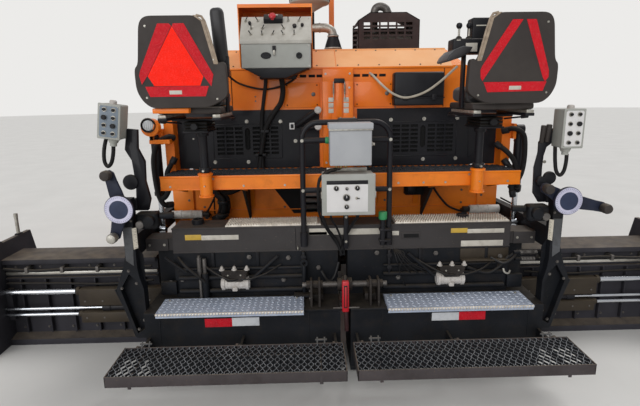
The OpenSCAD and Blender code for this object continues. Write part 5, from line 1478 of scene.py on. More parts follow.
class PAVER_OT_beam(Operator):
    """Treads, blank strips, slot handle and end covers of the step beam"""
    bl_idname = "paver.beam"
    bl_label = "Step beam"

    def execute(self, context):
        rear, top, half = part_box("step_beam")[0].y, 0.885, 1.082
        piece = bmesh.new()
        add(piece, block((-half, rear - 0.003, top - 0.010), (half, rear + 0.004, top + 0.002), 0.002))
        add(piece, block((-half, rear - 0.003, 0.720), (half, rear + 0.004, 0.728), 0.002))
        for x in (-0.30, 0.26):
            add(piece, block((x - 0.0015, rear - 0.0012, 0.724), (x + 0.0015, rear, top - 0.006)), 2)
        # Slot handle: a raised oval ring round a strip of painted shade for the slot
        handle = block((0.380, rear - 0.006, 0.786), (0.498, rear + 0.001, 0.830), 0)
        add(piece, rounded(handle, 0.004, 2))
        add(piece, block((0.390, rear - 0.0068, 0.795), (0.488, rear - 0.005, 0.821), 0.003), 2)
        # Covers over the beam's end boxes
        for hand in HANDS:
            x0, x1 = span(hand, 1.118, 1.262)
            add(piece, block((x0, rear + 0.030, 0.729), (x1, rear + 0.042, 0.811), 0.004))
            bolts(piece, 0.009, BACK, [(x0 + 0.025, rear + 0.030, 0.77), (x1 - 0.025, rear + 0.030, 0.77)], 3)
        # The rail's legs go on below the beam and end in nuts
        rail_low, rail_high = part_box("hoop_rail")
        for x in (rail_low.x + 0.016, rail_high.x - 0.016):
            add(piece, rod((x, rear - 0.020, 0.560), (x, rear - 0.020, 0.722), 0.012, 16, 0.002), 1)
            for z in (0.690, 0.610):
                add(piece, lathe([(0, 0), (0.017, 0), (0.017, 0.014), (0, 0.016)], 6), 1,
                    [facing((x, rear - 0.026, z), BACK)])
        # Hook and socket for the rail's left leg, and the round stop buffers on the tread
        add(piece, tube([(-0.287, rear - 0.002, 0.752), (-0.287, rear - 0.014, 0.750),
                         (-0.287, rear - 0.016, 0.735), (-0.287, rear - 0.004, 0.728)], 0.004, 8, 4), 3)
        for x in (-0.938, 0.80):
            add(piece, lathe([(0, 0), (0.038, 0), (0.038, 0.030), (0.030, 0.034), (0.030, 0.012),
                              (0, 0.012)], 28), 1, [Vector((x, rear + 0.11, top))])
        finish_piece("beam_trim", piece, ["enamel_beam_grey", "abs_black", "dark_core", "zinc_plate"],
                     "screed")
        self.treads(rear, top)
        self.strips(rear)
        return {"FINISHED"}

    @staticmethod
    def treads(rear, top):
        """Rows of raised serrated teeth on the beam's top, dusted pale where boots stand."""
        piece = bmesh.new()
        tooth = prism([(-0.006, 0), (0.006, 0), (0.0, 0.013)], "Y", -0.006, 0.006)
        places = []
        pitch, strips = 0.016, ((-0.74, -0.15), (0.34, 1.06))
        for x0, x1 in strips:
            for i in range(int((x1 - x0) / pitch)):
                for j in range(8):
                    x = x0 + pitch * (i + 0.5 + (j % 2) / 2)
                    places.append((x, rear + 0.018 + j * 0.021, top + 0.010))
        add(piece, tooth, 0, places)
        for x0, x1 in strips:
            add(piece, block((x0 - 0.004, rear + 0.006, top), (x1 + 0.012, rear + 0.182, top + 0.011), 0.001))
        finish_piece("beam_treads", piece, ["aluminium_grip_pale"], "screed")

    @staticmethod
    def strips(rear):
        piece = bmesh.new()
        y0, y1 = rear - 0.0012, rear + 0.001
        for x0, x1, z0, z1, finish in (
                (-1.000, -0.897, 0.807, 0.842, 0), (-0.897, -0.662, 0.805, 0.836, 1),
                (-0.214, 0.010, 0.824, 0.867, 1), (-0.214, -0.10, 0.8245, 0.844, 0),
                (0.010, 0.255, 0.822, 0.861, 1), (0.303, 0.361, 0.812, 0.840, 1),
                (0.695, 0.802, 0.820, 0.850, 0), (0.802, 1.040, 0.815, 0.843, 1),
                (0.764, 1.037, 0.726, 0.766, 1)):
            add(piece, block((x0, y0, z0), (x1, y1, z1), 0.0004), finish)
        finish_piece("blank_strips", piece, ["vinyl_yellow", "vinyl_white"], "screed")


class PAVER_OT_screed(Operator):
    """Tape, bolts, rods, springs and cables of the screed, its vibrators and the crown screw"""
    bl_idname = "paver.screed"
    bl_label = "Screed fittings"

    def execute(self, context):
        self.rear_face()
        self.vibrators()
        self.wall()
        self.crown()
        return {"FINISHED"}

    @staticmethod
    def rear_face():
        low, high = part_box("screed_boxes")
        y, top = low.y, high.z
        tape = bmesh.new()
        for x0, x1, z0, z1, finish in ((-0.857, -0.692, 0.323, 0.378, 0), (-0.692, -0.527, 0.326, 0.381, 1),
                                       (0.530, 0.697, 0.330, 0.382, 1), (0.697, 0.861, 0.330, 0.385, 0)):
            add(tape, block((x0, y - 0.0012, z0), (x1, y + 0.001, z1), 0.0003), finish)
        finish_piece("reflective_tape", tape, ["retroreflective_red", "retroreflective_white"], "screed")
        piece = bmesh.new()
        for hand in HANDS:
            bolts(piece, 0.010, BACK, [(hand * x, y, 0.403) for x in (0.311, 0.698, 1.087)], 1)
            bolts(piece, 0.009, BACK, [(hand * x, y, 0.05) for x in (0.12, 0.34, 0.56, 0.78, 1.0, 1.17)], 1)
            x0, x1 = span(hand, 0.031, 1.220)
            # Bottom plate's turned-up edge, side seam and grab lips
            add(piece, block((x0, y - 0.004, 0.012), (x1, y + 0.004, 0.032), 0.002))
            add(piece, block((x0, y - 0.003, top - 0.016), (x1, y + 0.004, top + 0.001), 0.003))
            for x in (hand * 0.225, hand * 1.13):
                add(piece, block((x - 0.003, y - 0.003, 0.03), (x + 0.003, y + 0.001, top - 0.01), 0.001))
        finish_piece("screed_face_fittings", piece, ["enamel_black_bitumen"], "screed")
        for side, hand in SIDES:
            latches = bmesh.new()
            for x in (hand * 0.156, hand * 1.160):
                add(latches, rod((x - 0.034, -2.640, 0.312), (x + 0.034, -2.640, 0.312), 0.006, 10, 0.002))
                for dx in (-0.022, 0.020):
                    add(latches, rod((x + dx, -2.664, 0.284), (x + dx, -2.634, 0.326), 0.005, 8, 0.001))
            finish_piece("walkway_latches_" + side, latches, ["cast_iron_grey"], "walkway_" + side)

    @staticmethod
    def vibrators():
        piece = bmesh.new()
        y = -2.290
        for hand in HANDS:
            middle = hand * 0.6875
            # Ribbed casting with end caps, feet, and the terminal box
            body = lathe([(0, -0.0905), (0.030, -0.0905), (0.034, -0.086), (0.042, -0.084), (0.042, -0.066),
                          (0.0365, -0.064), (0.0365, 0.064), (0.042, 0.066), (0.042, 0.084), (0.034, 0.086),
                          (0.030, 0.0905), (0, 0.0905)], 32)
            add(piece, body, 0, [facing((middle, y, 0.531), RIGHT)])
            for k in (-2, -1, 0, 1, 2):
                add(piece, rod((middle + k * 0.024 - 0.002, y, 0.531),
                               (middle + k * 0.024 + 0.002, y, 0.531), 0.0385, 28))
            add(piece, block((middle - 0.052, y - 0.034, 0.556), (middle + 0.052, y + 0.024, 0.583), 0.006))
            add(piece, block((middle - 0.016, y - 0.046, 0.492), (middle + 0.016, y - 0.020, 0.520), 0.005))
            # Folded bracket and its three bolts with domed caps
            add(piece, block((middle - 0.080, y - 0.024, 0.582), (middle + 0.080, y + 0.052, 0.592), 0.002),
                1)
            add(piece, prism([(middle - 0.085, 0.632), (middle + 0.085, 0.632), (middle + 0.075, 0.588),
                              (middle + 0.045, 0.556), (middle - 0.045, 0.556), (middle - 0.075, 0.588)], "Y",
                             y - 0.044, y - 0.036, 0.002), 1)
            for k in (-1, 0, 1):
                x = middle + k * 0.078
                add(piece, lathe([(0, 0), (0.017, 0), (0.017, 0.006), (0.011, 0.008), (0.010, 0.020),
                                  (0, 0.030)], 16), 0, [Vector((x, y - 0.030, 0.630))])
            bolts(piece, 0.006, BACK, [(middle + dx, y - 0.044, 0.600) for dx in (-0.04, 0.04)], 2)
            add(piece, tube([(middle + 0.02, y - 0.04, 0.574), (middle - 0.02, y - 0.055, 0.572),
                             (middle - 0.07, y - 0.05, 0.59), (middle - 0.14, y - 0.02, 0.62),
                             (middle - 0.22, y + 0.03, 0.66)], 0.006, 8, 5), 3)
            add(piece, tube([(middle + 0.04, y - 0.04, 0.572), (middle + 0.10, y - 0.045, 0.575),
                             (middle + 0.20, y - 0.02, 0.60), (middle + 0.29, y + 0.03, 0.64)], 0.006, 8, 5),
                3)
        finish_piece("vibrator_units", piece,
                     ["cast_alloy_cream", "caked_steel", "zinc_plate", "pvc_cable_black"], "screed",
                     ["vibrators"])

    @staticmethod
    def wall():
        """The cluttered wall under the beam: rods, struts, nuts, springs and a fan of thin cables."""
        piece = bmesh.new()
        y = SCREED_WALL_Y
        for x in (-0.831, -0.547, 0.50, 0.93):
            add(piece, block((x - 0.010, y - 0.012, 0.61), (x + 0.010, y + 0.002, 0.722), 0.002))
        # Long pipes along the wall
        for z, radius in ((0.618, 0.010), (0.560, 0.014), (0.470, 0.016)):
            for hand in HANDS:
                x0, x1 = span(hand, 0.26, 1.05)
                add(piece, rod((x0, y - 0.022, z), (x1, y - 0.022, z), radius, 12))
        for hand in HANDS:
            add(piece, rod((hand * 0.415, y - 0.03, 0.698), (hand * 0.587, y - 0.05, 0.551), 0.011, 12))
            add(piece, rod((hand * 1.00, y - 0.03, 0.60), (hand * 1.13, y - 0.03, 0.705), 0.010, 12))
            add(piece, block((hand * 1.12 - 0.05, y - 0.03, 0.45), (hand * 1.12 + 0.05, y, 0.54), 0.006))
        # Bright threaded rods with sleeves on the left
        add(piece, rod((-0.912, y - 0.045, 0.421), (-0.912, y - 0.045, 0.718), 0.009, 14), 1)
        add(piece, rod((-0.912, y - 0.045, 0.60), (-0.912, y - 0.045, 0.705), 0.014, 16, 0.002), 1)
        add(piece, rod((-0.880, y - 0.040, 0.60), (-0.880, y - 0.040, 0.695), 0.013, 16, 0.002), 1)
        add(piece, rod((-0.880, y - 0.040, 0.44), (-0.880, y - 0.040, 0.60), 0.022, 16, 0.002))
        add(piece, rod((-0.250, y - 0.050, 0.46), (-0.250, y - 0.050, 0.640), 0.014, 14, 0.002))
        add(piece, lathe([(0.012, -0.006), (0.024, -0.006), (0.024, 0.006), (0.012, 0.006),
                          (0.012, -0.006)], 20), 0, [facing((-0.250, y - 0.050, 0.655), BACK)])
        add(piece, block((-0.32, y - 0.08, 0.428), (-0.19, y - 0.01, 0.448), 0.008))
        for x, z in ((-0.157, 0.609), (-0.384, 0.532), (-1.107, 0.529), (-1.035, 0.548), (0.219, 0.700),
                     (0.36, 0.53), (-0.60, 0.69), (-0.35, 0.68), (0.60, 0.69), (1.02, 0.66)):
            add(piece, lathe([(0, 0), (0.016, 0), (0.016, 0.004), (0.011, 0.005), (0.011, 0.016),
                              (0, 0.018)], 6), 1, [facing((x, y - 0.010, z), BACK)])
        # Springs at the right end
        for z, x0, x1 in ((0.697, 1.13, 1.24), (0.652, 1.141, 1.228)):
            turns = 13
            coil = [(x0 + (x1 - x0) * k / (turns * 6), y - 0.05 + 0.013 * math.cos(k * math.tau / 6),
                     z + 0.013 * math.sin(k * math.tau / 6)) for k in range(turns * 6 + 1)]
            add(piece, tube(coil, 0.0034, 6, 1), 1)
            add(piece, rod((x0 - 0.04, y - 0.05, z), (x0, y - 0.05, z), 0.012, 12))
            add(piece, rod((x1, y - 0.05, z), (x1 + 0.025, y - 0.05, z), 0.012, 12))
        # Brown shelf at the right and its rim
        add(piece, block((0.76, y - 0.05, 0.640), (1.075, y, 0.650), 0.003), 2)
        add(piece, block((0.76, y - 0.008, 0.640), (1.075, y, 0.715), 0.003), 2)
        finish_piece("wall_fittings", piece, ["enamel_black_bitumen", "steel_oiled", "oiled_sleeve_brown"],
                     "screed")
        cables = bmesh.new()
        fan = ((0.36, 0.60), (0.42, 0.585), (0.47, 0.58), (0.52, 0.578), (0.56, 0.575), (0.39, 0.50))
        for k, (x, z) in enumerate(fan):
            add(cables, tube([(0.325 + 0.004 * k, y - 0.02, 0.722), (0.33 + 0.012 * k, y - 0.045, 0.70),
                              ((0.325 + x) / 2, y - 0.06, (0.72 + z) / 2 - 0.01), (x, y - 0.045, z),
                              (x + 0.03, y - 0.02, z - 0.03)], 0.0035, 6, 5))
        for route in (
                [(-1.05, y - 0.02, 0.70), (-1.0, y - 0.06, 0.66), (-0.93, y - 0.075, 0.60),
                 (-0.88, y - 0.07, 0.55)],
                [(-0.14, y - 0.05, 0.60), (-0.10, y - 0.075, 0.54), (-0.06, y - 0.08, 0.57),
                 (-0.03, y - 0.06, 0.66)],
                [(0.95, y - 0.03, 0.66), (1.02, y - 0.06, 0.63), (1.08, y - 0.06, 0.66),
                 (1.12, y - 0.04, 0.70)],
                [(0.80, y - 0.04, 0.60), (0.92, y - 0.055, 0.565), (1.00, y - 0.05, 0.60),
                 (1.07, y - 0.03, 0.67)]):
            add(cables, tube(route, 0.009, 8, 6))
        add(cables, tube([(1.03, y - 0.05, 0.59), (1.035, y - 0.06, 0.57), (1.06, y - 0.06, 0.56),
                          (1.075, y - 0.05, 0.575)], 0.007, 8, 5), 1)
        finish_piece("wall_cables", cables, ["pvc_cable_black", "zinc_plate"], "screed")

    @staticmethod
    def crown():
        """Turnbuckle between the screed halves, its clevis plates and the red ratchet."""
        piece = bmesh.new()
        y = -2.390
        for hand in HANDS:
            for x in (0.150, 0.200):
                x0, x1 = span(hand, x, (x + 0.014))
                outline = [(y - 0.055, 0.421), (y - 0.052, 0.52), (y - 0.034, 0.588), (y + 0.032, 0.588),
                           (y + 0.050, 0.52), (y + 0.065, 0.421)]
                add(piece, prism(outline, "X", x0, x1, 0.002, 1))
            for z in (0.45, 0.50):
                bolts(piece, 0.010, (hand, 0, 0), [(hand * 0.214, y + 0.02, z)], 2)
            add(piece, rod((hand * 0.136, y, 0.55), (hand * 0.236, y, 0.55), 0.026, 6, 0.002))
            add(piece, rod((hand * 0.230, y, 0.55), (hand * 0.262, y, 0.55), 0.016, 16, 0.002), 2)
            # Coarse thread between the clevis and the ratchet
            for k in range(14):
                x = hand * (0.056 + k * 0.0058)
                add(piece, rod((x - 0.0014, y, 0.55), (x + 0.0014, y, 0.55), 0.0195, 18), 2)
            add(piece, rod((hand * 0.014, y, 0.55), (hand * 0.14, y, 0.55), 0.0165, 16), 2)
            add(piece, block((hand * 0.175 - 0.045, y + 0.03, 0.421), (hand * 0.175 + 0.045, y + 0.15, 0.47),
                             0.006))
        add(piece, rod((-0.046, y, 0.55), (0.046, y, 0.55), 0.040, 24, 0.004))
        add(piece, rod((-0.016, y, 0.55), (0.016, y, 0.55), 0.052, 24, 0.003))
        # Ratchet: pawl housing, handle with an oval window, dark grip
        add(piece, prism([(y - 0.090, 0.600), (y - 0.090, 0.400), (y - 0.052, 0.400), (y - 0.052, 0.600)],
                         "X", -0.021, 0.021, 0.008, 3), 1)
        add(piece, block((-0.011, y - 0.0935, 0.430), (0.011, y - 0.088, 0.575), 0.005))
        add(piece, block((-0.006, y - 0.095, 0.438), (0.006, y - 0.090, 0.567), 0.004), 1)
        add(piece, rod((0.004, y - 0.072, 0.402), (0.008, y - 0.076, 0.272), 0.014, 16, 0.005), 3)
        add(piece, rod((0, y - 0.066, 0.585), (0, y - 0.040, 0.62), 0.012, 12, 0.003))
        add(piece, rod((-0.075, y - 0.075, 0.425), (0.085, y - 0.075, 0.425), 0.005, 10), 2)
        finish_piece("crown_turnbuckle", piece, ["caked_steel", "enamel_red", "steel_oiled", "grip_dark_red"],
                     "screed", ["crown_screw"])


class PAVER_OT_ends(Operator):
    """Pendants, their arms and cables, depth cranks, scale strips and the end plates' fittings"""
    bl_idname = "paver.ends"
    bl_label = "Screed ends"

    def execute(self, context):
        self.pendants()
        for side, hand in SIDES:
            self.crank(side, hand)
            self.post(side, hand)
        return {"FINISHED"}

    @staticmethod
    def pendants():
        arms = bmesh.new()
        y = PENDANT_Y
        left = [(1.290, 1.030), (1.245, 1.110), (1.240, 1.172), (1.245, 1.268), (1.250, 1.333),
                (1.284, 1.397), (1.262, 1.518), (1.200, 1.511), (1.208, 1.402), (1.175, 1.325),
                (1.181, 1.207), (1.161, 1.098), (1.180, 1.030)]
        right = [(1.205, 1.030), (1.290, 1.030), (1.290, 1.090), (1.215, 1.110), (1.211, 1.247),
                 (1.214, 1.317), (1.227, 1.369), (1.272, 1.403), (1.272, 1.480), (1.252, 1.480),
                 (1.176, 1.400), (1.177, 1.336), (1.160, 1.248), (1.166, 1.090)]
        add(arms, prism(left, "Y", y, y + 0.012, 0.002, 2), 0, [MIRROR])
        add(arms, prism([(x * 0.996 + 0.004, z) for x, z in left], "Y", y - 0.020, y - 0.008, 0.002, 2), 0,
            [MIRROR])
        add(arms, prism(right, "Y", y, y + 0.012, 0.002, 2))
        for hand, x, z, radius in ((-1, 1.266, 1.204, 0.046), (1, 1.250, 1.184, 0.040),
                                   (1, 1.200, 1.165, 0.030)):
            cap = lathe([(0, 0), (radius * 0.8, 0), (radius, 0.008), (radius, 0.020), (radius * 0.92, 0.026),
                         (radius * 0.35, 0.030), (0, 0.030)], 28)
            add(arms, cap, 1, [facing((hand * x, y - 0.004, z), BACK)])
        # Clamp levers behind the right pendant
        for x, z in ((1.190, 1.445), (1.222, 1.450)):
            add(arms, rod((x - 0.004, y - 0.01, z - 0.05), (x, y - 0.02, z + 0.055), 0.013, 12, 0.005,
                          0.017), 2)
        for hand in HANDS:
            x0, x1 = span(hand, 1.236, 1.290)
            add(arms, block((x0, -2.362, 1.035), (x1, y + 0.004, 1.105), 0.004))
            bolts(arms, 0.011, BACK, [(hand * 1.264, y - 0.002, 1.07), (hand * 1.22, y - 0.002, 1.28)], 3)
        finish_piece("pendant_arms", arms,
                     ["powder_coat_black", "abs_black", "polypropylene_charcoal", "zinc_plate"], "screed")
        boxes = bmesh.new()
        for hand, x, z, height in ((-1, 1.253, 1.468, 0.192), (1, 1.250, 1.374, 0.222)):
            x0, x1, y0, y1 = x, x + 0.122, -2.440, -2.3203
            # The left box leans outward at its foot
            hub = Matrix.Translation((-x - 0.061, 0, z + height / 2))
            lean = hub @ Matrix.Rotation(math.radians(8), 4, "Y") @ hub.inverted()
            flip = lean @ MIRROR if hand < 0 else Matrix.Identity(4)
            face = 6 if hand < 0 else 1
            add(boxes, block((x0, y0, z), (x1, y1, z + height), 0.008, 3), 0, [flip])
            add(boxes, block((x0 - 0.002, y0 - 0.006, z - 0.002),
                             (x1 + 0.002, y0 + 0.010, z + height + 0.002), 0.005, 3), 0, [flip])
            add(boxes, block((x0 + 0.010, y0 - 0.0075, z + 0.010),
                             (x1 - 0.010, y0 - 0.004, z + height - 0.010), 0.001),
                face, [flip])
            for row in range(4):
                for column in range(2):
                    at = (x0 + 0.036 + column * 0.050, y0 - 0.007, z + 0.032 + row * (height - 0.062) / 3)
                    big = (row, column) in ((1, 0), (2, 1))
                    add(boxes, disc(0.0135, 0.002, 16), 3,
                        [flip @ facing(at, BACK)])
                    add(boxes, knob(0.0135 if big else 0.0085, 0.016), 2, [flip @ facing(at, BACK)])
            for dx in (0.012, 0.110):
                for dz in (0.012, height - 0.012):
                    add(boxes, bolt(0.004), 3, [flip @ facing((x0 + dx, y0 - 0.006, z + dz), BACK)])
            # Tapered gland under the box and the cap on top
            add(boxes, lathe([(0, 0), (0.034, 0), (0.024, -0.026), (0.019, -0.028), (0.019, -0.045),
                              (0, -0.045)], 24),
                0, [flip @ Matrix.Translation((x0 + 0.05, y0 + 0.045, z + 0.002))])
            add(boxes, lathe([(0, 0), (0.020, 0), (0.020, 0.016), (0.015, 0.022), (0, 0.023)], 24), 4,
                [flip @ Matrix.Translation((x0 + 0.061, y0 + 0.05, z + height))])
            loop = [(x0 + 0.050, y0 + 0.045, z - 0.040), (x0 + 0.050, y0 + 0.045, z - 0.09),
                    (x0 + 0.058, y0 + 0.045, z - 0.14), (x0 + 0.078, y0 + 0.047, z - 0.165),
                    (x0 + 0.100, y0 + 0.052, z - 0.14), (x0 + 0.108, y0 + 0.06, z - 0.08),
                    (x0 + 0.106, y0 + 0.075, z - 0.02), (x0 + 0.100, y0 + 0.090, z + 0.004)]
            if hand > 0:
                loop = [(2 * x0 + 0.112 - a, b, c) for a, b, c in loop]
            add(boxes, tube(loop, 0.011, 10, 6), 5, [flip])
        finish_piece("pendant_boxes", boxes, ["powder_coat_grey", "film_white", "abs_black", "zinc_plate",
                                              "cast_alloy_cream", "rubber_hose", "enamel_blue_grey"],
                     "screed", ["pendants"])

    @staticmethod
    def crank(side, hand):
        """Two-armed depth crank: cast arms, turned knobs, and the capped dial with a pale ring."""
        piece = bmesh.new()
        flip = sided(hand)
        x, z = CRANK_X, CRANK_Z
        y = -2.530
        knobs = ((0.049, 0.195), (0.051, -0.164)) if hand < 0 else ((-0.127, 0.074), (0.220, -0.047))
        for dx, dz in knobs:
            length = math.hypot(dx, dz)
            arm = prism([(0.0, -0.040), (length * 0.45, -0.038), (length * 0.8, -0.031),
                         (length + 0.004, -0.030), (length + 0.024, -0.012), (length + 0.024, 0.012),
                         (length + 0.004, 0.030), (length * 0.8, 0.031), (length * 0.45, 0.038),
                         (0.0, 0.040)], "Z", 0, 0.018, 0.004,
                        2)
            turn = Matrix.Rotation(math.atan2(dz, dx), 4, "Z")
            place = flip @ Matrix.Translation((x, y + 0.050, z)) @ Matrix.Rotation(math.pi / 2, 4, "X") @ turn
            add(piece, arm, 0, [place])
            grip = lathe([(0, 0), (0.018, 0), (0.018, 0.006), (0.026, 0.012), (0.029, 0.022), (0.029, 0.052),
                          (0.025, 0.062), (0.014, 0.066), (0, 0.067)], 28)
            metal = hand < 0 and dz < 0
            add(piece, grip, 3 if metal else 1, [flip @ facing((x + dx, y + 0.034, z + dz), BACK)])
        add(piece, rod((x, y + 0.020, z), (x, y + 0.075, z), 0.046, 32, 0.004), 0, [flip])
        add(piece, rod((x, y + 0.07, z), (x, POST_Y, z), 0.015, 20), 3, [flip])
        add(piece, lathe([(0, 0), (0.078, 0), (0.082, 0.004), (0.082, 0.016), (0.079, 0.020), (0, 0.020)],
                         56), 0, [flip @ facing((x, y + 0.021, z), BACK)])
        add(piece, lathe([(0.053, 0.0195), (0.053, 0.0225), (0.0775, 0.0225), (0.079, 0.0195),
                          (0.053, 0.0195)], 56), 2, [flip @ facing((x, y + 0.021, z), BACK)])
        add(piece, lathe([(0, 0.0195), (0.051, 0.0195), (0.052, 0.022), (0.030, 0.024), (0, 0.0245)], 48), 4,
            [flip @ facing((x, y + 0.021, z), BACK)])
        # Engraved ticks on the ring, with no figures
        for k in range(40):
            angle = k * math.tau / 40
            tick = block((0.066, -0.0006, 0.0222), (0.075, 0.0006, 0.0229))
            add(piece, tick, 4, [flip @ facing((x, y + 0.021, z), BACK) @ Matrix.Rotation(angle, 4, "Z")])
        finish_piece("crank_arms_" + side, piece, ["enamel_slate_dark", "polypropylene_charcoal",
                                                   "anodised_lilac", "zinc_plate", "enamel_slate_blue"],
                     "crank_" + side, ["crank_" + side])

    @staticmethod
    def post(side, hand):
        piece = bmesh.new()
        flip = sided(hand)
        y = POST_Y
        # Pale depth scale on the post, tapering with it, and its carrier
        strip = [(1.226, 0.950), (1.253, 0.945), (1.253, 0.815), (1.226, 0.825)]
        add(piece, prism(strip, "Y", y - 0.006, y - 0.002, 0.0006), 1, [flip])
        add(piece, prism([(a - (0.003 if a < 1.24 else -0.002), b) for a, b in strip], "Y", y - 0.0025,
                         y + 0.006, 0.001), 0, [flip])
        for k in range(12):
            z = 0.828 + k * 0.010
            add(piece, block((1.228, y - 0.0065, z),
                             (1.228 + (0.016 if k % 4 == 0 else 0.009), y - 0.005, z + 0.0014)),
                2, [flip])
        # Back plate inside the V, and the dark closing plate toward the beam
        add(piece, prism([(1.224, 0.250), (1.222, 0.760), (1.262, 0.840), (1.318, 0.790), (1.380, 0.565),
                          (1.288, 0.250)], "Y", y + 0.050, y + 0.056), 0, [flip])
        add(piece, block((1.040, -2.150, 0.430), (1.205, -2.144, 0.735), 0.001), 0, [flip])
        # Painted flat of the post and the cast housing between the dial and the arm
        add(piece, prism([(1.249, 0.952), (1.306, 0.950), (1.308, 0.745), (1.264, 0.712)], "Y", y - 0.003,
                         y + 0.002, 0.001), 4, [flip])
        add(piece, block((1.105, y + 0.012, 0.930), (1.236, y + 0.100, 1.030), 0.020, 3), 0, [flip])
        add(piece, rod((1.150, y + 0.015, 0.985), (1.150, y - 0.020, 0.985), 0.034, 24, 0.006), 0, [flip])
        add(piece, rod((1.205, y + 0.015, 0.965), (1.205, y - 0.010, 0.965), 0.024, 20, 0.004), 3, [flip])
        add(piece, rod((1.10, y + 0.05, 1.005), (1.02, y + 0.06, 1.005), 0.020, 16, 0.003), 0, [flip])
        # Bearing collar, set bolts and edge welds of the end plate
        add(piece, lathe([(0.039, 0), (0.046, 0.002), (0.046, 0.02), (0.039, 0.022)], 32), 0,
            [flip @ facing((CRANK_X, y - 0.002, CRANK_Z), BACK)])
        for dx, dz in ((0.255, 0.99), (0.300, 0.99)):
            add(piece, bolt(0.009), 3, [flip @ facing((1 + dx, y, dz), BACK)])
        for a, b in ((1.26, 0.60), (1.35, 0.57), (1.30, 0.68), (1.235, 0.36), (1.272, 0.30)):
            add(piece, bolt(0.010), 3, [flip @ facing((a, y, b), BACK)])
        edge = [(1.395, y + 0.01, 0.560), (1.345, y + 0.01, 0.420), (1.298, y + 0.01, 0.245)]
        add(piece, tube(edge, 0.006, 8, 2), 0, [flip])
        finishes = ["enamel_black_bitumen", "scale_cream", "abs_black", "steel_oiled", "cast_iron_grey"]
        finish_piece("post_fittings_" + side, piece, finishes, "screed")


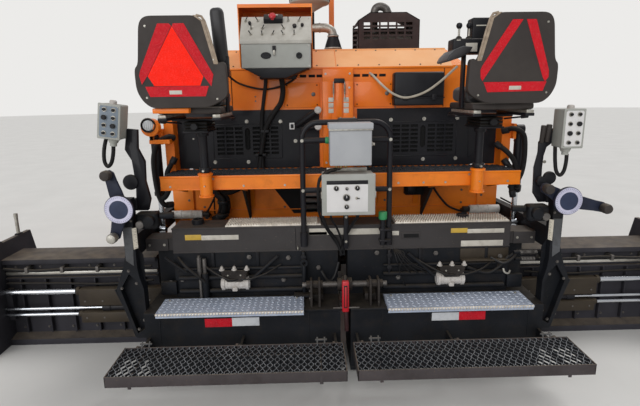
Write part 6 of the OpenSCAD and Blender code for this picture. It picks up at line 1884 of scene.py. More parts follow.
class PAVER_OT_extensions(Operator):
    """Covers, bright strips painted as highlights, hoses and end gates of the two sliding extensions"""
    bl_idname = "paver.extensions"
    bl_label = "Screed extensions"

    def execute(self, context):
        for side, hand in SIDES:
            self.dress(side, hand)
        return {"FINISHED"}

    @staticmethod
    def dress(side, hand):
        piece = bmesh.new()
        flip = sided(hand)
        x0, x1 = 1.282, 2.328
        y = EXTENSION_Y
        # Top cover with a turned rear lip, shelf, a bright strip that is a painted highlight along the ledge,
        # ribs and heater box
        add(piece, block((x0, y - 0.045, 0.594), (x1, y + 0.225, 0.6195), 0.005), 0, [flip])
        add(piece, block((x0, y - 0.046, 0.585), (x1, y - 0.038, 0.612), 0.002), 0, [flip])
        add(piece, block((x0, y - 0.020, 0.500), (x1, y, 0.521), 0.003), 1, [flip])
        add(piece, block((x0, y - 0.028, 0.470), (x1, y, 0.482), 0.003), 0, [flip])
        for k in range(6):
            x = x0 + 0.09 + k * 0.17
            add(piece, block((x, y - 0.034, 0.07), (x + 0.010, y + 0.001, 0.47), 0.002), 0, [flip])
            for z in (0.555, 0.10):
                at = (x + 0.04, y - 0.001, z)
                add(piece, bolt(0.010), 2, [flip @ facing(at, BACK)])
        add(piece, block((x0, y - 0.082, 0.012), (x1, y - 0.074, 0.044), 0.002), 0, [flip])
        # Ribbed hose and two lines along the cover, with clips
        add(piece, tube([(x0 + 0.02, y - 0.06, 0.560), (1.55, y - 0.066, 0.548), (1.82, y - 0.062, 0.556),
                         (2.08, y - 0.066, 0.546), (2.31, y - 0.06, 0.560)], 0.011, 8, 10, 0.08), 3, [flip])
        add(piece, tube([(x0 + 0.02, y - 0.05, 0.455), (1.60, y - 0.06, 0.437), (1.95, y - 0.056, 0.447),
                         (2.31, y - 0.05, 0.452)], 0.008, 8, 8), 3, [flip])
        for x in (1.42, 1.66, 1.90, 2.14):
            add(piece, block((x, y - 0.080, 0.532), (x + 0.022, y + 0.001, 0.572), 0.004), 2, [flip])
        finishes = ["enamel_black_dusty", "strip_painted_highlight", "steel_oiled", "rubber_hose"]
        finish_piece("extension_cover_" + side, piece, finishes, "extension_" + side)
        gate = bmesh.new()
        # End gate: sloped stiffening flange and two lift screws in their brackets
        inner, outer, screw_x = 2.331, 2.36, 2.347
        outline = [(y - 0.285, -0.0), (y - 0.285, 0.330), (y - 0.122, 0.736), (y - 0.105, 0.736),
                   (y - 0.265, 0.330), (y - 0.265, 0.0)]
        add(gate, prism(outline, "X", inner, outer, 0.002), 0, [flip])
        for dy in (-0.02, 0.22):
            add(gate, rod((screw_x, y + dy, 0.45), (screw_x, y + dy, 0.86), 0.012, 14), 1, [flip])
            add(gate, block((2.332, y + dy - 0.03, 0.70), (2.3595, y + dy + 0.03, 0.74), 0.004), 0, [flip])
            add(gate, lathe([(0, 0), (0.014, 0), (0.014, 0.030), (0, 0.032)], 16), 1,
                [flip @ Matrix.Translation((screw_x, y + dy, 0.855))])
        finish_piece("end_gate_" + side, gate, ["enamel_black_bitumen", "zinc_plate"], "extension_" + side)
        rods = bmesh.new()
        low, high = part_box("slide_rods_" + side)
        slide_y = (low.y + high.y) / 2
        y0, y1 = low.y, high.y
        # Sleeve blocks with clamp bolts, polished rods and the cylinder with its gland
        add(rods, block((1.140, y0, 0.300), (1.800, y1, 0.4207), 0.006), 0, [flip])
        add(rods, block((1.140, y0, 0.1743), (1.800, y1, 0.250), 0.006), 0, [flip])
        tip, upper, lower, ram = 2.330, 0.400, 0.232, 0.276
        for x0, x1, z, radius, sides, edge, finish in (
                (1.780, tip, upper, 0.020, 28, 0, 1), (1.780, tip, lower, 0.013, 24, 0, 1),
                (1.650, tip, ram, 0.011, 20, 0, 1), (1.230, 1.650, ram, 0.022, 28, 0.003, 2),
                (1.600, 1.655, ram, 0.026, 28, 0.003, 2)):
            add(rods, rod((x0, slide_y, z), (x1, slide_y, z), radius, sides, edge), finish, [flip])
        for z, radius in ((upper, 0.030), (lower, 0.022)):
            add(rods, rod((1.798, slide_y, z), (1.820, slide_y, z), radius, 28, 0.004), 0, [flip])
            add(rods, rod((1.820, slide_y, z), (1.826, slide_y, z), radius * 0.8, 24), 2, [flip])
        for x in (1.32, 1.48, 1.64, 1.76):
            for z in (0.335, 0.212):
                add(rods, bolt(0.010), 3, [flip @ facing((x, y0 + 0.005, z), BACK)])
        finish_piece("slide_gear_" + side, rods, ["oiled_sleeve_brown", "hard_chrome", "powder_coat_black",
                                                  "steel_oiled"], "extension_" + side,
                     ["slide_rods_" + side])


# Roof, grille, wheels, hopper and sides


def slotted(piece, y0, y1, box, columns, rows, finish=0):
    """A plate over box (x0, x1, z0, z1) with a slot at each column (x0, x1) and row (z0, z1)."""
    x0, x1, z0, z1 = box
    low, high = rows[0][0], rows[-1][1]
    add(piece, block((x0, y0, z0), (x1, y1, low)), finish)
    add(piece, block((x0, y0, high), (x1, y1, z1)), finish)
    sides = [x0] + [x for column in columns for x in column] + [x1]
    for a, b in zip(sides[0::2], sides[1::2]):
        add(piece, block((a, y0, low), (b, y1, high)), finish)
    for a, b in columns:
        for (_, below), (above, _) in zip(rows, rows[1:]):
            add(piece, block((a, y0, below), (b, y1, above)), finish)
            # Pressed lip over each slot
            add(piece, block((a, y0 - 0.003, below - 0.001), (b, y0 + 0.001, below + 0.003)), finish)


class PAVER_OT_grille(Operator):
    """Slotted steel grille plates of the rear wall, their studs, and the cooler core behind them"""
    bl_idname = "paver.grille"
    bl_label = "Louvred grille"

    def execute(self, context):
        front, top, bottom = -1.8403, 1.600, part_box("rear_grille")[0].z
        # The field of slots stands a little left of the middle; half is half the tall slot's width
        shift, half = 0.018, 0.018
        piece = bmesh.new()
        rows = [(1.299 + k * 0.0284, 1.3175 + k * 0.0284) for k in range(7)]
        for hand in HANDS:
            edges = [0.395 + k * 0.0625 for k in range(3)] + [0.640 + k * 0.0625 for k in range(3)]
            slots = [sorted((hand * u - shift, hand * (u + 0.051) - shift)) for u in edges]
            split = hand * 0.606 - shift
            for a, b in ((hand * 0.130, split - hand * half), (split + hand * half, hand * 1.100)):
                x0, x1 = sorted((a, b))
                columns = sorted(slot for slot in slots if x0 < slot[0] < x1)
                slotted(piece, front - 0.006, front, (x0, x1, bottom, top), columns, rows)
            # Tall slot between the two groups, with round ends
            for z0, z1 in ((bottom, 1.328), (1.482, top)):
                add(piece, block((split - half, front - 0.006, z0), (split + half, front, z1)))
            for z, lift in ((1.328, 1), (1.482, -1)):
                for side in (-1, 1):
                    add(piece, prism([(split + side * half, z), (split + side * half, z + lift * 0.016),
                                      (split + side * 0.008, z + lift * 0.004), (split, z)], "Y",
                                     front - 0.006, front))
            # Pressed rim round the slotted field
            z0, z1 = 1.272, 1.506
            x0, x1 = sorted((hand * 0.370 - shift, hand * 0.842 - shift))
            for z in (z0, z1):
                add(piece, block((x0, front - 0.009, z - 0.003), (x1, front - 0.004, z + 0.003), 0.002))
            for x in (x0, x1):
                add(piece, block((x - 0.003, front - 0.009, z0), (x + 0.003, front - 0.004, z1), 0.002))
            add(piece, prism([(hand * 0.90, 1.50), (hand * 0.985, 1.50), (hand * 0.95, 1.27),
                              (hand * 0.91, 1.25)], "Y", front - 0.010, front - 0.004, 0.003))
        PAVER_OT_rear_wall.tool_box_shapes(piece, 1)
        finish_piece("grille_plates", piece, ["powder_coat_black", "abs_black"], "chassis",
                     ["rear_grille"])
        studs = bmesh.new()
        for hand in HANDS:
            spots = [(0.84, 1.527), (0.61, 1.525), (0.38, 1.522), (0.84, 1.249), (0.61, 1.247), (0.28, 1.387)]
            bolts(studs, 0.014, BACK, [(hand * u - 0.016, front - 0.006, z) for u, z in spots])
            bolts(studs, 0.007, BACK, [(hand * 0.98 - 0.016, front - 0.006, z) for z in (1.473, 1.412)])
        add(studs, block((-0.335, -1.862, 1.467), (-0.298, -1.846, 1.512), 0.004), 1)
        add(studs, block((-0.327, -1.864, 1.475), (-0.306, -1.856, 1.504), 0.003), 2)
        finish_piece("grille_bolts", studs, ["zinc_plate", "film_white", "abs_black"], "chassis")
        # Cooler core behind the slots: a near-black block and fins in painted shade
        core = bmesh.new()
        count, z0, z1 = 34, 1.203, 1.556
        for x0, x1 in ((-0.94, -0.19), (0.19, 0.94)):
            add(core, block((x0, -1.833, z0), (x1, -1.806, z1)))
            step = (x1 - x0) / count
            add(core, block((0, -1.837, z0), (0.006, -1.832, z1)), 0,
                [(x0 + step * (k + 0.3), 0, 0) for k in range(count)])
        finish_piece("cooler_core", core, ["dark_core"], "chassis")
        return {"FINISHED"}


class PAVER_OT_roof_gear(Operator):
    """Slotted exhaust guard, muffler and pipe, air pipe with its boot, precleaner bowl, and work lamps"""
    bl_idname = "paver.roof_gear"
    bl_label = "Roof gear"

    def execute(self, context):
        self.guard()
        self.intake()
        self.mast_lamps()
        return {"FINISHED"}

    @staticmethod
    def guard():
        low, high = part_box("exhaust_guard")
        roof, rear, front = low.z, low.y, low.y + 0.5
        piece = bmesh.new()
        x0, x1, shoulder, top = 0.229, 0.751, 2.304, 2.366
        outer = [(x0, roof), (x0, shoulder), (0.330, top), (0.638, top), (x1, shoulder), (x1, roof)]
        middle = (x0 + x1) / 2
        inner = [(x + 0.005 * (1 if x < middle else -1), z - (0.005 if z > roof else 0)) for x, z in outer]
        # Roof and right side in one bent sheet; the left side is open slats
        bent = outer[2:] + inner[:1:-1]
        add(piece, prism(bent, "Y", rear, front))
        add(piece, prism([outer[1], outer[2], inner[2], inner[1]], "Y", rear, front))
        columns = [(0.278 + k * 0.0712, 0.334 + k * 0.0712) for k in range(6)]
        rows = [(2.151 + k * 0.0375, 2.174 + k * 0.0375) for k in range(4)]
        slotted(piece, rear, rear + 0.005, (x0, x1, roof, 2.300), columns, rows)
        add(piece, prism([(x0, 2.300), (x0, shoulder), (0.330, top), (0.638, top), (x1, shoulder),
                          (x1, 2.300)], "Y", rear, rear + 0.005))
        slotted(piece, front - 0.005, front, (x0, x1, roof, shoulder),
                [(a + 0.030, b + 0.030) for a, b in columns[:5]],
                [(a + 0.012, b + 0.012) for a, b in rows[:3]])
        for y in (rear, front - 0.03):
            add(piece, block((x0, y, roof), (x0 + 0.005, y + 0.03, shoulder)))
        for k in range(7):
            z = roof + 0.02 + k * 0.040
            slat = [(rear + 0.02, z), (front - 0.02, z + 0.05), (front - 0.02, z + 0.065),
                    (rear + 0.02, z + 0.015)]
            add(piece, prism(slat, "X", x0, x0 + 0.005))
        add(piece, block((low.x, rear, roof), (high.x, front, roof + 0.006), 0.002))
        bolts(piece, 0.010, UP, [(x, y, roof + 0.006) for x in (0.20, 0.762)
                                 for y in (rear + 0.04, rear + 0.25, front - 0.04)], 2)
        # Muffler drum with end seams, and its bent steel pipe
        y = rear + 0.25
        drum = [(0, 0), (0.09, 0.004), (0.104, 0.010), (0.108, 0.018), (0.104, 0.024), (0.104, 0.456),
                (0.108, 0.462), (0.104, 0.470), (0.09, 0.476), (0, 0.480)]
        add(piece, lathe(drum, 32), 1, [facing((0.25, y, roof + 0.13), RIGHT)])
        pipe = [(0.398, y, roof + 0.20), (0.396, y, 2.36), (0.404, y, 2.425), (0.432, y, 2.450),
                (0.470, y, 2.450), (0.502, y, 2.432), (0.516, y, 2.404)]
        add(piece, tube(pipe, 0.034, 24, 6), 2)
        add(piece, lathe([(0.026, -0.001), (0.034, 0), (0.037, 0.002), (0.037, 0.008), (0.026, 0.006)], 24),
            2, [facing((0.516, y, 2.404), (0.4, 0, -1))])
        add(piece, lathe([(0.034, 0), (0.041, 0), (0.041, 0.014), (0.034, 0.014)], 24), 2,
            [Vector((0.397, y, 2.35))])
        finish_piece("exhaust_gear", piece, ["heat_paint_brown", "scaled_steel", "steel_oiled"], "chassis",
                     ["exhaust_guard"])

    @staticmethod
    def intake():
        roof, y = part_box("air_intake")[0].z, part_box("exhaust_guard")[0].y
        stack_x, boot_x, bowl_x = -0.165, 0.018, -0.175
        piece = bmesh.new()
        # Stack, silver pipe that turns down over the hood, and its rubber boot with two clamps
        add(piece, rod((stack_x, y, roof), (stack_x, y, 2.40), 0.028, 24), 3)
        pipe = [(stack_x, y, 2.245), (-0.09, y, 2.247), (-0.03, y, 2.243), (0.004, y, 2.222),
                (0.016, y, 2.185), (0.020, y, 2.150)]
        add(piece, tube(pipe, 0.036, 24, 6), 1)
        boot = [(0, 2.00), (0.074, 2.00), (0.074, 2.060), (0.071, 2.085), (0.066, 2.105), (0.058, 2.130),
                (0.046, 2.165), (0.043, 2.190), (0, 2.190)]
        add(piece, lathe(boot, 32), 0, [Vector((boot_x, y, 0))])
        for radius, z in ((0.076, 2.030), (0.073, 2.072), (0.046, 2.172)):
            ring = [(radius - 0.006, 0), (radius, 0), (radius + 0.002, 0.004), (radius + 0.002, 0.010),
                    (radius, 0.014), (radius - 0.006, 0.014)]
            add(piece, lathe(ring, 32), 1, [Vector((boot_x, y, z))])
            screw_y, screw_z = y - radius - 0.004, z + 0.007
            add(piece, rod((boot_x - 0.012, screw_y, screw_z), (boot_x + 0.016, screw_y, screw_z), 0.005,
                           10), 1)
        add(piece, lathe([(0.036, 0), (0.040, 0.001), (0.040, 0.012), (0.036, 0.013)], 24), 1,
            [facing((-0.10, y, 2.247), RIGHT)])
        # Bowl of the precleaner on its funnel, with a rain cap
        bowl = [(0, 2.36), (0.032, 2.36), (0.040, 2.375), (0.120, 2.420), (0.158, 2.432), (0.166, 2.440),
                (0.166, 2.500), (0.160, 2.512), (0.172, 2.520), (0.172, 2.532), (0.150, 2.565),
                (0.100, 2.598), (0.040, 2.615), (0, 2.617)]
        add(piece, lathe(bowl, 48), 2, [Vector((bowl_x, y, 0))])
        for k in range(24):
            angle = k * math.tau / 24
            vane = block((0.160, -0.0015, 2.446), (0.169, 0.0015, 2.496))
            add(piece, vane, 3, [Matrix.Translation((bowl_x, y, 0)) @ Matrix.Rotation(angle, 4, "Z")])
        finish_piece("air_gear", piece, ["abs_black", "zinc_plate", "powder_coat_grey", "powder_coat_black"],
                     "chassis", ["air_intake"])

    @staticmethod
    def mast_lamps():
        low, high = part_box("lamp_mast")
        piece = bmesh.new()
        middle = (low.x + high.x) / 2
        for x in (low.x + 0.055, high.x - 0.055):
            for way, y in ((-1, low.y), (1, high.y)):
                case = [(0, 0), (0.036, 0), (0.044, -0.006), (0.046, -0.03), (0.030, -0.05), (0, -0.052)]
                add(piece, lathe(case, 28), 0, [facing((x, y + way * 0.050, high.z - 0.085), (0, way, 0))])
                lens = [(0, 0.003), (0.020, 0.003), (0.036, 0.001), (0.040, -0.001), (0, -0.002)]
                add(piece, lathe(lens, 28), 1, [facing((x, y + way * 0.050, high.z - 0.085), (0, way, 0))])
            add(piece, block((x - 0.012, low.y + 0.02, high.z - 0.100),
                             (x + 0.012, high.y - 0.02, high.z - 0.055), 0.003))
        add(piece, rod((middle, (low.y + high.y) / 2, high.z), (middle, (low.y + high.y) / 2, high.z + 0.012),
                       0.022, 20, 0.003), 2)
        finish_piece("mast_lamps", piece, ["powder_coat_black", "lamp_glass", "zinc_plate"], "chassis")


class PAVER_OT_wheels(Operator):
    """Wheel nuts, hub caps, valve and rubber ribs of the rear and front wheels"""
    bl_idname = "paver.wheels"
    bl_label = "Wheel fittings"

    def execute(self, context):
        for side, hand in SIDES:
            self.rear(side, hand)
            self.front(side, hand)
        return {"FINISHED"}

    @staticmethod
    def place(node, hand, x):
        """A matrix that puts +Z outward along the wheel's axis, at x from the middle plane."""
        low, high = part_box(node)
        return facing((hand * x, (low.y + high.y) / 2, (low.z + high.z) / 2), (hand, 0, 0))

    def rear(self, side, hand):
        rim = "rear_rim_" + side
        low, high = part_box(rim)
        outer = max(abs(low.x), abs(high.x))
        web = outer - 0.125
        piece = bmesh.new()
        hub = self.place(rim, hand, web - 0.025)
        for k in range(10):
            turn = Matrix.Rotation(k * math.tau / 10, 4, "Z") @ Matrix.Translation((0.110, 0, 0))
            add(piece, rod((0, 0, 0), (0, 0, 0.034), 0.011, 12, 0.002), 0, [hub @ turn])
            nut = lathe([(0, 0), (0.021, 0), (0.019, 0.006), (0.019, 0.020), (0.015, 0.024), (0, 0.024)], 6)
            add(piece, nut, 0, [hub @ turn])
        face = self.place(rim, hand, web)
        for radius in (0.190, 0.312):
            bead = [(radius - 0.008, -0.002), (radius - 0.004, 0.004), (radius + 0.002, 0.003),
                    (radius + 0.004, -0.002)]
            add(piece, lathe(bead, 64), 1, [face])
        # Holes in the web: shallow dishes in painted shade
        for k in range(6):
            hole = lathe([(0.022, -0.001), (0.026, 0.002), (0.020, 0.003), (0, 0.002), (0, -0.001)], 20)
            turn = Matrix.Rotation((k + 0.5) * math.tau / 6, 4, "Z") @ Matrix.Translation((0.250, 0, 0))
            add(piece, hole, 2, [face @ turn])
        add(piece, rod((0.285, 0.02, -0.004), (0.292, 0.02, 0.038), 0.005, 10, 0.001), 3, [face])
        flange = [(0.334, 0), (0.350, 0.002), (0.356, 0.008), (0.352, 0.014), (0.340, 0.012), (0.334, 0.004)]
        add(piece, lathe(flange, 64), 1, [self.place(rim, hand, outer - 0.004)])
        finish_piece("rim_fittings_" + side, piece,
                     ["steel_oiled", "enamel_rim_orange", "dark_core", "rubber_hose"], "rear_wheel_" + side)
        ribs = bmesh.new()
        tyre = "rear_tyre_" + side
        t_low, t_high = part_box(tyre)
        wall = max(abs(t_low.x), abs(t_high.x)) - 0.012
        inner = min(abs(t_low.x), abs(t_high.x)) + 0.012
        radius = (t_high.z - t_low.z) / 2 - 0.030
        for x, sign in ((wall, 1), (inner, -1)):
            place = self.place(tyre, hand, x)
            for r in (radius - 0.172, radius - 0.066):
                bead = [(r - 0.006, -0.002), (r - 0.003, sign * 0.005), (r + 0.003, sign * 0.005),
                        (r + 0.006, -0.002)]
                add(ribs, lathe(bead, 96), 0, [place])
        finish_piece("tyre_ribs_" + side, ribs, ["rubber_tyre"], "rear_wheel_" + side)
        cap = bmesh.new()
        hub_low, hub_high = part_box("axles")
        end = self.place(rim, hand, max(abs(hub_low.x), abs(hub_high.x)))
        add(cap, lathe([(0, 0), (0.056, 0), (0.056, 0.008), (0.050, 0.014), (0.022, 0.018), (0, 0.018)], 40),
            1, [end])
        for k in range(6):
            add(cap, bolt(0.010), 0, [end @ Matrix.Rotation(k * math.tau / 6, 4, "Z")
                                      @ Matrix.Translation((0.043, 0, 0.012))])
        finish_piece("hub_cap_" + side, cap, ["steel_oiled", "enamel_chassis"], "chassis")

    def front(self, side, hand):
        wheel = "front_wheel_" + side
        low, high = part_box(wheel)
        outer = max(abs(low.x), abs(high.x))
        piece = bmesh.new()
        face = self.place(wheel, hand, outer - 0.050)
        add(piece, lathe([(0.062, 0), (0.128, 0), (0.128, 0.004), (0.062, 0.005), (0.062, 0)], 56), 1, [face])
        for k in range(8):
            add(piece, bolt(0.014), 0, [face @ Matrix.Rotation(k * math.tau / 8, 4, "Z")
                                        @ Matrix.Translation((0.095, 0, 0.004))])
        hub = self.place(wheel, hand, outer - 0.020)
        add(piece, lathe([(0.037, 0), (0.058, 0), (0.056, 0.004), (0.037, 0.005), (0.037, 0)], 40), 1, [hub])
        radius = (high.z - low.z) / 2
        for r in (0.158, radius - 0.028):
            bead = [(r - 0.005, -0.001), (r - 0.002, 0.004), (r + 0.002, 0.004), (r + 0.005, -0.001)]
            add(piece, lathe(bead, 72), 2, [self.place(wheel, hand, outer)])
        finish_piece("front_wheel_fittings_" + side, piece,
                     ["steel_oiled", "enamel_rim_orange", "rubber_tyre"], "front_wheel_" + side)


class PAVER_OT_hopper(Operator):
    """Rubber apron, rims, wear bars and bolts of the hopper, its wings and the push beam"""
    bl_idname = "paver.hopper"
    bl_label = "Hopper fittings"

    def execute(self, context):
        low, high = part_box("hopper_body")
        front = high.y
        piece = bmesh.new()
        # Rubber apron with its clamp bar on the front lip
        add(piece, block((-0.66, front + 0.001, 0.570), (0.66, front + 0.009, 0.748), 0.002))
        add(piece, block((-0.66, front + 0.009, 0.705), (0.66, front + 0.015, 0.740), 0.002), 1)
        bolts(piece, 0.013, AHEAD, [(-0.60 + k * 0.15, front + 0.015, 0.7225) for k in range(9)], 2)
        add(piece, block((-0.68, front - 0.012, 0.756), (0.68, front + 0.004, 0.766), 0.003), 1)
        # Wear bars and seams of the rear wall
        for x in (-0.50, 0.50):
            add(piece, block((x - 0.02, low.y + 0.012, 0.97), (x + 0.02, low.y + 0.022, 1.48), 0.003), 3)
        add(piece, block((-0.68, low.y - 0.004, 1.488), (0.68, low.y + 0.020, 1.506), 0.004), 3)
        bolts(piece, 0.012, AHEAD, [(x, low.y + 0.0125, z) for x in (-0.62, -0.30, 0.0, 0.30, 0.62)
                                    for z in (1.02, 1.44)], 2)
        finish_piece("hopper_fittings", piece,
                     ["rubber_hose", "caked_steel", "steel_oiled", "enamel_stained"], "chassis")
        for side, hand in SIDES:
            self.wing(side, hand)
        self.push_beam()
        return {"FINISHED"}

    @staticmethod
    def wing(side, hand):
        low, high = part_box("wing_" + side)
        top, outer = high.z, max(abs(low.x), abs(high.x))
        piece = bmesh.new()
        flip = sided(hand)
        y0, y1 = low.y, high.y
        # Rolled rim on top of the wall, welded stiffeners outside, and the steel liner's bolts
        add(piece, rod((outer - 0.007, y0, top), (outer - 0.007, y1, top), 0.014, 16, 0.003), 0, [flip])
        ribs = 4
        for k in range(ribs):
            y = y0 + (y1 - y0) * (k + 0.5) / ribs
            slant = [(outer - 0.002, top - 0.02), (outer + 0.020, top - 0.04), (outer - 0.050, top - 0.30),
                     (outer - 0.078, top - 0.31)]
            add(piece, prism(slant, "Y", y - 0.006, y + 0.006, 0.001), 0, [flip])
        spots = [(0.80 + k * 0.16, y0 + (y1 - y0) * m) for k in range(4) for m in (0.06, 0.36, 0.64, 0.94)]
        for x, y in spots:
            z = 0.688 + (x - 0.68) * 0.146
            head = lathe([(0.011, 0), (0.008, 0.004), (0, 0.005)], 12)
            add(piece, head, 1, [flip @ Matrix.Translation((x, y, z))])
        finish_piece("wing_fittings_" + side, piece, ["enamel_stained", "steel_oiled"], "wing_" + side)

    @staticmethod
    def push_beam():
        low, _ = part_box("push_beam")
        roller_low, roller_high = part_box("push_roller_right")
        z = (roller_low.z + roller_high.z) / 2
        y = (roller_low.y + roller_high.y) / 2
        piece = bmesh.new()
        for hand in HANDS:
            for x in (0.145, 0.780):
                cap = lathe([(0.026, 0), (0.046, 0), (0.046, 0.010), (0.026, 0.012)], 28)
                add(piece, cap, 0, [facing((hand * x, y, z), (hand, 0, 0))])
            for x in (0.32, 0.48, 0.64):
                add(piece, bolt(0.017), 1, [facing((hand * x, low.y + 0.300, z + 0.055), AHEAD)])
                add(piece, bolt(0.017), 1, [facing((hand * x, low.y + 0.300, z - 0.055), AHEAD)])
        finish_piece("push_beam_fittings", piece, ["caked_steel", "steel_oiled"], "chassis")


class PAVER_OT_body_sides(Operator):
    """Doors, vents, latches, hinges and grab rails of the hood, and fittings of the arms and cylinders"""
    bl_idname = "paver.body_sides"
    bl_label = "Hood sides and arms"

    def execute(self, context):
        self.doors()
        self.roof_rails()
        self.arms()
        self.cylinders()
        return {"FINISHED"}

    @staticmethod
    def doors():
        low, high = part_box("body_shell")
        wide = high.x
        knee, shoulder_x, shoulder_z = Vector((wide, 1.700)), 0.870, 1.880
        slope = Vector((shoulder_x, shoulder_z)) - knee
        out = Vector((-slope.y, slope.x)).normalized()
        if out.x < 0:
            out = -out
        piece = bmesh.new()
        lengths = ((low.y + 0.08, low.y + 0.72), (low.y + 0.74, low.y + 1.40), (low.y + 1.42, high.y - 0.08))
        for hand in HANDS:
            flip = sided(hand)
            for y0, y1 in lengths:
                a, b = knee + slope * 0.08, knee + slope * 0.92
                plate = [tuple(a), tuple(b), tuple(b + out * 0.004), tuple(a + out * 0.004)]
                add(piece, prism(plate, "Y", y0, y1, 0.001), 0, [flip])
                for y in (y0 + 0.07, y1 - 0.07):
                    spot = knee + slope * 0.2 + out * 0.004
                    face = facing((spot.x, y, spot.y), (out.x, 0, out.y))
                    latch = lathe([(0, 0), (0.022, 0), (0.022, 0.005), (0.012, 0.008), (0, 0.008)], 24)
                    add(piece, latch, 2, [flip @ face])
                    hinge = knee + slope * 0.93 + out * 0.005
                    add(piece, rod((hinge.x, y - 0.035, hinge.y), (hinge.x, y + 0.035, hinge.y), 0.007, 12),
                        2, [flip])
                # Five pressed vents in each door, each a strip of painted shade under its hood
                for k in range(5):
                    y = (y0 + y1) / 2 - 0.16 + k * 0.08
                    c, d = knee + slope * 0.38, knee + slope * 0.74
                    vent = [tuple(c + out * 0.004), tuple(d + out * 0.004), tuple(d + out * 0.0055),
                            tuple(c + out * 0.0055)]
                    add(piece, prism(vent, "Y", y, y + 0.016), 1, [flip])
                    hood = [tuple(c + out * 0.004), tuple(d + out * 0.004), tuple(d + out * 0.014),
                            tuple(c + out * 0.014)]
                    add(piece, prism(hood, "Y", y + 0.016, y + 0.020), 0, [flip])
            # Bolts along the lower side
            for k in range(8):
                add(piece, bolt(0.012), 2, [flip @ facing((wide, low.y + 0.1 + k * 0.28, 1.66), RIGHT)])
        finish_piece("hood_doors", piece, ["enamel_orange", "dark_core", "zinc_plate"], "chassis")

    @staticmethod
    def roof_rails():
        low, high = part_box("body_shell")
        piece = bmesh.new()
        top = high.z
        for hand in HANDS:
            y0, y1 = low.y + 1.25, high.y - 0.12
            x = hand * 0.70
            rail = [(x, y0, top), (x, y0, top + 0.04), (x, y0 + 0.05, top + 0.07), (x, y1 - 0.05, top + 0.07),
                    (x, y1, top + 0.04), (x, y1, top)]
            add(piece, tube(rail, 0.012, 12, 5))
            add(piece, rod((x, (y0 + y1) / 2, top), (x, (y0 + y1) / 2, top + 0.07), 0.010, 12))
        # Hatch over the engine with a handle, its bolts, and the filler cap
        y0 = high.y - 0.62
        add(piece, block((-0.42, y0, top), (0.42, high.y - 0.06, top + 0.005), 0.002), 1)
        add(piece, tube([(-0.06, y0 + 0.06, top + 0.004), (-0.06, y0 + 0.06, top + 0.03),
                         (0.06, y0 + 0.06, top + 0.03), (0.06, y0 + 0.06, top + 0.004)], 0.006, 8, 4), 2)
        add(piece, lathe([(0, 0), (0.045, 0), (0.045, 0.010), (0.040, 0.024), (0.018, 0.030), (0, 0.030)],
                         28), 2, [Vector((0.55, high.y - 0.2, top))])
        for x in (-0.30, 0.30):
            for y in (y0 + 0.03, high.y - 0.09):
                add(piece, bolt(0.011), 3, [Vector((x, y, top + 0.005))])
        finish_piece("roof_rails", piece, ["powder_coat_black", "enamel_orange", "abs_black", "zinc_plate"],
                     "chassis")

    @staticmethod
    def arms():
        low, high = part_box("tow_arms")
        piece = bmesh.new()
        outer = high.x
        y, z = high.y - 0.062, 0.500
        for hand in HANDS:
            flip = sided(hand)
            cap = lathe([(0.031, 0), (0.075, 0), (0.075, 0.010), (0.070, 0.014), (0.031, 0.014)], 36)
            add(piece, cap, 0, [flip @ facing((outer, y, z), RIGHT)])
            for k in range(5):
                angle = k * math.tau / 5
                at = (outer + 0.012, y + 0.054 * math.cos(angle), z + 0.054 * math.sin(angle))
                add(piece, bolt(0.012), 1, [flip @ facing(at, RIGHT)])
            # Stiffening strip and joint bolts along the arm
            for k in range(4):
                add(piece, bolt(0.020), 1, [flip @ facing((outer, low.y + 0.18 + k * 0.10, 0.812), RIGHT)])
            add(piece, block((outer, low.y + 0.10, 0.866), (outer + 0.010, low.y + 0.90, 0.878), 0.003), 0,
                [flip])
            add(piece, block((outer, low.y + 0.10, 0.747), (outer + 0.010, low.y + 0.90, 0.759), 0.003), 0,
                [flip])
        finish_piece("arm_fittings", piece, ["enamel_black_bitumen", "steel_oiled"], "screed")

    @staticmethod
    def cylinders():
        for side, _ in SIDES:
            low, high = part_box("lift_barrel_" + side)
            x, y = (low.x + high.x) / 2, (low.y + high.y) / 2
            piece = bmesh.new()
            for z, r in ((low.z, 0.038), (low.z + 0.355, 0.036)):
                add(piece, lathe([(0.032, 0), (r, 0.002), (r, 0.026), (0.032, 0.028)], 32), 0,
                    [Vector((x, y, z))])
            for z in (low.z + 0.06, low.z + 0.33):
                add(piece, rod((x, y + 0.030, z), (x, y + 0.050, z), 0.012, 12, 0.002), 1)
                add(piece, disc(0.015, 0.012, 6), 1,
                    [facing((x, y + 0.046, z), AHEAD)])
            finish_piece("cylinder_fittings_" + side, piece, ["powder_coat_black", "zinc_plate"],
                         "lift_barrel_" + side)


# The order of the steps, the panel, and the add-on's registration

STEPS = ("stage", "finishes", "walkways", "tread_plates", "seats", "console", "control_boxes", "rear_wall",
         "deck", "beam", "screed", "ends", "extensions", "grille", "roof_gear", "wheels", "hopper",
         "body_sides")


class PAVER_PT_panel(Panel):
    """Lists the operators and the sizes"""
    bl_idname = "PAVER_PT_panel"
    bl_label = "Asphalt Paver"
    bl_space_type = "VIEW_3D"
    bl_region_type = "UI"
    bl_category = "Paver"

    def draw(self, context):
        for name in STEPS:
            self.layout.operator("paver." + name)
        for settings in (context.scene.paver_treads, context.scene.paver_colours, context.scene.paver_stage):
            for key in settings.__annotations__:
                self.layout.prop(settings, key)


CLASSES = (PaverTreadSettings, PaverColourSettings, PaverStageSettings, PAVER_OT_stage, PAVER_OT_finishes,
           PAVER_OT_walkways, PAVER_OT_tread_plates, PAVER_OT_seats, PAVER_OT_console, PAVER_OT_control_boxes,
           PAVER_OT_rear_wall, PAVER_OT_deck, PAVER_OT_beam, PAVER_OT_screed, PAVER_OT_ends,
           PAVER_OT_extensions, PAVER_OT_grille, PAVER_OT_roof_gear, PAVER_OT_wheels, PAVER_OT_hopper,
           PAVER_OT_body_sides, PAVER_PT_panel)


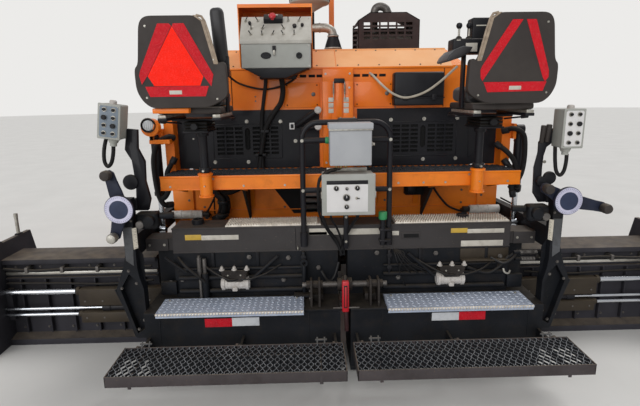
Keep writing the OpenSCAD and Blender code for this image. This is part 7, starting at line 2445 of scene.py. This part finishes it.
def register():
    for cls in CLASSES:
        bpy.utils.register_class(cls)
    bpy.types.Scene.paver_treads = PointerProperty(type=PaverTreadSettings)
    bpy.types.Scene.paver_colours = PointerProperty(type=PaverColourSettings)
    bpy.types.Scene.paver_stage = PointerProperty(type=PaverStageSettings)


def unregister():
    del bpy.types.Scene.paver_stage
    del bpy.types.Scene.paver_colours
    del bpy.types.Scene.paver_treads
    for cls in reversed(CLASSES):
        bpy.utils.unregister_class(cls)


def main():
    """Builds everything in order."""
    register()
    for name in STEPS:
        getattr(bpy.ops.paver, name)()


if __name__ == "__main__":
    main()
